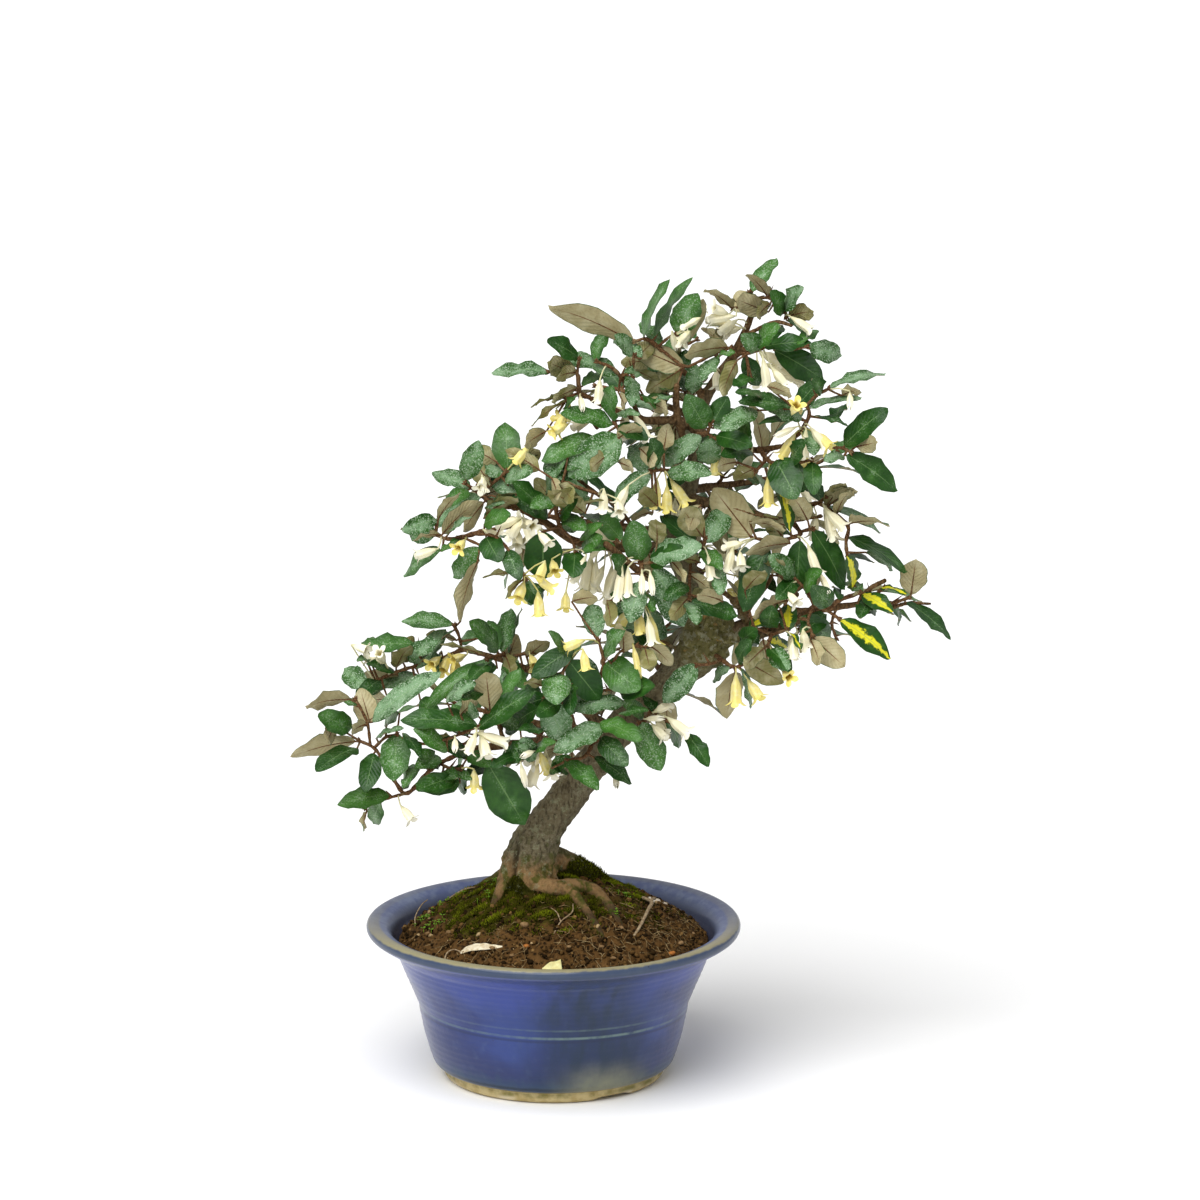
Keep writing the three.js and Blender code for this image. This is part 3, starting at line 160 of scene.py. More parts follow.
class Finish:
    """A procedural material that is put together node by node around one Principled shader."""

    def __init__(self, name, **constants):
        self.material = bpy.data.materials.new(name)
        self.material.use_nodes = True
        self.tree = self.material.node_tree
        self.shader = self.tree.nodes["Principled BSDF"]
        for socket, value in constants.items():
            self.shader.inputs[socket.replace("_", " ")].default_value = value

    def link(self, socket, value):
        """Sets a socket to a number or colour, or joins a wire to it."""
        if isinstance(value, Wire):
            self.tree.links.new(value.socket, socket)
        elif hasattr(socket.default_value, "__len__") and len(socket.default_value) == 4:
            socket.default_value = (*value, 1)
        else:
            socket.default_value = value

    def node(self, kind, values=None, output=0, **settings):
        """Adds a node, with its settings first and then the values or wires of its sockets."""
        node = self.tree.nodes.new(kind)
        for setting, value in settings.items():
            setattr(node, setting, value)
        for socket, value in (values or {}).items():
            self.link(node.inputs[socket], value)
        return Wire(self, node.outputs[output])

    def mixed(self, first, second, share):
        """The colour that goes from the first to the second as share goes from 0 to 1."""
        return self.node("ShaderNodeMix", {0: share, 6: first, 7: second}, output=2, data_type="RGBA")

    def coated(self, colour, *coats):
        """A colour under coats laid on in turn, each a colour and the share, from 0 to 1, that it covers."""
        for coat, share in coats:
            colour = self.mixed(colour, coat, share)
        return colour

    def place(self, axis=None):
        """The object's own coordinates in metres, or one of them in millimetres."""
        coordinates = self.node("ShaderNodeTexCoord", output="Object")
        if axis is None:
            return coordinates
        return self.node("ShaderNodeSeparateXYZ", {0: coordinates}, output=axis) * 1000

    def noise(self, millimetres, detail=3.0, roughness=0.55, stretch=(1, 1, 1)):
        """Cloudy noise about 0.5 whose blobs are so many millimetres wide, longer along a stretched axis."""
        scaled = self.node("ShaderNodeMapping", {0: self.place(), 3: tuple(1 / part for part in stretch)})
        values = {"Vector": scaled, "Scale": 1000 / millimetres, "Detail": detail, "Roughness": roughness}
        return self.node("ShaderNodeTexNoise", values)

    def spots(self, millimetres):
        """Distance to the nearest of many scattered points that lie so many millimetres apart."""
        return self.node("ShaderNodeTexVoronoi", {"Vector": self.place(), "Scale": 1000 / millimetres})

    def attribute(self, name):
        """A number that the mesh holds for each corner or face."""
        return self.node("ShaderNodeAttribute", output="Fac", attribute_name=name)

    def wear(self, colour, roughness, height=None, bump_mm=0.2):
        """Joins colour, roughness and relief to the shader. Relief is height from 0 to 1, bump_mm deep."""
        self.link(self.shader.inputs["Base Color"], colour)
        self.link(self.shader.inputs["Roughness"], roughness)
        if height is not None:
            bump = self.node("ShaderNodeBump", {"Height": height, "Distance": bump_mm / 1000, "Strength": 1})
            self.tree.links.new(bump.socket, self.shader.inputs["Normal"])
        return self.material


def add_piece(name, points, faces, materials, slot, replaced=(), marks=None, face_marks=None, worn=None):
    """A smooth mesh from points in millimetres and arrays of faces, which rides on the one body.

    Marks are numbers held by each point or each face, and worn says which material each face has."""
    groups = faces if isinstance(faces, list) else [faces]
    mesh = bpy.data.meshes.new(name)
    mesh.vertices.add(len(points))
    mesh.vertices.foreach_set("co", in_frame(points).ravel())
    corners = np.concatenate([group.ravel() for group in groups])
    sides = np.concatenate([np.full(len(group), group.shape[1]) for group in groups])
    mesh.loops.add(len(corners))
    mesh.loops.foreach_set("vertex_index", corners)
    mesh.polygons.add(len(sides))
    mesh.polygons.foreach_set("loop_start", np.cumsum(sides) - sides)
    mesh.update(calc_edges=True)
    for domain, values in (("POINT", marks or {}), ("FACE", face_marks or {})):
        for mark, numbers in values.items():
            layer = mesh.attributes.new(mark, "FLOAT", domain)
            layer.data.foreach_set("value", np.asarray(numbers, np.float32))
    for material in materials:
        mesh.materials.append(material)
    if worn is not None:
        mesh.polygons.foreach_set("material_index", worn)
    mesh.polygons.foreach_set("use_smooth", np.ones(len(sides), bool))
    piece = bpy.data.objects.new(name, mesh)
    bpy.context.collection.objects.link(piece)
    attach(piece, "root")
    if replaced:
        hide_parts(*replaced)
    return piece


def even_steps(line, step):
    """A line drawn again with points a step apart: each column read off against the length so far."""
    line = np.asarray(line, float)
    run = np.concatenate([[0], np.cumsum(np.linalg.norm(np.diff(line[:, :2], axis=0), axis=1))])
    at = np.linspace(0, run[-1], max(int(run[-1] / step), 2) + 1)
    return np.stack([np.interp(at, run, column) for column in line.T], axis=1)


def lattice(rows, columns, wrap_rows=False):
    """The quads of a grid of points whose rows are rings. The last row joins the first if they wrap."""
    row = np.arange(rows if wrap_rows else rows - 1)[:, None]
    column = np.arange(columns)[None, :]
    below = (row + 1) % rows * columns
    here = row * columns
    after = (column + 1) % columns
    return np.stack([here + column, here + after, below + after, below + column], axis=-1).reshape(-1, 4)


def turned_pot(around=256):
    """The pot's wall: (r(t) cos a, r(t) sin a, z(t)) for a closed profile (r, z)(t), with throwing rings that
    swell r by 0.1 sin(1.9 z), a slow swell of 0.35 round the wall, a lip that rises and falls by 0.35, and z
    raised to an arch h (1 - (d / w)^4) across each notch in the foot."""
    profile = even_steps(POT_OUTSIDE + POT_INSIDE + POT_UNDER + [POT_OUTSIDE[0]], 1.1)[:-1]
    soft = (np.roll(profile, 1, axis=0) + 2 * profile + np.roll(profile, -1, axis=0)) / 4
    angle = np.arange(around) / around * 2 * np.pi
    radius = soft[:, :1] * np.ones(around)
    height = soft[:, 1:] * np.ones(around)
    wall = (radius > 57) & (height > 8) & (height < 64)
    radius = radius + wall * (0.1 * np.sin(1.9 * height) + 0.35 * np.sin(height / 64 * 9 + 2 * np.sin(angle)))
    lip = np.clip((height - 66) / 12, 0, 1)
    height = height + lip * 0.35 * np.sin(2 * angle + 0.6)
    across = np.sin(angle[None, :, None] - NOTCH_ANGLES) * radius[..., None]
    facing = np.cos(angle[None, :, None] - NOTCH_ANGLES) > 0
    arch = NOTCH_HEIGHT * (1 - (np.abs(across) / (NOTCH_WIDTH / 2)) ** 4) * facing
    ring = (radius > 45) & (radius < 58) & (height < NOTCH_HEIGHT + 1)
    height = np.where(ring, np.maximum(height, arch.max(axis=2)), height)
    points = np.stack([radius * np.cos(angle), radius * np.sin(angle), height], axis=-1).reshape(-1, 3)
    return points, lattice(len(profile), around, wrap_rows=True)


def glaze_finish():
    """Cobalt glaze over clay. Masks of height, radius and noise say where it ran, broke or is missing."""
    glaze = Finish("cobalt_glaze", Coat_Weight=0.35, Coat_Roughness=0.1, Specular_IOR_Level=0.2)
    x = glaze.place("X") - float(POT_AXIS[0] * 1000)
    y = glaze.place("Y")
    z = glaze.place("Z")
    radius = (x * x + y * y) ** 0.5
    broad = glaze.noise(38, 3)
    fine = glaze.noise(5, 4)
    drips = glaze.noise(7, 3, 0.5, (1, 1, 9))
    front = y.rise(0, -20)
    outer = (radius - 67).rise(-2, 0) * (radius - 76).rise(0, -2)
    tilt = 0.012 * x
    # Where the glaze ran down it is darker, in a broad streak in front and a narrow one behind.
    streak_x = x + (broad - 0.5) * 30 + (drips - 0.5) * 14
    streak = (streak_x - 23).size().rise(42, 12) * front
    behind = (streak_x + 38).size().rise(20, 6) * y.rise(0, 20)
    ran = (streak + behind) * (0.6 + drips.rise(0.3, 0.7) * 0.3)
    low = (z + (drips - 0.5) * 12).rise(17, 8)
    pool = (z + (fine - 0.5) * 2 - 8.6).size().rise(1.5, 0.3)
    thin = (x - 25 + (broad - 0.5) * 16).size().rise(32, 4) * front * (z + (drips - 0.5) * 7).rise(27, 8)
    # It breaks pale on the two ridges of the groove and stays dark in the groove. Under the lip a darker blue
    # is painted on as shade.
    groove = (z - GROOVE + tilt).size().rise(1.0, 0.2) * 0.5
    ridge_high = (z - RIDGES[0] + tilt).size().rise(1.0, 0.2)
    ridge_low = (z - RIDGES[1] + tilt).size().rise(0.9, 0.1) * 0.45
    glow = fine.rise(0.2, 0.6) * (0.5 + streak * 0.5)
    shade_painted_under_lip = (z - 73).size().rise(3.2, 1) * (radius - 80).rise(0, 3)
    # The lip's top is lighter, with an olive crest, and the wall inside it is grey and darker lower down,
    # towards the soil.
    top = glaze.mixed((0.075, 0.1, 0.22), (0.14, 0.175, 0.28), (fine + broad - 0.5).rise(0.3, 0.75))
    on_lip = (z + (fine - 0.5) * 1.0).rise(74.5, 77) * (radius - 80).rise(-2, 1)
    inner = (radius - 76.4 - (z - 63.5) * 0.75).rise(0.8, -0.8) * (radius - 82).rise(3, -1) * z.rise(56, 60)
    wall = glaze.mixed((0.045, 0.05, 0.07), (0.085, 0.105, 0.16), z.rise(70, 77))
    # The lip's lower outer face, under its rolled edge, is painted a darker grey-blue as shade.
    shade_painted_on_rim_side = (radius - RIM_RADIUS + (z - 76) * 0.35).rise(-1.0, 0.2) * (z - 76.5).size().rise(4.4, 2.6)
    crest = (z + (fine - 0.5) * 1.2 - CREST).size().rise(1.5, 0.5)
    crest = crest * (radius - CREST_RADIUS).size().rise(4.4, 2.4)
    specks = glaze.spots(9).rise(0.06, 0.035) * glaze.noise(30, 1).rise(0.5, 0.6)
    pinholes = glaze.spots(17).rise(0.03, 0.015) * glaze.noise(24, 1).rise(0.55, 0.62)
    # The foot and the hidden underside are bare clay.
    bare = (z + (fine - 0.5) * 1.0).rise(GLAZE_EDGE, GLAZE_EDGE - 0.7)
    bare = bare + (radius - 47).rise(1, -1) * z.rise(15, 8)
    unglazed = bare.math("MINIMUM", bare, 1)
    stain = glaze.noise(11, 4).rise(0.42, 0.62) * (z - 4.4).size().rise(2.6, 0.4)
    clay = glaze.coated(
        (0.5, 0.4, 0.19), ((0.36, 0.27, 0.1), fine.rise(0.4, 0.7)),
        ((0.62, 0.53, 0.36), glaze.noise(22, 2).rise(0.5, 0.7) * (z - 4).rise(0.5, -2)),
        ((0.12, 0.11, 0.012), stain * 0.8), ((0.04, 0.035, 0.02), (z - 6.4).size().rise(0.7, 0.1) * 0.7))
    colour = glaze.coated(
        (0.018, 0.031, 0.13), ((0.028, 0.052, 0.2), (broad + z * 0.004 - 0.2).rise(0.35, 0.65)),
        ((0.034, 0.06, 0.28), (z + (broad - 0.5) * 20).rise(50, 64) * 0.8),
        ((0.018, 0.03, 0.1), (z + (broad - 0.5) * 26).rise(40, 10) * 0.7),
        ((0.06, 0.09, 0.2), fine.rise(0.5, 0.85) * 0.35), ((0.011, 0.026, 0.05), ran),
        ((0.03, 0.065, 0.1), low * 0.6), ((0.01, 0.018, 0.03), pool * 0.7),
        ((0.2, 0.2, 0.13), thin * (0.45 + fine * 0.7)),
        ((0.012, 0.02, 0.06), groove * (radius - 66).rise(-2, 0)),
        ((0.14, 0.21, 0.2), (ridge_high + ridge_low) * outer * glow * 0.8),
        # Painted shade: the next coat darkens the band under the lip, and a coat on the row below darkens the
        # lip's lower outer face.
        ((0.015, 0.025, 0.06), shade_painted_under_lip * 0.5),
        (top, on_lip), (wall, inner * 0.9), ((0.03, 0.047, 0.08), shade_painted_on_rim_side * 0.85),
        ((0.27, 0.24, 0.12), crest * (0.2 + y.rise(30, -60) * 0.8) * 0.9), ((0.02, 0.02, 0.03), specks * 0.8),
        ((0.5, 0.52, 0.4), pinholes), (clay, unglazed))
    roughness = 0.24 + fine * 0.14 + unglazed * 0.5 + on_lip * 0.1
    relief = fine * 0.5 + glaze.noise(0.9, 2) * 0.2 + glaze.noise(15, 2) * 0.8
    return glaze.wear(colour, roughness, relief, 0.25)


pot_points, pot_faces = turned_pot()
add_piece("glazed_pot", pot_points, pot_faces, [glaze_finish()], "pot", ["pot"])

# The drain screen: a square of black plastic net on the pot's floor, which keeps the soil in. It lies
# under the soil, so its own solid stays and only gets its finish.
netting = Finish("moulded_net", Specular_IOR_Level=0.4)
net_shade = netting.mixed((0.018, 0.02, 0.019), (0.05, 0.05, 0.047), netting.noise(2.5).rise(0.35, 0.7))
netting.wear(net_shade, 0.45 + netting.noise(6) * 0.25, netting.noise(0.6), 0.1)
net_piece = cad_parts["drain_screen"]
net_piece.data.materials.clear()
net_piece.data.materials.append(netting.material)

# The soil: crumbly brown bonsai soil that fills the pot and is mounded up to the roots. Loose crumbs
# of baked clay, bark and grit lie all over it.
SOIL_RADIUS = 79
SOIL_EDGE = 70
SOIL_RISE = 30
FOOT_BUMP = {"x": -10, "y": 4, "high": 4, "wide": 18}
SOIL_WALL = [(78.2, 69), (73.6, 63.5), (56.2, 20), (47.3, 9.7)]


def mound(x, y):
    """Height of the soil: edge + rise (1 - (r / R)^2), with a low bump where the tree stands."""
    out = np.minimum(np.hypot(x, y) / SOIL_RADIUS, 1)
    near = ((x - FOOT_BUMP["x"]) ** 2 + (y - FOOT_BUMP["y"]) ** 2) / (2 * FOOT_BUMP["wide"] ** 2)
    return SOIL_EDGE + SOIL_RISE * (1 - out * out) + FOOT_BUMP["high"] * np.exp(-near)


# Moss grows in patches: (x, y, reach across, reach deep, how thick it grows).
MOSS_PATCHES = [
    (-12, 2, 28, 22, 1.0), (-32, -20, 26, 28, 1.0), (-8, -29, 22, 20, 1.0), (15, -27, 17, 15, 0.85),
    (23, 18, 26, 14, 1.0), (38, 4, 16, 16, 0.7), (-30, 22, 28, 24, 0.9), (-50, 4, 14, 18, 0.7),
    (5, 36, 44, 22, 0.8), (0, -45, 34, 9, 0.3), (42, -20, 18, 16, 0.4), (60, 14, 12, 16, 0.3),
]


def moss_cover(x, y):
    """How thickly moss grows: the greatest over the patches of thickness 1.6 (1 - (distance / reach)^2),
    and no more than the patch's own."""
    cover = np.zeros(np.shape(x))
    for middle_x, middle_y, wide, deep, thick in MOSS_PATCHES:
        near = ((x - middle_x) / wide) ** 2 + ((y - middle_y) / deep) ** 2
        cover = np.maximum(cover, thick * np.clip(1.6 * (1 - near), 0, 1))
    return cover


def lumps(points, size, seed, waves=7):
    """Smooth lumps, mostly between -1 and 1, from sines of the place along directions drawn at random:
    sum sin(k . p / size + phase) / sqrt(waves)."""
    draws = np.random.default_rng(seed)
    course = draws.normal(size=(waves, 3))
    course /= np.linalg.norm(course, axis=1, keepdims=True)
    course *= draws.uniform(0.6, 1.5, (waves, 1)) * 2 * np.pi / size
    return np.sin(points @ course.T + draws.uniform(0, 2 * np.pi, waves)).sum(axis=-1) / np.sqrt(waves)


def capped(rows, around):
    """The quads of a grid that is joined round, and the triangles that close its first and last rows onto two
    poles, whose points follow the grid's."""
    count = rows * around
    first = np.arange(around)
    after = (first + 1) % around
    start = np.stack([np.full(around, count), after, first], axis=1)
    end = np.stack([np.full(around, count + 1), count - around + first, count - around + after], axis=1)
    return lattice(rows, around), np.concatenate([start, end])


def soil_bed(rings=64, around=200):
    """The soil's skin: rings of radius R t^0.8 at height mound + crumbs of lumps, then down the pot's wall to
    the floor."""
    out = SOIL_WALL[0][0] * np.linspace(0, 1, rings + 1)[1:] ** 0.8
    angle = np.arange(around) / around * 2 * np.pi
    x = out[:, None] * np.cos(angle)
    y = out[:, None] * np.sin(angle)
    top = np.stack([x, y, mound(x, y)], axis=-1)
    fade = np.clip((SOIL_RADIUS - out) / 6, 0.15, 1)[:, None]
    crumbs = 0.9 * lumps(top, 9, 1) + 0.55 * np.abs(lumps(top, 4, 2)) + 0.3 * lumps(top, 2.2, 3)
    top[..., 2] += crumbs * fade - 0.4
    wall = np.array([(r * np.cos(a), r * np.sin(a), z) for r, z in SOIL_WALL for a in angle])
    rows = np.concatenate([top, wall.reshape(-1, around, 3)])
    points = np.concatenate([rows.reshape(-1, 3), [[0, 0, mound(0, 0)], [0, 0, SOIL_WALL[-1][1]]]])
    return points, [faces[:, ::-1] for faces in capped(len(rows), around)]


def soil_finish():
    """Moist crumbs from near black to red-brown, greenish near moss, with paler fibres and ochre grains."""
    earth = Finish("moist_soil", Specular_IOR_Level=0.08)
    crumbs = earth.spots(2.4)
    cloud = earth.noise(14, 4)
    mossy = (earth.attribute("mossy") + (cloud - 0.5) * 0.8).rise(0.2, 0.6)
    colour = earth.coated(
        (0.01, 0.005, 0.001), ((0.09, 0.045, 0.013), crumbs.rise(0.1, 0.65)),
        ((0.19, 0.1, 0.035), cloud.rise(0.5, 0.75) * 0.6), ((0.034, 0.032, 0.002), mossy * 0.85),
        ((0.25, 0.15, 0.06), earth.noise(1.1, 3, 0.6, (5, 1, 1)).rise(0.66, 0.75) * 0.7))
    return earth.wear(colour, 0.85, crumbs + earth.noise(0.8, 4) * 0.8, 0.9)


soil_points, soil_faces = soil_bed()
soil_moss = moss_cover(soil_points[:, 0], soil_points[:, 1])
add_piece("soil_bed", soil_points, soil_faces, [soil_finish()], "soil", ["soil"], {"mossy": soil_moss})

CRUMB_COUNT = 5600
CRUMB_SIZE = (0.4, 1.8)


def repeated(faces, copies, step):
    """The faces of copies of a shape whose points follow one another, step points for each."""
    return (faces + step * np.arange(copies)[:, None, None]).reshape(-1, faces.shape[1])


def scattered(draws, count, radius, least=0):
    """Places strewn evenly over a disc: radius sqrt(u) out at a random angle, with u from least to 1."""
    out = radius * np.sqrt(draws.uniform(least, 1, count))
    angle = draws.uniform(0, 2 * np.pi, count)
    return out * np.cos(angle), out * np.sin(angle)


def scattered_crumbs(count, sizes, seed):
    """Crumbs: copies of a 20-faced ball, each corner pushed in or out and each axis scaled at random,
    turned at random, and set a little sunk on the mound."""
    draws = np.random.default_rng(seed)
    golden = (1 + 5 ** 0.5) / 2
    ball = np.array([
        (-1, golden, 0), (1, golden, 0), (-1, -golden, 0), (1, -golden, 0), (0, -1, golden), (0, 1, golden),
        (0, -1, -golden), (0, 1, -golden), (golden, 0, -1), (golden, 0, 1), (-golden, 0, -1), (-golden, 0, 1),
    ]) / (1 + golden ** 2) ** 0.5
    skin = np.array([
        (0, 11, 5), (0, 5, 1), (0, 1, 7), (0, 7, 10), (0, 10, 11), (1, 5, 9), (5, 11, 4), (11, 10, 2),
        (10, 7, 6), (7, 1, 8), (3, 9, 4), (3, 4, 2), (3, 2, 6), (3, 6, 8), (3, 8, 9), (4, 9, 5), (2, 4, 11),
        (6, 2, 10), (8, 6, 7), (9, 8, 1),
    ])
    x, y = scattered(draws, count, SOIL_RADIUS - 2, 0.03)
    size = sizes[0] + (sizes[1] - sizes[0]) * draws.uniform(0, 1, count) ** 3
    shape = ball * draws.uniform(0.65, 1.15, (count, len(ball), 1)) * draws.uniform(0.6, 1.2, (count, 1, 3))
    turn = np.linalg.qr(draws.normal(size=(count, 3, 3)))[0]
    turn[np.linalg.det(turn) < 0] *= -1
    shape = np.einsum("nij,nkj->nki", turn, shape) * size[:, None, None]
    places = np.stack([x, y, mound(x, y) + 0.35 * size], axis=1)
    points = (shape + places[:, None]).reshape(-1, 3)
    return points, repeated(skin, count, len(ball)), np.repeat(draws.uniform(0, 1, count), len(skin))


def crumb_finish():
    """Each crumb has its own brown, from dark bark to ochre clay, with a dusty face."""
    crumb = Finish("soil_crumbs", Specular_IOR_Level=0.08)
    tone = crumb.attribute("tone")
    colour = crumb.coated(
        (0.012, 0.006, 0.001), ((0.11, 0.058, 0.017), tone.rise(0.1, 0.85)),
        ((0.2, 0.115, 0.038), tone.rise(0.88, 0.95)), ((0.4, 0.28, 0.14), tone.rise(0.98, 0.99)),
        ((0.025, 0.012, 0.003), crumb.noise(1.2, 3).rise(0.45, 0.7) * 0.6))
    return crumb.wear(colour, 0.85, crumb.noise(0.5, 3), 0.2)


crumb_points, crumb_faces, crumb_tone = scattered_crumbs(CRUMB_COUNT, CRUMB_SIZE, 11)
add_piece("soil_crumbs", crumb_points, crumb_faces, [crumb_finish()], "soil", face_marks={"tone": crumb_tone})

# The trunk: one grown body with its surface roots and branches. It leans to the right, swells into a burl
# at its bend and turns back up. The bark is grey-brown, with lichen and moss near the soil.


def drawn_lines(text):
    """Lines of points from their text, each an array with a row for each point. A comma parts two points, and
    a semicolon or a row's end parts two lines, unless the row ends in a comma."""
    rows = text.replace(",\n", ",").replace(";", "\n").split("\n")
    return [np.array([point.split() for point in row.split(",")], float) for row in rows if row.strip()]


def named_lines(text):
    """Lines by their names, from rows of a name, a colon and the line's points."""
    rows = [row.split(":") for row in text.replace(",\n", ",").split("\n") if row.strip()]
    return {name.strip(): drawn_lines(points)[0] for name, points in rows}


# A limb's point is "across down back radius", and a root's is "x y height-over-the-soil radius".
TRUNK = drawn_lines("""
    524 932 -5 12.5, 526 892 -5 15, 529 868 -5 14.4, 533 850 -5 12.8, 540 834 -5 11,
        552 817 -5 9.7, 567 797 -5 9.3, 583 774 -5 9, 601 752 -4 8.7, 622 727 -3 8.4, 648 702 -2 8,
        672 679 -1 8.2, 690 661 0 10, 704 643 0 13.2, 708 624 0 11.5, 703 606 1 8, 694 588 2 6.4,
        682 564 3 5.8, 675 538 4 5.3, 679 512 4 5, 688 488 4 4.6, 695 462 4 4.2, 699 432 4 3.8,
        702 405 3 3.3, 716 380 2 2.9, 733 356 2 2.4, 745 332 1 1.9, 754 308 0 1.3""")[0]
ROOTS = drawn_lines("""
    -12 -9 10 5, -7 -16 3.5 5.2, 0 -18 1.6 4.8, 10 -14.5 1.8 4.2, 19 -12 1.4 3.6, 26 -21 0.8 3,
        31 -32 0 2.2, 36 -39 -3 1.4
    6 -15 1 3.6, 11 -23 1.2 3, 17 -34 0.4 2.4, 23 -45 -0.6 1.8, 27 -52 -3.4 1.2
    -18 -8 9 5, -24 -12 2.6 4.2, -28 -18 0.8 3, -31 -26 -2 1.8
    -2 2 8 6.5, 6 8 6 6.4, 14 11 3 5.4, 22 16 0.6 3.6, 29 22 -2.4 2
    -18 3 6 5.4, -27 11 1 3.8, -37 19 -0.4 2.6, -44 26 -3.4 1.5
    -9 7 6 5.4, -9 20 1 3.8, -4 32 -0.2 2.6, 0 42 -3.4 1.5""")
BRANCHES = named_lines("""
    low_left: 628 728 -6 4.2, 604 727 -16 3.6, 575 733 -23 3.1, 540 742 -27 2.7, 505 745 -29 2.3,
        474 749 -28 1.9
    mid_left: 606 728 -16 3, 585 710 -18 2.6, 568 684 -12 2.3, 540 674 -2 2, 508 662 6 1.7,
        480 653 14 1.4
    left_arm: 676 545 2 3.4, 640 548 -8 2.9, 604 546 -12 2.5, 572 540 -15 2.1, 545 522 -16 1.8,
        512 506 -14 1.5, 488 499 -11 1.2
    left_arm_fork: 545 522 -16 1.6, 512 526 -27 1.4, 482 532 -31 1.2
    right_arm: 722 640 -8 3.6, 755 634 -13 3.1, 786 626 -15 2.7, 812 612 -15 2.2, 845 606 -14 1.8,
        876 602 -12 1.4
    right_mid: 684 498 2 3, 712 504 -2 2.6, 745 512 -6 2.3, 782 520 -8 1.9, 805 511 -8 1.5
    right_high: 699 442 2 2.4, 725 442 -6 2.1, 755 450 -14 1.8, 783 446 -20 1.4
    left_high: 699 432 2 2.8, 680 421 -4 2.4, 645 420 -9 2.1, 614 410 -11 1.7, 592 400 -10 1.3
    left_high_fork: 640 420 -10 1.6, 632 400 -8 1.3, 626 386 -4 1.1
    top_left: 703 398 2 2.2, 692 380 -2 1.8, 670 360 2 1.4
    top_right: 733 356 1 2.2, 752 346 -5 1.7, 764 339 -9 1.4
    front_low: 575 733 -23 1.8, 572 718 -36 1.4
    front_left: 505 745 -29 1.6, 500 729 -40 1.2
    front_centre: 640 548 -8 1.8, 641 556 -20 1.3
    back_low_left: 622 728 3 3.6, 596 730 18 3, 560 728 30 2.4, 520 720 40 1.8
    back_left: 675 535 6 3, 640 530 20 2.5, 600 524 32 2, 565 520 40 1.5
    back_right: 715 636 8 3.2, 748 622 22 2.6, 785 612 34 2, 818 610 42 1.5
    back_right_high: 688 490 7 2.6, 718 486 22 2.1, 752 482 34 1.5
    back_high: 700 420 6 2.4, 672 408 22 1.9, 645 399 32 1.4
    back_low: 664 684 5 3, 664 676 26 2.2, 656 665 44 1.5
    back_middle: 682 560 7 2.6, 690 566 28 2, 701 571 44 1.4""")
# Cut stubs and bare twigs that end in the open.
STUBS = drawn_lines("""
    665 590 -4 2, 640 572 -28 1.9, 605 543 -42 1.8; 893 607 -14 1.2, 910 603 -12 1.1, 931 604 -12 0.9
    822 516 -16 1, 790 521 -24 0.9, 760 516 -28 0.8, 733 508 -26 0.6
    648 548 -6 1.3, 618 508 -14 1.2, 600 496 -18 1.2, 576 478 -22 1.1, 555 465 -25 1
    688 452 2 1.7, 679 425 -4 2, 676 400 -8 1.9, 677 384 -10 1.5
    598 428 -10 1.2, 584 410 -14 1.4, 579 388 -18 1.3, 577 370 -20 1
    860 604 -13 1.3, 868 590 -18 1.3, 886 580 -22 1.3; 748 624 -2 1.8, 736 604 -8 1.7, 721 590 -11 1.5
    738 605 -8 1.3, 742 585 -11 1.2, 752 562 -13 1; 690 658 0 1.4, 668 644 -6 1.2, 654 640 -8 1
    744 337 -10 1.4, 756 330 -13 1.3, 776 322 -16 1.2, 793 326 -17 1
    796 596 -2 1.8, 782 576 -8 1.5, 758 556 -13 1.2
    744 616 -6 1.5, 754 602 -10 1.4, 765 588 -13 1.3, 773 574 -14 1.1""")


def curve_through(line, step):
    """A smooth line through its points: the cubic p(t) whose slope at each point is half the way from the
    point before to the point after, sampled about every step millimetres."""
    line = np.asarray(line, float)
    slope = np.gradient(line, axis=0)
    gaps = np.linalg.norm(np.diff(line[:, :3], axis=0), axis=1)
    counts = np.maximum((gaps / step).astype(int), 1)
    part = np.repeat(np.arange(len(gaps)), counts)
    t = ((np.arange(len(part)) - np.repeat(np.cumsum(counts) - counts, counts)) / counts[part])[:, None]
    curve = (2 * t ** 3 - 3 * t ** 2 + 1) * line[part] + (t ** 3 - 2 * t ** 2 + t) * slope[part]
    curve += (3 * t ** 2 - 2 * t ** 3) * line[part + 1] + (t ** 3 - t ** 2) * slope[part + 1]
    return np.concatenate([curve, line[-1:]])


def tube(line, sides):
    """A round limb along a line of (x, y, z, radius): centre + radius (cos a u + sin a v), where u is the
    direction that the line bends in least, made square to it, and v = along x u. A pole closes each end."""
    centre = line[:, :3]
    along = np.gradient(centre, axis=0)
    along /= np.linalg.norm(along, axis=1, keepdims=True) + 1e-9
    plain = np.linalg.svd(along, full_matrices=False)[2][-1]
    across = plain - along * (along @ plain)[:, None]
    across /= np.linalg.norm(across, axis=1, keepdims=True)
    over = np.cross(along, across)
    angle = np.arange(sides) / sides * 2 * np.pi
    ring = centre[:, None] + line[:, None, 3:4] * (
        np.cos(angle)[:, None] * across[:, None] + np.sin(angle)[:, None] * over[:, None])
    ends = centre[[0, -1]] + along[[0, -1]] * line[[0, -1], 3:4] * [[-0.5], [0.5]]
    return np.concatenate([ring.reshape(-1, 3), ends]), *capped(len(line), sides)


def joined(bodies):
    """Several bodies of (points, quads, triangles) as one list of points and two of renumbered faces."""
    points, *kinds = zip(*bodies)
    before = np.cumsum([0, *map(len, points[:-1])])
    faces = [np.concatenate([part + first for part, first in zip(kind, before)]) for kind in kinds]
    return np.concatenate(points), faces


def drawn_limb(line, step):
    """A drawn limb as a smooth line of (x, y, z, radius)."""
    line = np.asarray(line, float)
    return curve_through(np.concatenate([seen(line), line[:, 3:4]], axis=1), step)


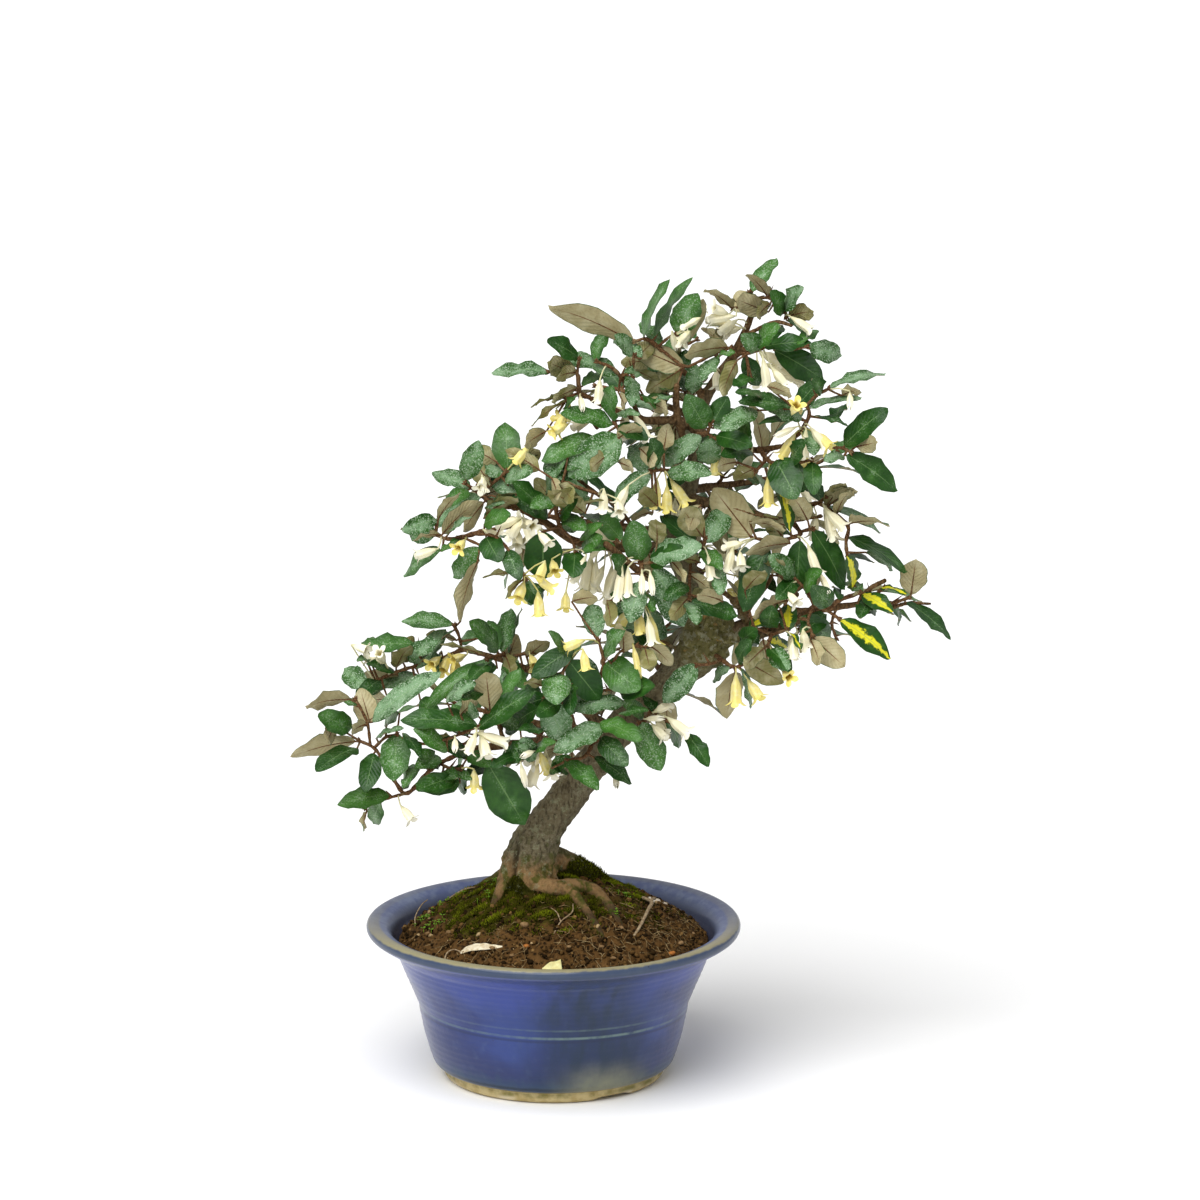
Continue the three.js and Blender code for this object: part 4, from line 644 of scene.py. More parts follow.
def laid_root(line, step):
    """A root's line laid on the soil: z = mound(x, y) + its height over the soil."""
    line = np.asarray(line, float)
    height = mound(line[:, 0], line[:, 1]) + line[:, 2]
    return curve_through(np.stack([line[:, 0], line[:, 1], height, line[:, 3]], axis=1), step)


def trunk_bodies():
    """Every limb as a tube of its own. A branch flares into its collar: over the first eighth of its length
    its radius is multiplied by 1 + 0.35 (1 - 8 s)^2."""
    bodies = [tube(drawn_limb(TRUNK, 2.0), 28)]
    bodies += [tube(laid_root(root, 1.5), 14) for root in ROOTS]
    for branch in [*BRANCHES.values(), *STUBS]:
        line = drawn_limb(branch, 1.5)
        line[:, 3] *= 1 + 0.35 * np.maximum(0, 1 - 8 * np.linspace(0, 1, len(line))) ** 2
        bodies.append(tube(line, 12))
    return bodies


def fused(piece, voxel_mm):
    """The piece's mesh grown together by a remesh of so many millimetres, then smoothed."""
    remesh = piece.modifiers.new("fused", "REMESH")
    remesh.mode = "VOXEL"
    remesh.voxel_size = voxel_mm / 1000
    remesh.use_smooth_shade = True
    smooth = piece.modifiers.new("smoothed", "SMOOTH")
    smooth.factor = 0.5
    smooth.iterations = 3
    graph = bpy.context.evaluated_depsgraph_get()
    mesh = bpy.data.meshes.new_from_object(piece.evaluated_get(graph))
    piece.modifiers.clear()
    loose = piece.data
    piece.data = mesh
    bpy.data.meshes.remove(loose)
    return mesh


def bark_finish():
    """Bark runs along each limb: brown plates between dark cracks, grey lichen above, moss at the roots."""
    bark = Finish("olive_bark", Specular_IOR_Level=0.12)
    height = bark.place("Z")
    thick = bark.attribute("thick")
    burl = bark.attribute("burl")
    patch = bark.noise(9, 4)
    fine = bark.noise(1.4, 5, 0.65)
    grain = bark.noise(0.7, 3)
    scales = (bark.attribute("ring") * 0.9 + patch * 5).wave()
    crack = bark.noise(1.5, 4, 0.6, (1, 1, 4)).rise(0.5, 0.34)
    young = bark.mixed((0.1, 0.05, 0.02), (0.22, 0.135, 0.065), fine.rise(0.35, 0.7))
    old = bark.coated(
        (0.1, 0.08, 0.042), ((0.21, 0.178, 0.108), fine.rise(0.2, 0.8)),
        ((0.27, 0.25, 0.17), patch.rise(0.5, 0.72) * grain.rise(0.35, 0.6) * 0.6))
    # The roots' own tan is painted lighter higher up, as a highlight on their tops, and near black lower
    # down, towards the soil, as shade.
    root = bark.mixed((0.04, 0.026, 0.011), (0.27, 0.155, 0.062), (height + (patch - 0.5) * 14).rise(92, 104))
    root_tone_with_painted_light = (height - patch * 16).rise(112, 100) * fine.rise(0.1, 0.5)
    green = bark.noise(6, 4).rise(0.46, 0.6) * (height - patch * 40).rise(118, 88)
    mossy = (bark.attribute("mossy") + patch * 0.5 - 0.25).rise(0.1, 0.5)
    lichen = bark.noise(4, 5, 0.7).rise(0.54, 0.63) * (height - 170).size().rise(190, 60) * thick.rise(3, 6)
    colour = bark.coated(
        young, (old, thick.rise(1.6, 4.5)), ((0.025, 0.017, 0.007), crack * 0.55), (root, root_tone_with_painted_light * 0.85),
        ((0.2, 0.185, 0.065), burl * 0.8),
        ((0.4, 0.38, 0.27), burl * bark.noise(4, 4, 0.7).rise(0.5, 0.6) * 0.85),
        ((0.06, 0.062, 0.006), burl * bark.noise(3.2, 4, 0.7).rise(0.53, 0.64) * 0.8),
        ((0.42, 0.25, 0.08), burl * bark.noise(5, 4, 0.65).rise(0.6, 0.66) * 0.8),
        # Along the cleft between the front roots a near black is painted in as shade, over the groove that
        # the relief cuts.
        ((0.045, 0.06, 0.004), green * 0.8), ((0.018, 0.013, 0.004), bark.attribute("cleft") * 0.8),
        ((0.035, 0.034, 0.002), mossy), ((0.28, 0.29, 0.17), lichen * 0.5))
    relief = fine * 0.8 - crack * 0.6 + scales * 0.05 + grain * 0.3
    return bark.wear(colour, 0.72 + fine * 0.2, relief, 0.6)


def surface_of(mesh):
    """A mesh's corners in millimetres about the pot's axis, and their normals."""
    places, normals = np.empty((2, len(mesh.vertices) * 3))
    mesh.vertices.foreach_get("co", places)
    mesh.vertices.foreach_get("normal", normals)
    return (places.reshape(-1, 3) - POT_AXIS) * 1000, normals.reshape(-1, 3)


BURL_MIDDLE = seen([710, 636, -9])
BURL_REACH = 19
CLEFT_DEPTH = 1.8
CLEFT_TOP = 128
ROOT_TOP = 108
MARK_STEP = 3.0


def bark_relief(mesh):
    """Moves each point along its normal by lumps, by knobs on the burl and inward along a cleft between the
    front roots. Marks it with its limb's radius, how far along the limb it is, the burl, cleft and moss."""
    places, normals = surface_of(mesh)
    lines = [drawn_limb(line, MARK_STEP) for line in [TRUNK, *BRANCHES.values(), *STUBS]]
    lines += [laid_root(line, MARK_STEP) for line in ROOTS]
    middle = np.concatenate(lines)
    run = np.concatenate([np.arange(len(line)) * MARK_STEP for line in lines])
    closest = np.concatenate([
        (np.linalg.norm(part[:, None] - middle[:, :3], axis=2) - middle[:, 3]).argmin(axis=1)
        for part in np.array_split(places, max(len(places) // 4000, 1))])
    thick = middle[closest, 3]
    burl = np.exp(-(np.linalg.norm(places - BURL_MIDDLE, axis=1) / BURL_REACH) ** 4)
    push = 0.045 * thick * lumps(places, 11, 21) + 0.03 * thick * lumps(places, 4.5, 22)
    push += burl * (1.3 * lumps(places, 9, 23) + 0.9 * lumps(places, 4, 24))
    x, y, z = places.T
    in_front = (y < -3) * np.clip((CLEFT_TOP - z) / 8, 0, 1)
    cleft = np.exp(-((x + 19.5 - (z - 112) * 0.12) / 1.7) ** 2) * in_front
    push -= CLEFT_DEPTH * cleft
    below = np.clip(ROOT_TOP - z, 0, 30)
    front_moss = np.clip(2 - 2 * ((x + 19 - below * 0.2) / (2 + below * 0.75)) ** 2, 0, 1)
    front_moss *= (y < -3) * (below > 0)
    rear_moss = np.clip((x - 3) / 5, 0, 1) * np.clip((y + 1) / 4, 0, 1) * np.clip((112 - z) / 4, 0, 1) * 0.9
    moved = places + normals * np.clip(push, -1.6, 2.2)[:, None]
    mesh.vertices.foreach_set("co", in_frame(moved).ravel().astype(np.float32))
    marks = {"thick": thick, "ring": run[closest], "burl": burl, "cleft": cleft,
             "mossy": np.maximum(front_moss, rear_moss)}
    for mark, numbers in marks.items():
        mesh.attributes.new(mark, "FLOAT", "POINT").data.foreach_set("value", numbers.astype(np.float32))
    mesh.update()


trunk_points, trunk_faces = joined(trunk_bodies())
trunk_piece = add_piece("barked_trunk", trunk_points, trunk_faces, [bark_finish()], "bark", ["trunk"])
trunk_mesh = fused(trunk_piece, 0.85)
bark_relief(trunk_mesh)

# The shoots: each spray is a rusty-brown scaly twig with side twigs, a few thorns, and leathery leaves on
# short stalks. It springs from a branch or the trunk.

# A twig is drawn as a line: "across down back" for its first point, then the step to each next one. A leaf is
# drawn as "face across down step-across step-down breadth": its base, the step from there to its tip, and how
# broad it looks. The face letter is what it turns to the front: G green, D dark and S silvery upper face,
# V variegated upper face, T tan and O olive underside.
SPRAYS = {
    "low_left_tip": ("""
    470 749 -27, -36 18 -1, -26 26 0, -12 -10 -1, -12 -21 -1, -10 -14 -1, -14 -7 -1
    371 745 -31, -4 -23 -3, -11 -22 -2; 408 793 -28, -16 4 -4, -16 5 -3, -10 5 -2
    440 764 -28, 10 4 -7, 10 1 -4; 430 769 -28, -10 -5 -7; 374 748 -31, 12 -11 -3, 10 -2 -2""", """
    T 356 741 -66 16 16, D 357 748 -41 24 16, G 352 728 -34 -14 21, T 370 723 -10 -35 22
    T 350 699 -45 7 14, S 372 722 69 -50 18, D 374 753 -9 39 20, G 397 734 -4 47 27
    D 456 778 -40 12 18, G 440 766 -24 -14 14, D 463 768 -2 25 14"""),
    "far_left": ("""
    478 653 16, -16 -3 -4, -14 6 -3, -23 8 -4, -23 6 -3, -30 12 -2; 425 664 5, -9 -12 -4, -12 -4 -2
    462 650 12, -3 -14 -3, -4 -10 -3""", """
    S 366 688 -22 -20 20, G 416 645 -55 2 15, O 402 662 11 -26 14, S 440 660 -35 -5 16
    G 453 625 -52 -4 15, D 380 680 -24 20 14"""),
    "left_pad_top": ("""
    510 662 7, -2 -5 -10, -8 -2 -8, -12 3 -5; 508 657 -3, 12 -2 -6, 12 -3 -3""", """
    G 497 652 -9 -32 18, G 503 652 8 -44 17, G 494 658 -73 56 14, D 488 664 -18 16 14
    T 527 657 21 -16 14, G 505 660 19 30 15"""),
    "left_pad_front": ("""
    500 727 -41, -5 -11 -7, -8 -4 -4; 495 716 -48, -19 11 -4, -26 11 -1, -26 6 1, -18 -7 2""", """
    T 490 710 -4 -38 26, G 498 712 22 -44 14, D 478 729 58 -38 20, D 478 725 -78 -5 20
    G 448 751 -35 -22 15, G 470 732 -18 -28 16, D 440 742 28 14 15"""),
    "left_pad_under": ("""
    490 747 -29, -3 9 -10, 7 4 -6, 18 -3 -3, 18 -3 -1""", """
    D 488 764 37 61 38, S 530 757 -8 -19 17"""),
    "pad_middle": ("""
    571 716 -37, -4 -11 -8, -5 -15 -3, 1 -18 0, 9 -16 2; 567 705 -45, -14 -5 -4, -7 -1 -2""", """
    D 574 648 -43 29 20, G 556 673 0 32 26, S 546 701 19 39 28, D 568 660 32 40 28, D 570 680 5 34 14
    S 573 710 53 -8 16, D 548 697 -27 9 18"""),
    "pad_lower": ("""
    592 731 -22, 0 13 -12, -8 13 -8, -16 3 -4; 592 744 -34, 8 -9 -10, 4 -9 -4""", """
    S 606 726 -53 26 20, G 600 722 42 18 17, G 565 760 34 30 16, D 594 757 38 27 14
    D 600 738 28 28 20, G 572 758 -24 14 13"""),
    "pad_right": ("""
    585 708 -18, 7 -16 -12, 10 -20 -10, 1 -14 -4, -4 -16 -1; 602 672 -40, 10 -8 -5, 8 -12 -1, 16 -6 2
    592 692 -30, 16 -2 -10, 10 0 -4""", """
    G 605 663 35 27 30, G 620 690 33 -7 18, S 598 637 -8 -34 20, O 640 647 10 25 16
    D 598 690 -18 -22 16, G 604 656 22 -28 14"""),
    "trunk_front": ("""
    650 702 -6, 0 9 -10, -3 8 -8, -7 3 -4; 650 711 -16, 14 8 -8, 20 13 -6""", """
    G 640 722 21 49 26, D 666 722 15 24 14, G 644 716 -22 -14 14"""),
    "burl_front": ("""
    714 654 -8, 8 6 -10, 12 7 -7, 10 -3 -4; 722 660 -18, -12 4 -9, -12 1 -3""", """
    T 735 672 -8 47 23, O 745 661 39 22 22, S 697 664 -34 39 22, D 738 662 14 -22 13"""),
    "left_arm_end": ("""
    480 532 -30, -18 5 -3, -14 2 -2, -12 -4 -1; 480 532 -30, 0 13 -7
    472 534 -31, 24 3 -10, 18 21 -6, 12 20 -1""", """
    S 436 535 -28 -9 24, T 442 534 36 -34 14, G 480 548 -27 30 18, D 486 537 14 25 22
    D 507 550 13 30 17, S 530 580 1 26 20"""),
    "left_arm_top": ("""
    486 499 -11, -10 -8 -5, -10 -7 -3; 480 494 -14, 12 -10 -4, 14 -12 -2
    484 497 -13, 12 9 -7, 16 2 -3""", """
    S 470 489 -38 -17 16, S 466 480 13 -40 20, O 488 482 -18 -30 22, G 508 470 -3 -48 26
    S 504 474 -18 -12 18, S 505 480 28 -10 14, D 512 490 33 28 18, G 468 490 -22 16 14"""),
    "left_arm_middle": ("""
    566 536 -16, -6 -9 -9, -4 -19 -6, 6 -24 -3, 18 4 0, 20 7 1; 560 527 -25, -10 3 -7, -6 1 -3
    560 527 -25, 12 13 -4, 3 10 -2""", """
    D 543 531 0 49 34, D 575 552 -2 26 22, O 556 505 -21 -27 18, D 560 486 15 -28 16
    O 561 510 19 -14 13, G 555 500 -25 8 14, S 562 480 -17 -18 15"""),
    "centre_front": ("""
    641 557 -22, 0 7 -7, 1 14 -4, -2 22 -1; 641 560 -26, -11 -11 -6, -12 -7 -2; 641 564 -29, 14 -2 -5""", """
    G 640 561 -7 -41 25, S 655 566 29 61 28, S 638 582 -8 41 22, S 650 558 52 -13 22
    G 622 540 -22 -25 18"""),
    "centre_high": ("""
    690 474 -1, -14 -2 -13, -12 -2 -10, -12 1 -6""", """
    S 661 468 -33 -21 26, S 666 473 46 1 17, S 652 472 -39 31 18, D 656 467 -6 -29 16"""),
    "crown_front": ("""
    697 434 -1, 5 0 -13, 5 -1 -12, 3 -7 -6; 707 433 -26, 11 7 -5""", """
    G 706 428 -20 -34 24, S 702 436 -40 30 18, S 710 438 -2 27 22, D 716 436 37 10 18
    S 713 428 44 -15 17, D 713 422 15 -26 18"""),
    "right_centre": ("""
    680 550 -2, 12 -2 -14, 11 -2 -12, 2 -7 -5; 692 548 -16, -2 24 -12, -1 26 -6""", """
    S 705 543 23 -36 22, D 697 551 -35 -33 13, G 702 549 20 21 15, O 702 536 -20 -28 24
    D 690 602 48 14 18, S 688 602 9 23 13, D 688 585 -24 15 14, O 689 597 -19 23 15"""),
    "right_hub": ("""
    790 519 -10, 10 13 -8, -3 4 -6, -21 5 0, -23 -3 2; 800 532 -18, 12 -3 -8""", """
    T 751 537 -38 -49 34, D 800 540 -2 52 22, D 812 530 33 60 22, D 768 545 -25 67 25
    O 782 536 -18 -22 16"""),
    "right_end": ("""
    807 509 -7, 11 -6 -5, 14 9 -6, 16 14 -3, -2 16 -2, 2 18 -1, 5 24 -2; 818 503 -12, 8 -6 -5""", """
    S 826 506 56 27 8, T 850 523 39 2 7, D 847 537 61 35 12, V 853 588 -6 -32 13
    D 822 503 -16 -23 13"""),
    "right_tip": ("""
    878 602 -12, 14 1 -2, 16 -5 -2; 884 602 -13, -12 -5 -5, -10 -4 -2; 872 597 -18, 12 -9 -4""", """
    T 911 595 5 -36 25, D 906 602 45 38 12, D 870 600 -10 18 14"""),
    "right_low": ("""
    808 614 -17, 6 -8 -7, 12 4 -5, 12 8 -2; 814 606 -24, -6 14 -6, 4 14 -3
    814 606 -24, -8 -16 -1, -16 -16 3""", """
    V 840 620 51 39 20, T 813 638 32 29 24, D 830 606 -18 -21 20, D 800 617 31 21 22
    S 795 576 -27 -20 18, D 794 580 -18 20 16, G 804 590 18 -20 14"""),
    "right_under": ("""
    768 632 -14, 3 3 -10, -3 10 -5; 771 635 -24, 15 -5 -6; 771 635 -24, -17 -8 -4""", """
    D 768 628 4 -23 18, D 752 627 -4 21 18, D 768 648 23 24 14, O 764 648 -20 20 15"""),
    "high_left_front": ("""
    616 412 -13, -2 9 -9, 6 11 -6""", """
    G 613 424 -53 -11 16, S 621 436 -53 41 34, D 618 425 30 15 15"""),
    "high_left_end": ("""
    592 399 -10, -12 -7 -3, -3 -18 -3, -15 -2 -2, -13 0 -1; 577 374 -16, 2 -14 -3
    580 392 -13, -13 6 -5""", """
    O 576 374 -29 -12 20, S 549 372 -58 1 13, D 578 358 -31 -18 16"""),
    "high_left_top": ("""
    626 385 -4, -5 -8 -5, -9 -9 -3, -14 -6 -2; 621 377 -9, 11 -7 -4, 2 -14 -2""", """
    S 619 375 -56 -18 15, G 596 361 10 -32 13, S 633 354 -19 -19 14, S 630 376 2 31 14
    O 636 358 19 -18 16"""),
    "top_left_end": ("""
    668 359 1, -10 -12 -3, -12 -8 -3, -10 2 -2; 658 347 -2, 10 -9 -4, 7 -3 -2
    668 359 1, 16 7 -9, 14 -4 -5, 16 -8 -2, 16 -6 0""", """
    G 643 338 27 -59 9, G 655 337 38 -60 10, G 676 333 22 -40 25, T 634 342 -86 -37 22
    T 684 368 -54 -23 24, T 728 347 -44 8 16, S 696 364 -4 30 16, O 680 370 -34 22 20
    G 660 345 -20 -23 13"""),
    "apex": ("""
    754 306 0, -1 -7 -4, -3 -6 -2; 753 299 -4, -11 7 -4, -8 2 -2
    753 299 -4, 15 -1 -4, 16 8 -2, 2 10 -2""", """
    T 748 310 -10 -19 24, G 752 292 25 -34 14, T 767 295 -20 -21 10, T 732 308 -27 -19 9
    G 781 312 -12 -23 9, S 784 310 20 -23 14, O 788 316 26 -5 16"""),
    "top_right_end": ("""
    765 338 -10, 5 7 -8, 18 4 -6, 18 -2 -3; 770 345 -18, -13 6 -6, -11 3 -2""", """
    S 808 346 34 10 20, D 774 350 50 30 25, G 762 349 -21 -15 18, D 764 341 19 -16 14
    D 744 356 15 30 17"""),
    "right_high_end": ("""
    785 445 -21, 15 -13 -5, 9 -16 -3, -3 -10 -3, -11 2 -3; 806 406 -32, 10 -10 -3, 12 -7 -2
    792 439 -24, 24 7 -6, 26 2 -3, 8 4 -2""", """
    S 802 418 -34 -8 14, S 829 388 57 -15 9, D 796 407 21 -24 18, D 792 407 -54 -6 14
    D 844 446 44 -38 21, T 856 447 22 -5 16, D 846 455 52 36 22"""),
    "right_high_front": ("""
    760 450 -17, 7 9 -9, 7 4 -5, 18 1 -3, 18 -4 -1; 767 459 -26, -10 11 -5""", """
    D 776 460 21 39 30, D 812 462 2 33 17, D 792 462 14 -22 14, O 756 468 -22 12 14"""),
    # Sprays behind the tree bear so many leaves by rule, each two fifths of a turn after the last.
    "back_low_left_spray": ("""
    518 720 41, -28 -8 7, -28 -6 4, -22 -12 2; 490 712 48, -10 20 8, -16 12 4
    505 716 45, 5 -16 11, -5 -16 8""", 10),
    "back_left_spray": ("""
    563 520 41, -27 -8 5, -28 -10 4, -22 -10 2; 536 512 46, -6 18 10, -10 16 6
    548 516 44, 12 -20 12, 2 -18 6""", 9),
    "back_right_spray": ("""
    820 610 43, 20 -10 5, 22 -8 3, 22 -4 1; 840 600 48, -8 22 8, 4 16 4
    828 606 45, -14 -18 11, -8 -16 6""", 9),
    "back_right_high_spray": ("""
    754 482 35, 28 -8 9, 30 -8 6, 24 -14 2; 782 474 44, 8 18 10, 2 18 6
    768 478 40, -4 -22 10, 4 -20 6""", 9),
    "back_high_spray": ("""
    643 398 33, -23 -8 7, -24 -4 4; 620 390 40, 20 -18 8, 24 -16 2, 32 -16 -2
    640 372 48, 24 14 6, 26 6 2""", 9),
    "back_low_spray": ("""
    655 664 46, -15 -14 10, -18 -10 6; 640 650 56, 20 -18 6, 16 -14 2""", 7),
    "back_middle_spray": ("""
    702 572 46, 14 -10 10, 18 -10 6; 716 562 56, -16 -22 6, -16 -18 2""", 7),
}

# Leaves that stand between and behind the others, each on the twig nearest to its base. The ones that show
# no broader than EDGE_ON are narrow leaves.
MORE_LEAVES = """
    S 376 738 28 -10 9, G 357 706 -27 -10 10, T 366 724 -15 8 12, G 390 795 -53 10 18
    G 381 802 -8 22 16, T 366 812 -2 19 8, G 419 765 -16 23 11, G 446 770 26 10 12
    D 395 672 -29 -8 12, T 398 674 -40 12 14, S 419 676 -58 19 14, T 460 621 19 -63 12
    S 453 630 -37 38 8, O 457 640 -31 -6 10, G 509 654 12 -47 10, T 507 662 10 -28 18
    O 484 655 -44 -11 8, D 403 733 18 25 12, G 492 765 -29 -8 10, D 520 754 -30 14 12
    G 532 752 24 -10 12, G 565 655 -17 -24 12, T 622 647 -22 17 7, D 686 733 23 34 15
    D 656 714 -16 -24 12, S 741 668 10 41 12, S 730 668 -18 13 12, G 441 550 -38 26 14
    T 440 534 -27 6 8, S 447 535 25 -19 8, G 462 540 -21 12 9, O 520 572 -38 6 7, O 522 580 -17 19 9
    O 488 508 31 -16 10, T 484 495 29 -7 10, G 488 512 24 12 11, O 510 468 30 -18 12
    G 580 540 22 -16 12, G 615 545 -32 5 12, T 645 575 19 21 12, D 720 443 30 13 12
    T 690 575 22 17 12, T 790 526 -41 -4 10, S 793 535 -43 -4 8, T 790 543 -45 10 14
    T 824 497 34 -6 12, D 846 556 29 6 9, T 836 515 14 -25 12, D 893 603 6 23 9, V 862 594 31 18 15
    V 880 588 27 6 8, G 862 592 -16 -10 12, V 788 631 0 -27 17, V 750 628 31 -16 14
    V 768 640 21 10 13, V 788 632 13 18 9, G 612 420 1 -35 14, O 578 388 -27 14 12
    O 564 396 -34 11 7, O 568 400 -38 26 9, G 582 386 24 -14 12, O 634 370 26 14 12
    T 712 352 14 -28 12, D 787 320 25 18 12, G 798 345 20 -15 12, S 808 408 54 -11 12
    D 814 416 34 10 9, S 808 428 6 28 14, S 844 456 -20 5 12, S 755 474 12 24 9, T 768 312 -32 -13 20
    O 770 303 -13 15 12, D 764 347 48 -4 14, D 752 378 -19 8 12, D 765 397 -30 -5 10
    D 727 400 -11 17 17, S 757 410 -37 20 17, D 800 419 -43 5 10, T 722 345 -21 -17 10
    G 716 358 19 -6 8, G 751 312 17 -11 14, G 757 345 23 -20 15, T 750 521 36 9 12
    V 770 462 20 70 14, D 781 458 23 34 23, G 597 438 -56 23 19, S 567 457 -24 37 13
    S 516 494 -27 -25 21, G 484 524 27 -10 15, S 485 508 20 -5 9, D 546 506 15 -9 13
    T 552 478 6 22 11, O 558 484 16 18 15, D 560 518 18 -20 14, O 574 509 30 -9 8, S 560 530 26 -9 14
    T 477 562 -18 60 13, S 428 528 -28 1 7, T 438 519 22 -27 12, D 640 394 16 15 9, S 673 396 -19 7 8
    T 648 402 21 10 13, S 612 416 28 -2 10, O 657 506 -17 -16 17, T 653 512 -22 8 10
    O 657 544 -1 -25 17, D 664 515 34 42 13, D 752 452 -31 4 13, D 626 574 -15 -18 14
    T 723 601 -26 -7 15, S 716 566 4 29 15, O 700 562 -28 -4 11, T 671 560 15 22 11
    D 497 668 -26 7 15, S 479 717 -24 -13 17, S 446 700 30 -16 13, D 539 708 -34 25 17
    D 523 672 -18 25 17, D 572 684 -1 31 13, S 536 758 -17 -13 16, D 460 783 -45 2 20
    G 420 768 -19 19 13, G 440 757 -25 11 15, G 441 774 16 4 13, D 463 765 -2 26 13
    D 467 776 25 -12 13, S 407 658 31 -17 15, O 396 668 14 -23 14, D 441 651 -3 24 8
    T 786 600 -34 17 13, D 779 607 -16 8 13, S 757 629 -15 12 17, S 771 651 19 18 18
    T 811 640 9 25 13, D 839 600 -5 -14 10, D 857 606 20 5 13, T 877 608 17 6 9, T 389 700 -25 1 13
    G 361 645 24 -4 9, G 371 660 -14 1 8, D 621 694 34 -8 17, D 552 768 15 3 12, D 618 715 31 -5 10
    O 577 372 -20 5 13, S 641 358 -27 -20 13, O 651 361 -30 1 18, S 641 375 -17 -3 10
    D 565 408 10 -9 9, D 748 380 -7 16 12, T 790 505 10 15 16, O 690 600 26 -10 13
    T 842 395 18 -5 12, O 520 468 21 -16 15, O 497 462 -26 -13 15, S 481 497 -47 29 17
    T 478 482 18 10 13, O 487 513 31 -15 13, G 484 518 27 -4 13, S 436 519 -34 12 17
    D 524 585 19 16 18, G 563 517 23 14 14, G 582 549 21 -12 15, D 650 566 33 -20 17
    O 585 513 -37 -23 19, D 548 518 -36 -36 17, O 540 470 -35 -20 14, S 415 669 31 -40 18
    G 498 651 -29 -30 17, G 532 678 50 -32 19, D 500 762 37 -18 17, G 468 756 24 10 14
    T 335 727 -8 15 13, G 783 314 -13 -23 14, D 822 392 -10 -13 13, D 836 419 6 -14 13
    O 826 506 20 -23 15, T 830 504 24 -13 13, T 808 521 -15 -25 18, D 800 634 27 -20 18
    T 651 646 21 19 15, O 645 648 5 21 17, D 600 742 23 25 17, D 742 640 15 -12 16
    D 560 700 -24 16 17, O 612 452 -22 18 14, D 686 470 -18 20 15, T 640 448 15 18 14
    G 566 470 24 -15 15, O 745 590 20 -20 16, T 700 505 -12 25 15, D 420 700 20 16 16
    T 460 715 18 -15 14, O 430 735 22 13 13, G 520 730 -20 -14 15, D 480 690 -18 10 14
    T 590 690 17 16 13, D 630 600 -17 -10 15, G 700 450 22 -12 15, D 640 430 -18 11 15
    T 484 502 -21 30 14, T 664 448 4 -24 16, O 737 360 -15 36 14, T 572 601 25 -4 14
    O 607 601 4 25 13, T 546 431 -22 15 14, S 717 357 -15 24 13, T 768 386 24 10 12
    D 544 731 -26 -1 11, S 866 552 27 19 10, T 737 462 -20 5 14, G 479 638 -19 2 13
    S 399 713 -15 13 12, O 543 686 -19 -4 11, G 749 420 -5 17 13, T 618 462 16 8 12
    T 619 393 6 17 10, G 649 594 3 18 10, T 624 652 -4 -29 15, T 618 438 24 -12 14
    O 764 574 19 -14 14, O 806 594 14 -15 14, O 505 654 8 27 13, T 691 583 -23 13 13"""
EDGE_ON = 12
LEAF_LENGTH = (22, 33)
LEAF_BREADTH = 0.4
LEAF_WAVE = 0.8
LEAF_ARCH = 0.22
LEAF_TROUGH = 0.12
LEAF_TURN = np.radians(144)
LEAF_SKIN = 0.55
LEAF_STALK = 3
# How many millimetres a drawn leaf may lean to the front or back, and how often it leans to the front.
LEAN_MOST = 16
LEAN_FRONT = 0.62
TWIG_RADIUS = 1.3
SIDE_TWIG_RADIUS = 0.8
# The leans that a leaf may have taken to keep clear of the others, as shares of the lean its length gives.
LEANS = (1, 0.6, 1.4, -1, 0.2, -0.6, 1.8, -1.4, 2.2, -1.8)
# How light, how silvery, how gold and how olive each kind of face is.
LOOK_MARKS = ("light", "silver", "gold", "olive")
# The dark face D and the olive face O are darker copies of the green and the tan: partly the leaves' own
# tone, partly painted shade for leaves that lie in shade.
LEAF_LOOKS = {
    "G": (0.7, 0.35, 0, 0.3), "D": (0.15, 0.15, 0, 0.5), "S": (0.5, 0.85, 0, 0.3), "V": (0.2, 0.1, 1, 0.5),
    "T": (0.5, 0.5, 0, 0), "O": (0.35, 0.4, 0, 1),
}


def entries(text):
    """The entries of a drawing as lists of words: a comma or a row's end parts two entries."""
    return [entry.split() for entry in text.replace("\n", ",").split(",") if entry.strip()]


def drawn_leaves(text):
    """Leaves from their text, each a face and five numbers."""
    return [(face, *map(float, numbers)) for face, *numbers in entries(text)]


def drawn_twigs(text):
    """Twigs from their text: each point is the one before plus its step."""
    return [np.cumsum(line, axis=0) for line in drawn_lines(text)]


def full_length(seed):
    """A leaf's real length, drawn from the range of lengths."""
    return LEAF_LENGTH[0] + (LEAF_LENGTH[1] - LEAF_LENGTH[0]) * draw(seed, 1)


def draw(leaf, question):
    """A number from 0 to 1, always the same for a leaf and a question: the fraction of a large sine."""
    wave = np.sin(leaf * 12.9898 + question * 78.233) * 43758.5453
    return wave - np.floor(wave)


def unit(vectors):
    """Vectors divided by their lengths."""
    return vectors / (np.linalg.norm(vectors, axis=-1, keepdims=True) + 1e-12)


def squared(vectors, along):
    """Vectors made square to unit directions, at unit length: v - a (v . a)."""
    return unit(vectors - along * (vectors * along).sum(axis=-1, keepdims=True))


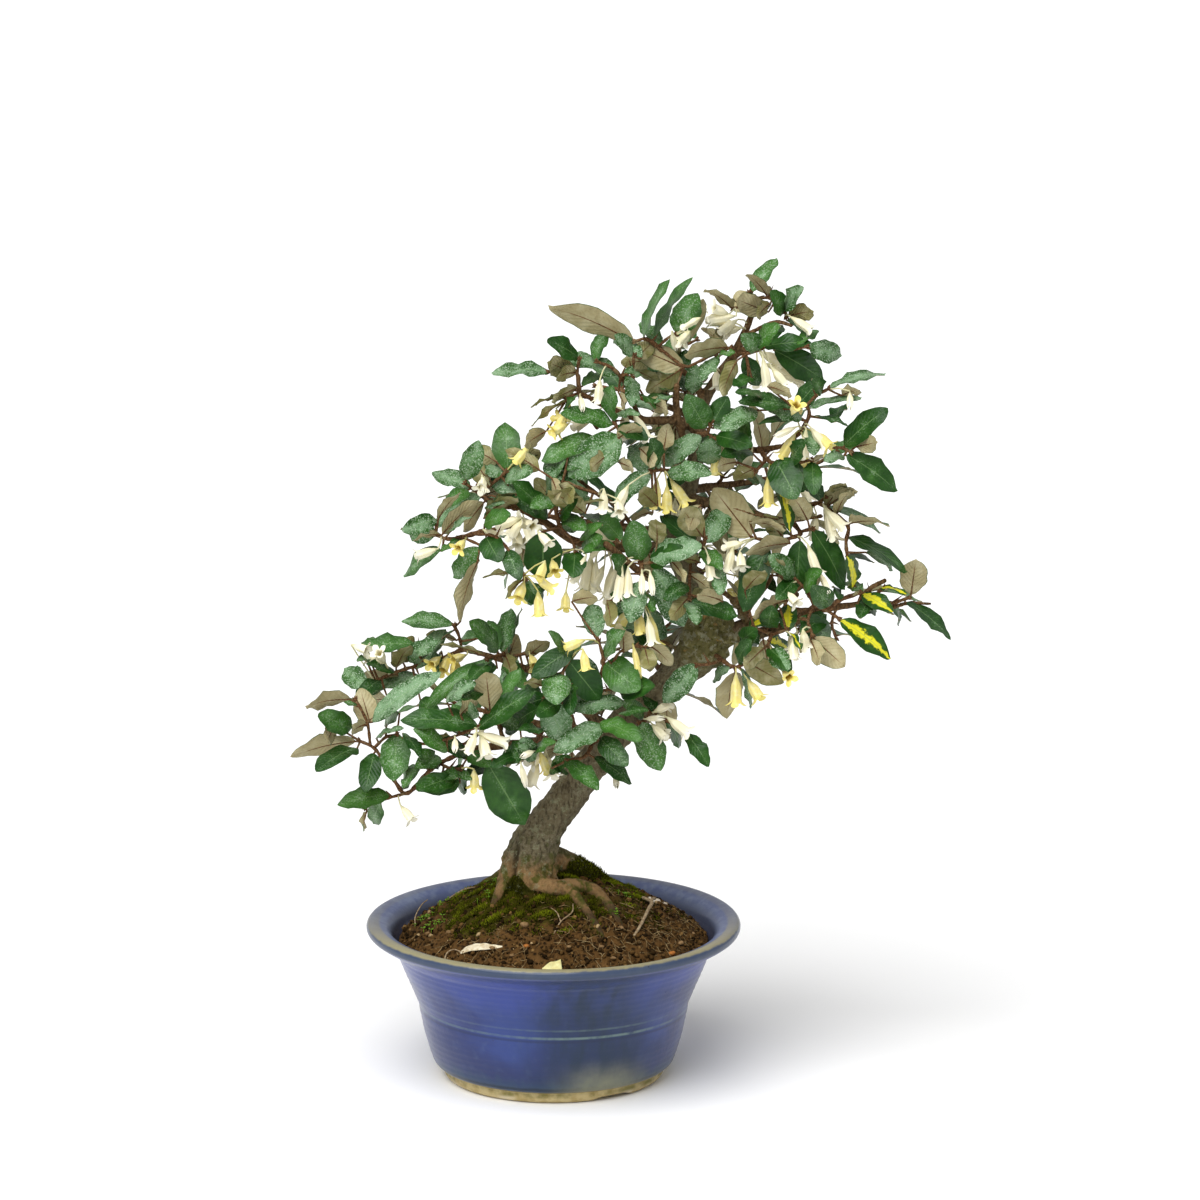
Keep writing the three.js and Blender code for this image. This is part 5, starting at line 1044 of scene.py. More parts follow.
def nearest_on(twigs, across, down, clear_of=None):
    """The twig point nearest on the sheet: its place, drawn point, the twig's course and its distance."""
    start = np.concatenate([twig[:-1] for twig in twigs])
    end = np.concatenate([twig[1:] for twig in twigs])
    most = np.concatenate([np.where(np.arange(1, len(twig)) == len(twig) - 1, 0.92, 1) for twig in twigs])
    course = end[:, :2] - start[:, :2]
    share = (((across, down) - start[:, :2]) * course).sum(axis=1) / ((course ** 2).sum(axis=1) + 1e-6)
    drawn = start + (end - start) * np.clip(share, 0, most)[:, None]
    at = seen(drawn)
    away = np.hypot(across - drawn[:, 0], down - drawn[:, 1])
    if clear_of is not None:
        away = np.where(np.linalg.norm(at - clear_of, axis=1) > 3, away, np.inf)
    best = away.argmin()
    return at[best], drawn[best], unit(seen(end[best]) - seen(start[best])), away[best]


def matching(candidates, corners):
    """The first of some candidate points that lies on a corner of the solid, or the first if none does."""
    gaps = np.linalg.norm(np.asarray(candidates)[:, None] - corners, axis=2).min(axis=1)
    return int(np.argmax(gaps < 0.05))


def twig_lines(twigs, corners):
    """The drawn twigs with radii. The first starts where its solid was cut clear of the branch: at the share
    of its first part whose ring of corners, a twig's radius about it, is found. Side twigs start on the
    nearest twig."""
    first = twigs[0]
    shares = np.arange(0.1, 1, 0.05)
    starts = first[0] + (first[1] - first[0]) * shares[:, None]
    gaps = np.linalg.norm(seen(starts)[:, None] - corners, axis=2)
    cut = int(np.argmax((np.abs(gaps - TWIG_RADIUS) < 0.01).sum(axis=1) >= 3))
    radii = np.linspace(TWIG_RADIUS, SIDE_TWIG_RADIUS, len(first))
    lines = [np.column_stack([np.concatenate([starts[cut:cut + 1], first[1:]]), radii])]
    root = seen(starts[cut])
    for fork, *rest in twigs[1:]:
        drawn = nearest_on(lines, fork[0], fork[1], root)[1]
        side = np.array([drawn[:3], *rest])
        lines.append(np.column_stack([side, np.full(len(side), SIDE_TWIG_RADIUS)]))
    return lines


def drawn_leaf(leaf, twigs, root, seed, leans):
    """Where a drawn leaf lies for each lean. Its length sets how far it leans to the front or back, and its
    visible breadth how far it rolls: roll = arccos(shown / breadth)."""
    face, across, down, step_across, step_down, shown = leaf
    at, drawn, _, _ = nearest_on(twigs, across, down, root)
    flat = np.hypot(step_across, step_down) / 2
    reach = min(LEAN_MOST, 0.8 * np.sqrt(max(full_length(seed) ** 2 - flat ** 2, (0.2 * flat) ** 2)))
    front = -1 if draw(seed, 2) < LEAN_FRONT else 1
    base = seen([across, down, drawn[2]])
    tips = seen([(across + step_across, down + step_down, drawn[2] + front * reach * lean) for lean in leans])
    length = np.linalg.norm(tips - base, axis=1)
    along = unit(tips - base)
    towards = squared(EYE - base + 0 * along, along)
    sideways = np.cross(along, towards)
    breadth = np.maximum(shown / 2, np.clip(LEAF_BREADTH * length, 8, 13))
    roll = np.arccos(np.minimum(1, shown / 2 / breadth))[:, None]
    under = face in "TO"
    rise = np.where(sideways[:, 2:] * (-1 if under else 1) >= 0, 1, -1)
    upper = towards * np.cos(roll) + sideways * np.sin(roll) * rise
    return at, base, tips, -upper if under else upper, breadth


def spiral_leaf(twigs, index, count, seed, leans):
    """Where a leaf placed by rule lies for each lean: two fifths of a turn round its twig after the one
    before, and further out on the twig the later it comes."""
    twig = twigs[index % len(twigs)]
    rank = index // len(twigs)
    share = 0.34 + 0.66 * (rank + 0.5) / np.ceil(count / len(twigs))
    where = share * (len(twig) - 1)
    step = int(min(np.floor(where), len(twig) - 2))
    start, end = seen(twig[step:step + 2])
    at = start + (end - start) * (where - step)
    along = unit(end - start)
    across = squared(np.array([0, 0, 1.0]), along)
    over = np.cross(along, across)
    turn = (index * LEAF_TURN + np.array(leans) * 0.9 + draw(seed, 3))[:, None]
    out = across * np.cos(turn) + over * np.sin(turn)
    course = unit(along * (0.75 + 0.5 * share) + out * 1.1 + np.array([0, 0, 0.15]))
    base = at + LEAF_STALK * course
    upper = np.column_stack([out[:, :2] * -0.4, np.ones(len(out))])
    breadth = np.full(len(out), 8.5 + 3.5 * draw(seed, 4))
    return at, base, base + course * full_length(seed) * 0.92, upper, breadth


def leaf_outline(s):
    """Half breadth of a leaf: (1 - |2 s^0.93 - 1|^2.5)^0.85, an oblong that is blunt at both ends."""
    return (1 - np.abs(2 * s ** 0.93 - 1) ** 2.5) ** 0.85


def blade_faces(rows, columns):
    """The quads and triangles of a blade whose points are its upper face's grid, its lower face's without the
    margins, its base and its tip. Both faces are cut along the same diagonals."""
    above = np.arange(rows * columns).reshape(rows, columns)
    below = above.copy()
    below[:, 1:-1] = rows * columns + np.arange(rows * (columns - 2)).reshape(rows, columns - 2)
    root = rows * (2 * columns - 2)
    four, three = [], []
    for grid in (above, below):
        corners = [grid[:-1, :-1], grid[1:, :-1], grid[1:, 1:], grid[:-1, 1:]]
        four.append(np.stack(corners, axis=-1).reshape(-1, 4))
        three.append(np.column_stack([np.full(columns - 1, root), grid[0, :-1], grid[0, 1:]]))
        three.append(np.column_stack([np.full(columns - 1, root + 1), grid[-1, 1:], grid[-1, :-1]]))
    four[1] = four[1][:, [0, 3, 2, 1]]
    three[2:] = [fan[:, ::-1] for fan in three[2:]]
    return np.concatenate(four), np.concatenate(three)


def blades(base, tip, upper, breadth, seed, rows, columns, arch=LEAF_ARCH, skin=LEAF_SKIN, wave=LEAF_WAVE):
    """Closed thin blades from base to tip, all of them at once, and the marks of their points and faces. With
    s from 0 to 1 along and c from -1 to 1 across, a blade's middle skin is base + length s along + c half
    side + lift face. Half is half the breadth times the outline, with a scalloped margin. Lift adds an
    arch length arch s (1 - s), a trough, one slow wave that is opposite on the two margins and a quick
    ruffle that grows with c^2. Its two faces lie a skin's thickness apart times (1 - c^4) and meet at the
    margin."""
    along = unit(tip - base)
    length = np.linalg.norm(tip - base, axis=1)[:, None, None]
    face = squared(upper, along)
    side = np.cross(face, along)
    s = (0.5 - 0.5 * np.cos(np.linspace(0, np.pi, rows + 2)[1:-1]))[:, None] * 0.7
    s = s + (np.linspace(0, 1, rows + 2)[1:-1])[:, None] * 0.3
    c = np.linspace(-1, 1, columns)
    wide = leaf_outline(s)
    one = np.ones((len(base), 1, 1))
    seed = np.asarray(seed, float)[:, None, None]
    sign = np.where(np.floor(draw(seed, 5) + 0.5) == 1, 1, -1)
    scallop = np.sin(2 * np.pi * (2 + 1.6 * draw(seed, 7)) * s + 6.3 * draw(seed, 8) + 2.1 * c)
    half = breadth[:, None, None] / 2 * wide * (1 + 0.055 * wave / LEAF_WAVE * scallop * c * c)
    lift = length * arch * s * (1 - s) + half * LEAF_TROUGH * np.abs(c) ** 1.5
    lift = lift + wave * sign * wide * np.cos(np.pi * (s - 0.22) / 0.315) * c
    ruffle = np.sin(2 * np.pi * (2 + 1.4 * draw(seed, 9)) * s + 6.3 * draw(seed, 10) + 1.4 * c)
    lift = lift + 0.85 * wave * wide * c * c * ruffle
    lift = lift - length * 0.05 * draw(seed, 11) * s ** 4 - 0.1 * wave * np.exp(-(c / 0.15) ** 2) * one
    middle = (base[:, None, None] + (length * s * one)[..., None] * along[:, None, None]
              + (half * c)[..., None] * side[:, None, None] + lift[..., None] * face[:, None, None])
    shell = (skin / 2 * (1 - c ** 4) * one * np.ones_like(s))[..., None] * face[:, None, None]
    top = (middle + shell).reshape(len(base), -1, 3)
    bottom = (middle - shell)[:, :, 1:-1].reshape(len(base), -1, 3)
    points = np.concatenate([top, bottom, base[:, None], tip[:, None]], axis=1)
    four, three = blade_faces(rows, columns)
    count, each = len(base), points.shape[1]
    reach = np.concatenate([np.repeat(s[:, 0], columns), np.repeat(s[:, 0], columns - 2), [0, 1]])
    off = np.concatenate([np.tile(c, rows), np.tile(c[1:-1], rows), [0, 0]])
    marks = {"reach": np.tile(reach, count), "off": np.tile(off, count)}
    upper = [np.tile(np.repeat([1.0, 0.0], len(faces) // 2), count) for faces in (four, three)]
    return points.reshape(-1, 3), repeated(four, count, each), repeated(three, count, each), marks, upper


def stalks(paths, radii, sides=5):
    """Thin tubes along many paths of equally many points, all at once: path + r (cos a u + sin a v), with u
    square to the plane that the path bends in. A pole closes each end."""
    along = unit(np.gradient(paths, axis=1))
    bend = np.cross(paths[:, 1] - paths[:, 0], paths[:, -1] - paths[:, 1])
    spare = np.cross(paths[:, -1] - paths[:, 0], [0.3, 0.5, 0.81])
    bend = np.where(np.linalg.norm(bend, axis=1, keepdims=True) > 0.05, bend, spare)
    across = squared(unit(bend)[:, None] + 0 * along, along)
    over = np.cross(along, across)
    angle = (np.arange(sides) / sides * 2 * np.pi)[:, None]
    ring = paths[:, :, None] + radii[:, None, None] * (
        np.cos(angle) * across[:, :, None] + np.sin(angle) * over[:, :, None])
    points = np.concatenate([ring.reshape(len(paths), -1, 3), paths[:, :1], paths[:, -1:]], axis=1)
    quads, triangles = (repeated(faces, *points.shape[:2]) for faces in capped(paths.shape[1], sides))
    return points.reshape(-1, 3), quads, triangles


def leaf_finish():
    """Leathery leaf: glossy deep green with silver scales and a painted sheen along the middle, and below tan
    scales, a brown rib and rusty dots. Some leaves have a gold flame along the rib."""
    leaf = Finish("leathery_leaf", Specular_IOR_Level=0.3)
    off = leaf.attribute("off").size()
    reach, light, silver, gold, olive = (leaf.attribute(mark) for mark in ("reach", *LOOK_MARKS))
    upper = leaf.attribute("upper") + off.rise(0.93, 0.97)
    upper = upper.math("MINIMUM", upper, 1)
    cloud = leaf.noise(7, 3)
    blotch = leaf.noise(2.6, 3, 0.6)
    fine = leaf.noise(0.75, 2, 0.6)
    vein_line = ((reach * 9 - off * 2.6) * 6.283).wave()
    rib = off.rise(0.05, 0.015) * reach.rise(1.0, 0.6)
    # The sheen is partly silver scales and partly a painted glossy highlight: pale grey-green along the
    # middle, less towards the margins.
    silver_and_painted_sheen = (silver + (cloud - 0.5) * 1.6 + (blotch - 0.5) * 1.5 - off * 0.6 + 0.12).rise(0.3, 1.15)
    scales = fine.rise(0.54, 0.62) * (silver + cloud * 0.7 - off * 0.25).rise(0.3, 0.9)
    flame = (off + (leaf.noise(3.2, 3) - 0.5) * 1.3 + reach * 0.15).rise(0.5, 0.3) * gold
    green = leaf.coated(
        (0.007, 0.048, 0.002), ((0.055, 0.17, 0.02), (light + (cloud - 0.5) * 1.5).rise(-0.2, 1.1)),
        ((0.004, 0.035, 0.002), off.rise(0.4, 1.0) * 0.45),
        ((0.02, 0.1, 0.012), vein_line.rise(0.7, 1.0) * 0.12), ((0.2, 0.33, 0.18), silver_and_painted_sheen * 0.85),
        ((0.38, 0.48, 0.34), scales * 0.75), ((0.66, 0.62, 0.02), flame),
        ((0.17, 0.3, 0.1), rib * 0.5), ((0.14, 0.19, 0.06), off.rise(0.95, 1.0) * 0.3))
    tan = leaf.coated(
        (0.36, 0.31, 0.16), ((0.2, 0.19, 0.06), olive), ((0.5, 0.46, 0.28), cloud.rise(0.4, 0.7) * 0.6),
        ((0.17, 0.12, 0.045), blotch.rise(0.5, 0.8) * 0.4), ((0.2, 0.11, 0.04), fine.rise(0.6, 0.7) * 0.35),
        ((0.15, 0.055, 0.015), rib))
    roughness = 0.62 - upper * 0.24 + scales * upper * 0.2
    relief = vein_line * -0.12 * upper + vein_line * 0.25 * (1 - upper) + fine * 0.3 + blotch * 0.7
    return leaf.wear(leaf.mixed(tan, green, upper), roughness, relief, 0.3)


def twig_finish():
    """Young bark under rusty-brown scales."""
    twig = Finish("scaly_twig", Specular_IOR_Level=0.15)
    fine = twig.noise(0.8, 4, 0.65)
    colour = twig.coated(
        (0.06, 0.025, 0.01), ((0.2, 0.105, 0.045), fine.rise(0.35, 0.65)),
        ((0.3, 0.23, 0.12), twig.noise(5, 3).rise(0.55, 0.7) * 0.5))
    return twig.wear(colour, 0.75, fine, 0.3)


LEAF_FINISHES = [leaf_finish(), twig_finish()]
BLADE_ROWS = 11
BLADE_COLUMNS = 5
BLADE_SPREAD = 1.12
# A leaf's stalk runs on under its blade as the rib, at these shares of the blade, and thins out.
RIB_SHARES = (0, 0.12, 0.3, 0.5, 0.7)
LEAF_STALK_RADII = np.array([0.75, 0.55, 0.52, 0.42, 0.34, 0.26, 0.14])


def buds_and_thorns(lines, seed):
    """Bud scales that fan out round each twig's end, and a thorn a third of the way along each longer twig.
    Each is a bent spindle: three points that part from the twig by an angle, with radii that taper."""
    scales, thorns = [], []
    for index, line in enumerate(lines):
        centre = seen(line)
        along = unit(centre[-1] - centre[-2])
        side = squared(np.array([0.3, 0.4, 0.87]), along)
        for turn in np.arange(5) * 1.26 + seed + index:
            out = side * np.cos(turn) + np.cross(along, side) * np.sin(turn)
            course = along * 1.9 + out * 1.5
            scales.append([centre[-1] - along * 0.5, centre[-1] + course * 0.4, centre[-1] + course])
        if len(line) > 2:
            along = unit(centre[1] - centre[0])
            aside = np.array([np.sin(seed + index * 2.0), np.cos(seed + index), 0.6])
            out = unit(squared(aside, along) + along * 0.7)
            thorns.append([centre[1], centre[1] + out * 4, centre[1] + out * 8])
    bodies = [stalks(np.array(scales), np.array([0.45, 0.75, 0.12]))]
    if thorns:
        bodies.append(stalks(np.array(thorns), np.array([0.75, 0.45, 0.08])))
    return bodies


def grow_spray(name, lines, branch_end, leaves, replaced=()):
    """One spray's piece: its twigs as tubes, a stalk for each leaf that runs on as the rib, and blades."""
    at, base, tip, upper, breadth, seeds, looks = (np.array(part) for part in zip(*leaves))
    bodies, course = [], []
    for index, line in enumerate(lines):
        spaced = curve_through(np.concatenate([seen(line), line[:, 3:4]], axis=1), 1.6)
        if index == 0:
            inside = seen(branch_end)
            behind = inside - unit(spaced[0, :3] - inside) * 2
            spaced = np.concatenate([[[*behind, spaced[0, 3]], [*inside, spaced[0, 3]]], spaced])
        spaced[:, 3] *= 1 + 0.16 * np.sin(np.arange(len(spaced)) * 1.9 + index)
        bodies.append(tube(spaced, 8))
        course.append(spaced[:, :3])
    course = np.concatenate(course)
    bodies += buds_and_thorns(lines, seeds[0])
    spring = course[np.linalg.norm(at[:, None] - course, axis=2).argmin(axis=1)]
    along = unit(tip - base)
    length = np.linalg.norm(tip - base, axis=1)[:, None]
    face = squared(upper, along)
    rib = [base + along * length * s + face * (length * LEAF_ARCH * s * (1 - s) - 0.3) for s in RIB_SHARES]
    path = np.stack([spring, (spring + base) / 2 + face * -0.4, *rib], axis=1)
    bodies.append(stalks(path, LEAF_STALK_RADII))
    wood, (quads, triangles) = joined(bodies)
    skin, four, three, marks, upper_share = blades(
        base, tip, upper, breadth * BLADE_SPREAD, seeds, BLADE_ROWS, BLADE_COLUMNS)
    points, faces = joined([(wood, quads, triangles), (skin, four, three)])
    for column, mark in enumerate(LOOK_MARKS):
        each = looks[:, column] + (0.3 * (draw(seeds, 20 + column) - 0.5) if mark != "gold" else 0)
        marks[mark] = np.repeat(each, len(skin) // len(base))
    marks = {mark: np.concatenate([np.zeros(len(wood)), values]) for mark, values in marks.items()}
    on_blade = np.repeat([0, 1, 0, 1], [len(quads), len(four), len(triangles), len(three)])
    upper_marks = np.zeros(len(on_blade))
    upper_marks[on_blade == 1] = np.concatenate(upper_share)
    piece = add_piece(f"leafy_{name}", points, faces, LEAF_FINISHES, "leaf", replaced, marks,
                      {"upper": upper_marks}, 1 - on_blade)
    piece.data.set_sharp_from_angle(angle=np.radians(70))


spray_lines = {}
spray_leaves = {}
leaf_seed = 0
for name, (twigs, leaves) in SPRAYS.items():
    corners = surface_of(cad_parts[f"spray_{name}"].data)[0]
    lines = twig_lines(drawn_twigs(twigs), corners)
    root = seen(lines[0][0])
    by_rule = isinstance(leaves, int)
    drawn = range(leaves) if by_rule else drawn_leaves(leaves)
    grown = []
    for index, leaf in enumerate(drawn):
        leaf_seed += 1
        if by_rule:
            look = LEAF_LOOKS["DGSDG"[index % 5]]
            at, bases, tips, uppers, breadths = spiral_leaf(lines, index, leaves, leaf_seed, LEANS)
        else:
            look = LEAF_LOOKS[leaf[0]]
            at, base, tips, uppers, breadths = drawn_leaf(leaf, lines, root, leaf_seed, LEANS)
            bases = np.repeat(base[None], len(tips), axis=0)
        lean = matching(tips, corners)
        grown.append((at, bases[lean], tips[lean], uppers[lean], breadths[lean], leaf_seed, look))
    spray_lines[name] = lines
    spray_leaves[name] = grown

spray_root = {name: seen(lines[0][0]) for name, lines in spray_lines.items()}
drawn_sprays = {name: lines for name, lines in spray_lines.items() if not isinstance(SPRAYS[name][1], int)}
for index, leaf in enumerate(drawn_leaves(MORE_LEAVES)):
    name = min(drawn_sprays, key=lambda name: nearest_on(drawn_sprays[name], *leaf[1:3], spray_root[name])[3])
    lines = spray_lines[name]
    at, base, tips, uppers, breadths = drawn_leaf(leaf, lines, spray_root[name], 600 + index, LEANS[:1])
    breadth = max(leaf[5] / 2 * 1.1, 4.5) if leaf[5] <= EDGE_ON else breadths[0]
    spray_leaves[name].append((at, base, tips[0], uppers[0], breadth, 600 + index, LEAF_LOOKS[leaf[0]]))

for name, leaves in spray_leaves.items():
    grow_spray(name, spray_lines[name], drawn_twigs(SPRAYS[name][0])[0][0], leaves, [f"spray_{name}"])

# Short leafy shoots on the inner part of the back branches, above and below by turns.
SHOOT_SHARES = (0.3, 0.5, 0.7, 0.88)
SHOOT_LEAVES = 4
for branch_index, name in enumerate(name for name in BRANCHES if name.startswith("back")):
    course = curve_through(BRANCHES[name], 4.0)
    shoots = []
    for shoot_index, share in enumerate(SHOOT_SHARES):
        side = 1 if (shoot_index + branch_index) % 2 else -1
        start = course[int(share * (len(course) - 1)), :3]
        steps = np.array([[0, 2, 0], [4, 9, 4 * side], [-2, 18, 8 * side]]) * (1, side, 1)
        shoots.append(np.column_stack([start + steps, [1.1, 0.95, 0.8]]))
    leaves = []
    for index in range(SHOOT_LEAVES * len(shoots)):
        seed = 700 + branch_index * 20 + index
        grown = spiral_leaf(shoots, index, SHOOT_LEAVES * len(shoots), seed, LEANS[:1])
        leaves.append((grown[0], *(part[0] for part in grown[1:]), seed, LEAF_LOOKS["DGSTG"[index % 5]]))
    grow_spray(f"inner_{name}", shoots, course[int(SHOOT_SHARES[0] * (len(course) - 1)), :3], leaves)

# The flowers: small bunches of hanging bells on thin stalks. A bell is a thin silvery-scaled tube with four
# angles that widens downwards and opens in four pointed lobes. It is cream at first and yellow when older.

# A bunch is its colour, the place that it hangs from, "across down" with "back" too behind the tree, and its
# flowers, each "across down step-across step-down": the base on the sheet and the step to the mouth.
CREAM = "petal_cream"
YELLOW = "petal_yellow"
BUNCHES = {
    "far_left": (YELLOW, "450 654, 448 656 -8 20, 455 658 1 24"),
    "left_pad": (CREAM, "480 727, 478 733 37 13, 481 736 7 26"),
    "left_pad_low": (CREAM, "540 744, 546 754 -20 10, 538 762 -10 29, 548 757 6 25"),
    "trunk_front": (CREAM, "657 714, 657 722 6 16, 668 718 24 19"),
    "burl": (YELLOW, "736 667, 736 674 0 38, 748 680 15 24"),
    "centre_low": (YELLOW, "640 598, 628 610 -12 24, 638 610 3 30, 650 615 6 37"),
    "centre_left": (CREAM, "606 546, 592 560 -2 38, 612 566 -6 44, 612 540 -22 -12"),
    "left_arm": (CREAM, "528 524, 534 526 -22 -6, 518 530 -1 22"),
    "left_arm_low": (YELLOW, "524 574, 524 582 -8 22, 538 592 2 30"),
    "centre_high": (YELLOW, "664 471, 657 480 -3 34, 667 486 0 32, 671 480 19 30"),
    "high_left": (CREAM, "606 407, 596 412 -28 20, 625 412 0 30, 634 414 16 32"),
    "top_right": (CREAM, "756 345, 760 352 28 14, 757 360 0 33, 766 364 46 22"),
    "top": (CREAM, "744 330, 732 322 -32 -2, 734 328 -20 12"),
    "right_high": (YELLOW, "799 431, 795 434 -16 28, 803 440 1 28, 815 432 19 20, 797 418 0 -18"),
    "right_high_low": (YELLOW, "770 462, 768 477 1 35, 775 474 19 32"),
    "right_end": (CREAM, "824 507, 826 510 22 22, 825 520 15 28"),
    "right_centre": (CREAM, "706 546, 714 545 30 -4, 720 552 25 26"),
    "back_left": (CREAM, "520 507 48, 518 516 -10 26, 524 518 10 28"),
    "back_right": (CREAM, "796 470 47, 794 480 -8 28, 800 480 12 26"),
}

# Flowers that stand singly or at the back of the bunches. A fifth number says how far each has opened.
SINGLE_FLOWERS = {
    CREAM: """
    476 733 -10 24 1, 654 712 18 -9 1, 604 566 -12 24 1, 538 532 14 16 1, 708 556 4 28 1
    816 514 -4 30 1, 728 314 -20 -8 1, 437 549 -27 9 1, 604 490 -1 25 1, 618 500 2 17 1
    600 380 -2 28 1, 716 370 2 22 1, 672 332 4 18 0, 642 572 0 22 0, 650 572 3 23 0, 786 592 14 15 1
    793 640 2 24 1, 582 778 1 14 0, 615 775 2 13 0, 482 476 2 17 0, 484 530 16 8 1, 401 806 14 18 1
    352 645 20 7 1, 455 738 0 14 0, 850 392 0 18 0, 820 573 9 20 0, 808 545 12 35 1, 752 450 -8 22 1
    675 500 2 25 1, 735 316 -33 4 1, 737 320 -21 16 1, 741 328 -19 3 1, 763 358 6 38 1
    772 368 17 23 1, 648 618 5 32 1, 797 632 -7 24 1, 803 630 3 20 1, 645 719 19 -1 0
    652 724 16 18 1, 668 405 -16 13 0, 580 396 3 15 0, 590 560 10 -15 0, 690 332 -11 12 1
    484 478 -4 14 1, 385 662 -9 -13 1, 384 663 -22 -7 1, 480 738 5 -25 0, 521 764 5 23 0
    534 751 -13 6 0, 791 317 25 17 1, 796 427 -22 10 0, 806 430 -3 35 1, 811 428 17 23 1
    824 506 14 25 1, 826 509 9 37 1, 743 543 -21 5 1, 733 548 -7 27 1, 740 552 2 20 1
    592 530 26 12 0, 520 518 -28 11 1, 522 520 -14 21 1, 526 521 10 8 1, 586 556 -16 32 1
    590 558 -9 42 1, 596 560 -2 38 1, 618 564 -12 40 1, 622 566 -6 42 1, 628 568 0 34 1
    628 486 -12 24 1, 700 318 -18 10 1""",
    YELLOW: """
    440 657 -12 11 1, 536 578 20 14 1, 585 640 -25 10 1, 583 650 4 25 1, 465 540 -10 12 1
    566 412 -14 28 1, 783 672 9 8 1, 530 445 -18 22 1, 474 770 1 22 1, 566 592 -1 22 1
    633 645 7 33 0, 715 455 0 25 1, 741 578 -7 18 1, 655 392 2 12 0, 530 655 7 15 1, 466 655 -18 7 1
    738 602 -10 -10 0, 540 752 9 24 1, 792 414 7 -13 1, 568 424 -20 10 1, 571 420 -18 -2 1
    545 562 -7 20 1, 552 560 4 16 1""",
}
FLOWER_LENGTH = 15.5
SINGLE_LENGTH = 13
# A flower's solid has a corner on its own axis, at this share of its length.
SOLID_MOUTH = 0.8
OPEN_SIZE = 0.85
CLOSED_SIZE = 0.6
# How far along the bell and how wide it is, in shares of its length and in millimetres.
BELL_OUTSIDE = [
    (0, 0.55), (0.04, 0.9), (0.09, 1.1), (0.15, 1.2), (0.22, 1.8), (0.32, 2.25), (0.46, 2.45), (0.6, 2.45),
    (0.72, 2.6),
]
LOBE_RISE = (0.72, 0.93)
LOBE_REACH = 5.6
PETAL_THICK = 0.32
FLOWER_STALK_RADII = np.array([0.5, 0.42, 0.38, 0.4, 0.5])
# How many millimetres in front of its twig a flower may hang, or behind it at the back of the tree.
FLOWER_DEPTHS = np.array([2, 4, 6, 8, 10, 12, 14, 17, 20])


def bells(start, mouth, size, openness, around=24, ribs=9, lobe_steps=4):
    """Bells from start to mouth, all at once. Outside, radius follows the profile times 1 + 0.13 cos 4a for
    the four angles. A lobe reaches r = m + (R - m) u p(a) with p = (1 - |a'/45|)^0.6, a' the angle from its
    middle, and droops back at its tip. The inner sheet is narrower by a petal's thickness and ends in the
    throat."""
    along = unit(mouth - start)
    length = np.linalg.norm(mouth - start, axis=1)[:, None, None]
    across = squared(np.column_stack([along[:, 2], np.full(len(along), 0.2), -along[:, 0]]), along)
    over = np.cross(along, across)
    angle = np.arange(around) / around * 2 * np.pi
    off = np.abs((angle + np.pi / 4) % (np.pi / 2) - np.pi / 4) / (np.pi / 4)
    lobe = (1 - off) ** 0.6
    rise, wide = np.array(BELL_OUTSIDE).T
    at = np.linspace(0, rise[-1], ribs)
    angled = 1 + 0.13 * np.cos(4 * angle) * np.clip(at * 4, 0, 1)[:, None]
    tube_wide = np.interp(at, rise, wide)[:, None] * angled
    u = np.linspace(0, 1, lobe_steps + 1)[1:, None]
    open_share = openness[:, None, None]
    mouth_wide = tube_wide[-1]
    lobe_wide = mouth_wide + (LOBE_REACH - mouth_wide) * u * lobe * open_share
    lobe_wide = lobe_wide - 1.6 * (1 - open_share) * u * lobe
    lobe_at = rise[-1] + (LOBE_RISE[1] - LOBE_RISE[0]) * u * lobe * (1.5 - 0.7 * open_share)
    lobe_at = lobe_at - 0.05 * open_share * (u * lobe) ** 3
    tube_wide = np.broadcast_to(tube_wide, (len(start), *tube_wide.shape))
    outer_wide = np.concatenate([tube_wide, lobe_wide], axis=1)
    tube_at = np.broadcast_to(at[:, None], (len(start), ribs, around))
    outer_at = np.concatenate([tube_at, lobe_at], axis=1)
    inner_wide = np.maximum(outer_wide[:, 3:][:, ::-1] - PETAL_THICK, 0.15)
    inner_at = outer_at[:, 3:][:, ::-1] - 0.012
    wide = np.concatenate([outer_wide, inner_wide], axis=1) * size[:, None, None]
    rise = np.concatenate([outer_at, inner_at], axis=1)
    ring = (start[:, None, None] + (rise * length)[..., None] * along[:, None, None]
            + (wide * np.cos(angle))[..., None] * across[:, None, None]
            + (wide * np.sin(angle))[..., None] * over[:, None, None])
    rows = ring.shape[1]
    throat = start + along * (rise[:, -1, 0] * length[:, 0, 0])[:, None]
    points = np.concatenate([ring.reshape(len(start), -1, 3), start[:, None], throat[:, None]], axis=1)
    quads, triangles = (repeated(faces, *points.shape[:2]) for faces in capped(rows, around))
    outer_rows = ribs + lobe_steps
    outward = np.concatenate([np.linspace(0, 1, outer_rows), np.linspace(1, 2, rows - outer_rows)])
    depth = np.concatenate([np.repeat(outward, around), [0, 2]])
    return points.reshape(-1, 3), quads, triangles, np.tile(depth, len(start))


def petal_finish(name, outside, lobes, throat_colour):
    """A soft waxy sheet: silvery scales and rusty dots outside, paler on the lobes, deeper in the throat."""
    petal = Finish(name, Specular_IOR_Level=0.25)
    depth = petal.attribute("depth")
    fine = petal.noise(0.5, 3, 0.6)
    colour = petal.coated(
        outside, (lobes, depth.rise(0.4, 0.95)), (throat_colour, depth.rise(1.3, 1.9)),
        ((0.36, 0.36, 0.12), depth.rise(0.22, 0.05) * 0.5),
        ((0.45, 0.26, 0.08), fine.rise(0.66, 0.74) * depth.rise(1.0, 0.5) * 0.35),
        ((0.9, 0.88, 0.72), petal.noise(2.5, 2).rise(0.45, 0.7) * 0.3))
    return petal.wear(colour, 0.5, fine, 0.08)


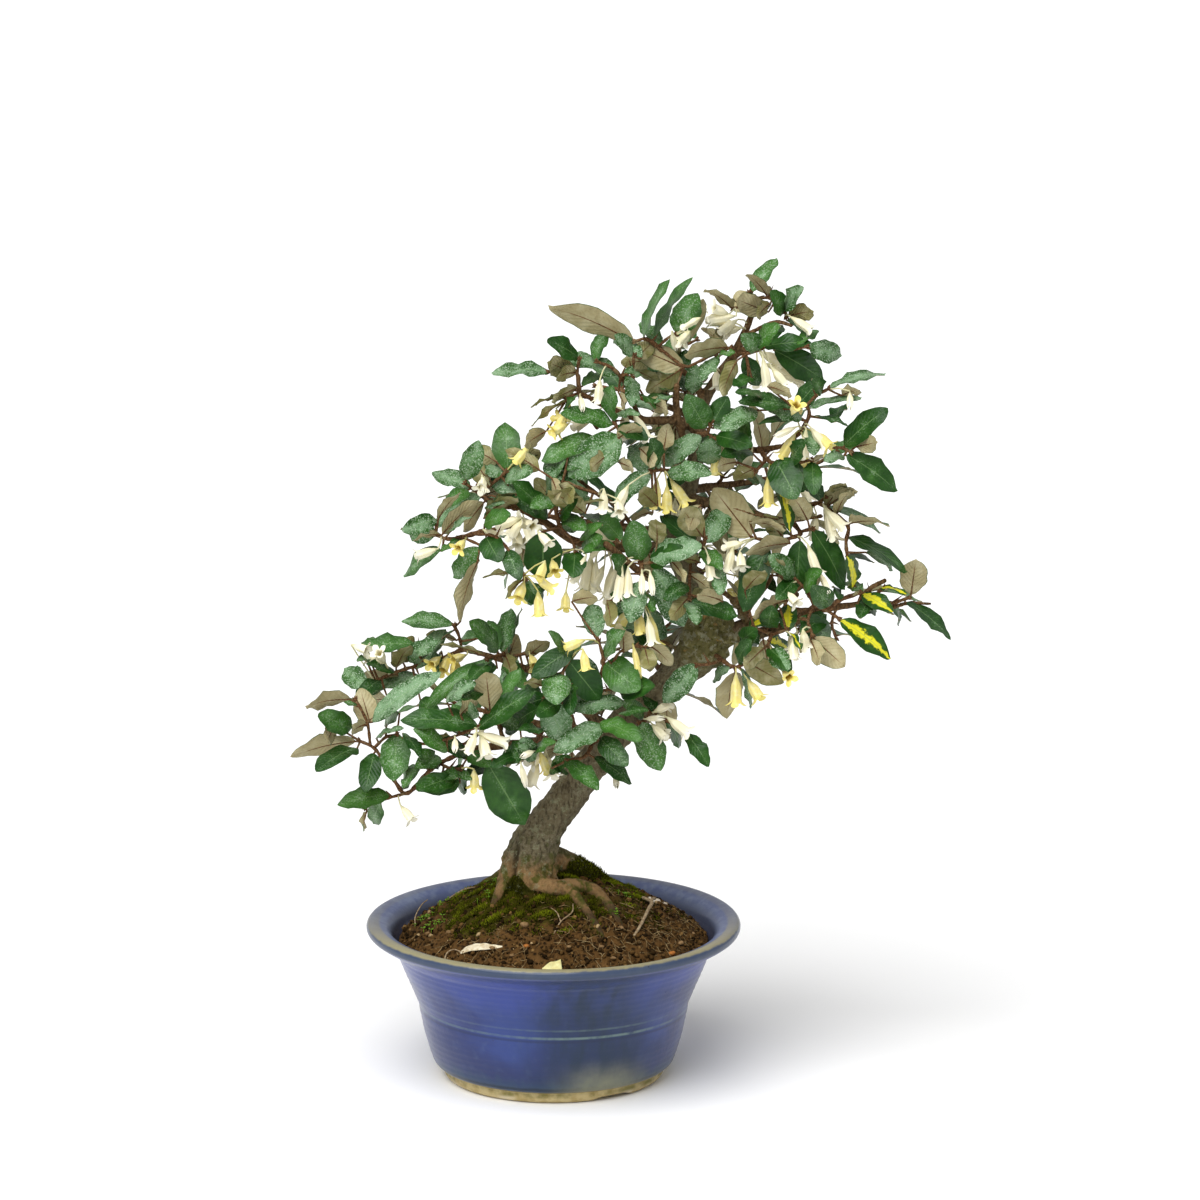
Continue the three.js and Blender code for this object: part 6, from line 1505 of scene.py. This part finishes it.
PETALS = {
    CREAM: petal_finish("cream_petal", (0.9, 0.84, 0.58), (0.96, 0.93, 0.76), (0.62, 0.55, 0.26)),
    YELLOW: petal_finish("yellow_petal", (0.8, 0.69, 0.24), (0.87, 0.75, 0.2), (0.6, 0.42, 0.06)),
}
ALL_TWIGS = [TRUNK, *BRANCHES.values(), *(line for lines in spray_lines.values() for line in lines)]


def add_flowers(name, flowers, slot, replaced=()):
    """One bunch's piece: the bells, and for each a stalk that leaves its twig and bends into the bell. A
    flower is where its stalk springs, its base, its mouth, its size and how far it has opened."""
    springs, starts, mouths, sizes, openness = (np.array(part, float) for part in zip(*flowers))
    along = unit(mouths - starts)
    middle = (springs + starts) / 2 - along * 0.9 + np.array([0, 0, 0.5])
    path = [springs, (springs + middle) / 2, middle, starts - along * 0.6, starts + along * 0.3]
    stalk = stalks(np.stack(path, axis=1), FLOWER_STALK_RADII, 6)
    *bell, depth = bells(starts, mouths, sizes, openness)
    points, faces = joined([stalk, bell])
    marks = {"depth": np.concatenate([np.zeros(len(stalk[0])), depth])}
    piece = add_piece(name, points, faces, [PETALS[slot]], slot, replaced, marks)
    piece.data.set_sharp_from_angle(angle=np.radians(75))


def hung_flower(drawn_flower, depths, length, seed):
    """Bases and mouths of a drawn flower at each of some depths. The part of its length that doesn't show on
    the sheet leans it to the front or the back."""
    across, down, step_across, step_down = drawn_flower
    flat = np.hypot(step_across, step_down) / 2
    reach = 0.8 * np.sqrt(max(length ** 2 - flat ** 2, 1))
    swing = -1 if draw(seed, 6) < 0.6 else 1
    mouth = [(across + step_across, down + step_down, depth + swing * reach) for depth in depths]
    return seen([(across, down, depth) for depth in depths]), seen(mouth)


def numbers_of(text):
    """A drawing's entries as lists of numbers."""
    return [[float(number) for number in entry] for entry in entries(text)]


for bunch_index, (name, (slot, text)) in enumerate(BUNCHES.items()):
    at, *drawn_flowers = numbers_of(text)
    back_side = len(at) > 2
    corners = surface_of(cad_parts[f"flowers_{name}"].data)[0]
    near_twigs = [line for line in ALL_TWIGS if not back_side or line[0, 2] > 0]
    spring, drawn, course, _ = nearest_on(near_twigs, *at[:2])
    depths = drawn[2] - (-1 if back_side else 1) * FLOWER_DEPTHS
    flowers = []
    for index, flower in enumerate(drawn_flowers):
        start, mouth = hung_flower(flower, depths, FLOWER_LENGTH, bunch_index * 10 + index + 500)
        push = matching(start + (mouth - start) * SOLID_MOUTH, corners)
        size = 1 + 0.12 * (draw(bunch_index * 10 + index, 31) - 0.5)
        flowers.append((spring + course * index * 0.25, start[push], mouth[push], size, 1))
    add_flowers(f"bells_{name}", flowers, slot, [f"flowers_{name}"])

front_twigs = [line for line in ALL_TWIGS if line[0, 2] < 30]
for slot, text in SINGLE_FLOWERS.items():
    flowers = []
    for index, (*flower, opened) in enumerate(numbers_of(text)):
        spring, drawn, _, _ = nearest_on(front_twigs, *flower[:2])
        start, mouth = hung_flower(flower, [drawn[2] - 8], SINGLE_LENGTH, index + 700)
        flowers.append((spring, start[0], mouth[0], OPEN_SIZE if opened else CLOSED_SIZE, opened))
    add_flowers(f"single_{slot}", flowers, slot)

# The moss and weeds: cushions of moss round the trunk's foot and over its roots, made of many small upright
# tips, and seedlings with three small bright leaves each. They root in the soil's skin.
MOSS_TIPS = 26000
MOSS_TRIES = 9
MOSS_RADIUS = 72
TIP_WIDE = 0.38
ROOT_MOSS_TIPS = 9000
WEEDS = 60
WEED_BEDS = np.array([
    (-57, 12), (-50, 14), (-62, -13), (-58, -18), (-33, -15), (-31, 5), (36, -4), (32, -30), (-66, 4)])


def moss_spikes(foot, lean, tall, tone, draws):
    """Three-sided spikes: a ring of three corners round each foot, and a tip at foot + lean x tall."""
    turn = draws.uniform(0, 2 * np.pi, (len(foot), 1)) + np.arange(3) * 2.094
    ring = np.stack([np.cos(turn), np.sin(turn), 0 * turn], axis=-1) * TIP_WIDE
    points = np.concatenate([foot[:, None] + ring, (foot + unit(lean) * tall[:, None])[:, None]], axis=1)
    faces = repeated(np.array([[0, 1, 3], [1, 2, 3], [2, 0, 3], [0, 2, 1]]), len(foot), 4)
    return points.reshape(-1, 3), faces, np.repeat(tone, 4), np.tile([0, 0, 0, 1], len(foot))


def moss_on_soil(count, seed):
    """Spikes that stand on the mound where a random number is below the cover, leaning at random. They are
    about 1 to 3 mm tall, and taller in the middle of a cushion."""
    draws = np.random.default_rng(seed)
    x, y = scattered(draws, count * MOSS_TRIES, MOSS_RADIUS)
    clump = 0.5 + 0.5 * lumps(np.stack([x, y, 0 * x], axis=1), 9, seed + 1)
    grows = draws.uniform(0, 1, count * MOSS_TRIES) < moss_cover(x, y) * np.clip(clump * 1.4, 0.15, 1)
    x, y, clump = (part[grows][:count] for part in (x, y, clump))
    cover = moss_cover(x, y)
    tall = (0.9 + 1.5 * draws.uniform(0, 1, len(x)) * cover) * (0.7 + 0.5 * clump)
    foot = np.stack([x, y, mound(x, y) - 0.5 + 1.3 * cover * clump], axis=1)
    lean = draws.normal(size=(len(x), 3)) * 0.45 + np.stack([x / 90, y / 90, np.ones(len(x))], axis=1)
    sunny = np.exp(-((x - 20) ** 2 + (y - 20) ** 2) / 500)
    tone = np.clip(0.45 * clump ** 2 + 0.35 * draws.uniform(0, 1, len(x)) ** 2 + 0.35 * sunny, 0, 1)
    return moss_spikes(foot, lean, tall, tone, draws)


def moss_on_roots(mesh, count, seed):
    """Spikes on the trunk's own points where it is marked mossy, each moved a little aside at random."""
    draws = np.random.default_rng(seed)
    places, normals = surface_of(mesh)
    mossy = np.empty(len(places))
    mesh.attributes["mossy"].data.foreach_get("value", mossy)
    grown = np.flatnonzero(mossy > 0.3)
    pick = grown[draws.integers(0, len(grown), count)]
    pick = pick[draws.uniform(0, 1, count) < mossy[pick]]
    foot = places[pick] + draws.normal(size=(len(pick), 3)) * 0.35
    lean = normals[pick] * 1.2 + draws.normal(size=(len(pick), 3)) * 0.35 + [0, 0, 0.7]
    tall = draws.uniform(0.8, 2.2, len(pick))
    tone = draws.uniform(0, 1, len(pick)) ** 2 * 0.6 + 0.3 * (foot[:, 1] > 0)
    return moss_spikes(foot, lean, tall, tone, draws)


def moss_finish():
    """Moss from brown-olive at the foot to yellow-green at the tips, brighter where it gets light."""
    moss = Finish("cushion_moss", Specular_IOR_Level=0.05)
    tone = moss.attribute("tone")
    height = moss.attribute("height")
    low = moss.mixed((0.018, 0.015, 0.001), (0.045, 0.05, 0.002), tone)
    high = moss.mixed((0.05, 0.052, 0.002), (0.22, 0.26, 0.008), tone.rise(0.25, 0.95))
    return moss.wear(moss.mixed(low, high, height), 0.9)


MOSS = moss_finish()
moss_beds = {
    "cushion_moss": moss_on_soil(MOSS_TIPS, 41),
    "root_moss": moss_on_roots(trunk_mesh, ROOT_MOSS_TIPS, 47),
}
for name, (spikes, corners, tone, height) in moss_beds.items():
    add_piece(name, spikes, corners, [MOSS], "moss", marks={"tone": tone, "height": height})


def weed_leaves(count, seed):
    """Base, tip, upper side and breadth of seed leaves: fans of three strewn about the weeds' beds."""
    draws = np.random.default_rng(seed)
    bed = WEED_BEDS[draws.integers(0, len(WEED_BEDS), count)]
    place = bed + draws.normal(size=(count, 2)) * 2.6
    foot = np.column_stack([place, mound(*place.T) + 0.6 + draws.uniform(0, 2.2, count)])
    foot = np.repeat(foot, 3, axis=0)
    angle = np.tile([0, 2.1, 4.2], count) + np.repeat(draws.uniform(0, 6.28, count), 3)
    out = np.column_stack([np.cos(angle), np.sin(angle), 0.35 + 0 * angle])
    size = np.repeat(draws.uniform(0.9, 2.0, count), 3)[:, None]
    upper = np.column_stack([-out[:, :2] * 0.3, np.ones(len(out))])
    return foot, foot + unit(out) * size, upper, size[:, 0] * 0.7


def weed_finish():
    """Fresh thin green."""
    weed = Finish("seedling_green", Specular_IOR_Level=0.2)
    return weed.wear(weed.mixed((0.09, 0.2, 0.008), (0.2, 0.36, 0.02), weed.noise(4)), 0.6)


weed_base, *weed_rest = weed_leaves(WEEDS, 43)
weed_seeds = np.arange(len(weed_base)) + 900
weed_blades = blades(weed_base, *weed_rest, weed_seeds, 3, 3, arch=0.15, skin=0.12, wave=0.05)
weed_foot = weed_base[::3]
weed_stems = stalks(np.stack([weed_foot - [0, 0, 3], weed_foot - [0, 0.2, 1.5], weed_foot], axis=1),
                    np.array([0.16, 0.15, 0.13]), 4)
add_piece("seedlings", *joined([weed_stems, weed_blades[:3]]), [weed_finish()], "moss")

# Loose things on the soil: a dry curled petal, a fallen yellowish petal, a bare twig that forks, fine
# rootlets and straw, and a few larger pebbles. Each is laid on the mound and sunk a little into the crumbs.

# A petal's line is (x, y, height over the soil, width), a twig's is "x y height-over-the-soil radius", and a
# pebble is (x, y, size, shade).
DRY_PETAL = [
    (-46, -52, 0.8, 1.4), (-41, -53.5, 2.2, 3.4), (-35, -55, 2, 3.8), (-30, -56, 1.2, 2.6),
    (-25, -56.5, 0.5, 0.8),
]
FALLEN_PETAL = [(-5, -73, 0.8, 1.2), (-1, -72.5, 1.4, 4.6), (4.5, -72, 1.8, 6)]
FALLEN_THICK = 0.35
LOOSE_TWIGS = drawn_lines("""
    40.5 -43 0.6 0.7, 44 -34 2.2 0.8, 48 -19 4.2 0.9, 49.5 -10 4.6 1, 45 -3 2.5 0.8
    49 -11 4.4 0.6, 50 -5 4.8 0.7, 51.5 0 4 0.5
    0.5 -52 0.4 0.3, 4 -45 1.6 0.35, 9.5 -39 2.6 0.35, 10 -30 1.4 0.25
    4 -45 1.4 0.3, 2 -39 2 0.3, -1 -34 1 0.25
    -54 -54 0.4 0.35, -53 -49 1.4 0.4, -49.5 -49 1.8 0.4, -45.5 -52 1 0.35
    -56 22 0.6 0.4, -50 17 2 0.5, -44 14 2.4 0.5, -38 12 0.8 0.4
    -70 2 0.2 0.35, -70 6 4 0.35, -67 12 7 0.3, -64 14 7.5 0.25""")
PEBBLES = [
    (59.5, -43, 2.8, 0), (-13, -59, 2.6, 0), (-14, -45, 3.4, 1), (-63, -22, 2.2, 1), (52, 9, 3, 2),
    (56, 12, 2.6, 2), (48, 8, 2.2, 2), (-30, -56, 2.4, 1), (24, -57, 2.2, 1), (70, -12, 2, 1),
    (-52, -32, 2.2, 1), (8, -60, 2, 1), (34, -40, 2.2, 1), (-20, -63, 2, 1), (30, -62, 2.2, 1),
    (-44, -52, 2, 1), (64, -30, 2.4, 1),
]
FIBRES = 420
FIBRE_RADIUS = 74


def ribbon(line, across=7):
    """A closed curled strip that faces up and to the front: line + (c w / 2) side + curl c^2 up with a slow
    twist, its two skins apart by their thickness times (1 - c^4)."""
    line = laid_root(line, 0.7)
    centre, half = line[:, :3], line[:, 3:4] / 2
    along = unit(np.gradient(centre, axis=0))
    side = unit(np.cross(along, [0, -0.8, 0.6]))
    up = np.cross(side, along)
    c = np.linspace(-1, 1, across)
    curl = 0.2 * half * (c * c) + 0.18 * half * np.sin(np.arange(len(line)) * 0.9)[:, None] * c
    middle = centre[:, None] + (half * c)[..., None] * side[:, None] + curl[..., None] * up[:, None]
    shell = (FALLEN_THICK / 2 * (1 - c ** 4))[None, :, None] * up[:, None]
    loop = np.concatenate([middle + shell, (middle - shell)[:, ::-1][:, 1:-1]], axis=1)
    points = np.concatenate([loop.reshape(-1, 3), centre[[0, -1]]])
    return points, [faces[:, ::-1] for faces in capped(*loop.shape[:2])]


def plain_finish(name, first, second, grain_mm, roughness=0.8):
    """One matt stuff in two shades that blend in small clouds."""
    stuff = Finish(name, Specular_IOR_Level=0.15)
    cloud = stuff.noise(grain_mm, 4, 0.6)
    return stuff.wear(stuff.mixed(first, second, cloud.rise(0.35, 0.65)), roughness, cloud, 0.3)


add_piece("dry_petal", *ribbon(DRY_PETAL),
          [plain_finish("dry_petal_skin", (0.75, 0.68, 0.5), (0.5, 0.4, 0.24), 2.5)], "petal_cream")
add_piece("fallen_petal", *ribbon(FALLEN_PETAL),
          [plain_finish("fallen_petal_skin", (0.75, 0.72, 0.36), (0.62, 0.55, 0.24), 3)], "petal_yellow")
add_piece("loose_twigs", *joined([tube(laid_root(line, 1.2), 6) for line in LOOSE_TWIGS]),
          [plain_finish("weathered_twig", (0.2, 0.13, 0.07), (0.36, 0.28, 0.17), 1.5)], "bark")


def loose_fibres(count, seed):
    """Straw and dead rootlets as thin bent stalks that lie on the mound, most of them at the right and in
    front: three points p - d / 2, p + a bend to the side, p + d / 2, each raised a random 0.3 to 1.6 mm."""
    draws = np.random.default_rng(seed)
    x, y = scattered(draws, count * 4, FIBRE_RADIUS, 0.1)
    share = np.clip(0.45 + x / 160 - y / 160, 0, 1) * (1 - 0.5 * moss_cover(x, y))
    keep = draws.uniform(0, 1, count * 4) < share
    x, y = x[keep][:count], y[keep][:count]
    turn = draws.uniform(0, 2 * np.pi, len(x))
    course = np.column_stack([np.cos(turn), np.sin(turn)]) * draws.uniform(2, 8, (len(x), 1))
    bend = np.column_stack([-course[:, 1], course[:, 0]]) * draws.uniform(-0.25, 0.25, (len(x), 1))
    middle = np.column_stack([x, y])
    flat = np.stack([middle - course / 2, middle + bend, middle + course / 2], axis=1)
    flat *= np.minimum(1, (FIBRE_RADIUS + 1) / np.linalg.norm(flat, axis=2, keepdims=True))
    rise = draws.uniform(0.3, 1.6, flat.shape[:2])
    path = np.concatenate([flat, (mound(flat[..., 0], flat[..., 1]) + rise)[..., None]], axis=2)
    return stalks(path, np.array([0.1, 0.18, 0.12]), 4)


fibre_points, *fibre_faces = loose_fibres(FIBRES, 71)
add_piece("loose_fibres", fibre_points, fibre_faces,
          [plain_finish("dead_straw", (0.1, 0.06, 0.022), (0.32, 0.23, 0.11), 6)], "bark")


def pebble_bodies(places, sizes, seed, rows=7, around=10):
    """Pebbles: balls of latitude rows and longitude columns, pushed in and out by lumps and flattened."""
    theta = (np.arange(1, rows + 1) / (rows + 1) * np.pi)[:, None]
    phi = np.arange(around) / around * 2 * np.pi
    shell = np.stack([np.sin(theta) * np.cos(phi), np.sin(theta) * np.sin(phi), np.cos(theta) + 0 * phi])
    shell = np.concatenate([shell.reshape(3, -1).T, [[0, 0, 1], [0, 0, -1]]])
    faces = [part[:, ::-1] for part in capped(rows, around)]
    bodies = []
    for index, (place, size) in enumerate(zip(places, sizes)):
        push = 1 + 0.16 * lumps(shell, 2.2, seed + index, 5)
        bodies.append((shell * push[:, None] * size * np.array([1, 0.85, 0.7]) / 2 * 1.3 + place, *faces))
    return bodies


PEBBLE_SHADES = [
    plain_finish("orange_clay", (0.4, 0.15, 0.03), (0.26, 0.09, 0.02), 1.5),
    plain_finish("tan_grit", (0.26, 0.16, 0.075), (0.14, 0.08, 0.03), 2),
    plain_finish("white_grit", (0.7, 0.62, 0.5), (0.5, 0.42, 0.32), 1.5),
]
pebble_x, pebble_y, pebble_size, pebble_shade = np.array(PEBBLES, float).T
pebble_places = np.column_stack([pebble_x, pebble_y, mound(pebble_x, pebble_y) + 0.25 * pebble_size])
pebbles = pebble_bodies(pebble_places, pebble_size, 61)
pebble_worn = [np.repeat(pebble_shade, len(faces)) for faces in pebbles[0][1:]]
add_piece("pebbles", *joined(pebbles), PEBBLE_SHADES, "soil", worn=np.concatenate(pebble_worn).astype(int))

# The floor and the light: a pale matt floor, one broad soft light from the upper left in front, and an even
# white sky all round.
FLOOR_HALF = 9.0
floor_corners = [(x * FLOOR_HALF, y * FLOOR_HALF, 0) for x, y in ((-1, -1), (1, -1), (1, 1), (-1, 1))]
floor_mesh = bpy.data.meshes.new("floor")
floor_mesh.from_pydata(floor_corners, [], [(0, 1, 2, 3)])
paper = Finish("pale_floor", Specular_IOR_Level=0.0)
paper.wear((0.9, 0.9, 0.9), 1.0)
floor_mesh.materials.append(paper.material)
floor = bpy.data.objects.new("floor", floor_mesh)
bpy.context.collection.objects.link(floor)


def add_sun(name, towards, strength, spread):
    """A sun whose light travels along a direction, softened as if it filled a disc spread degrees wide."""
    light = bpy.data.lights.new(name, "SUN")
    light.energy = strength
    light.angle = np.radians(spread)
    holder = bpy.data.objects.new(name, light)
    holder.rotation_euler = Vector(towards).to_track_quat("-Z", "Y").to_euler()
    bpy.context.collection.objects.link(holder)


add_sun("window", (0.3, 0.62, -0.9), 3.4, 55)
sky = bpy.data.worlds.new("white_sky")
sky.use_nodes = True
sky.node_tree.nodes["Background"].inputs["Color"].default_value = (1, 1, 1, 1)
sky.node_tree.nodes["Background"].inputs["Strength"].default_value = 0.5
bpy.context.scene.world = sky
bpy.context.scene.view_settings.view_transform = "Standard"
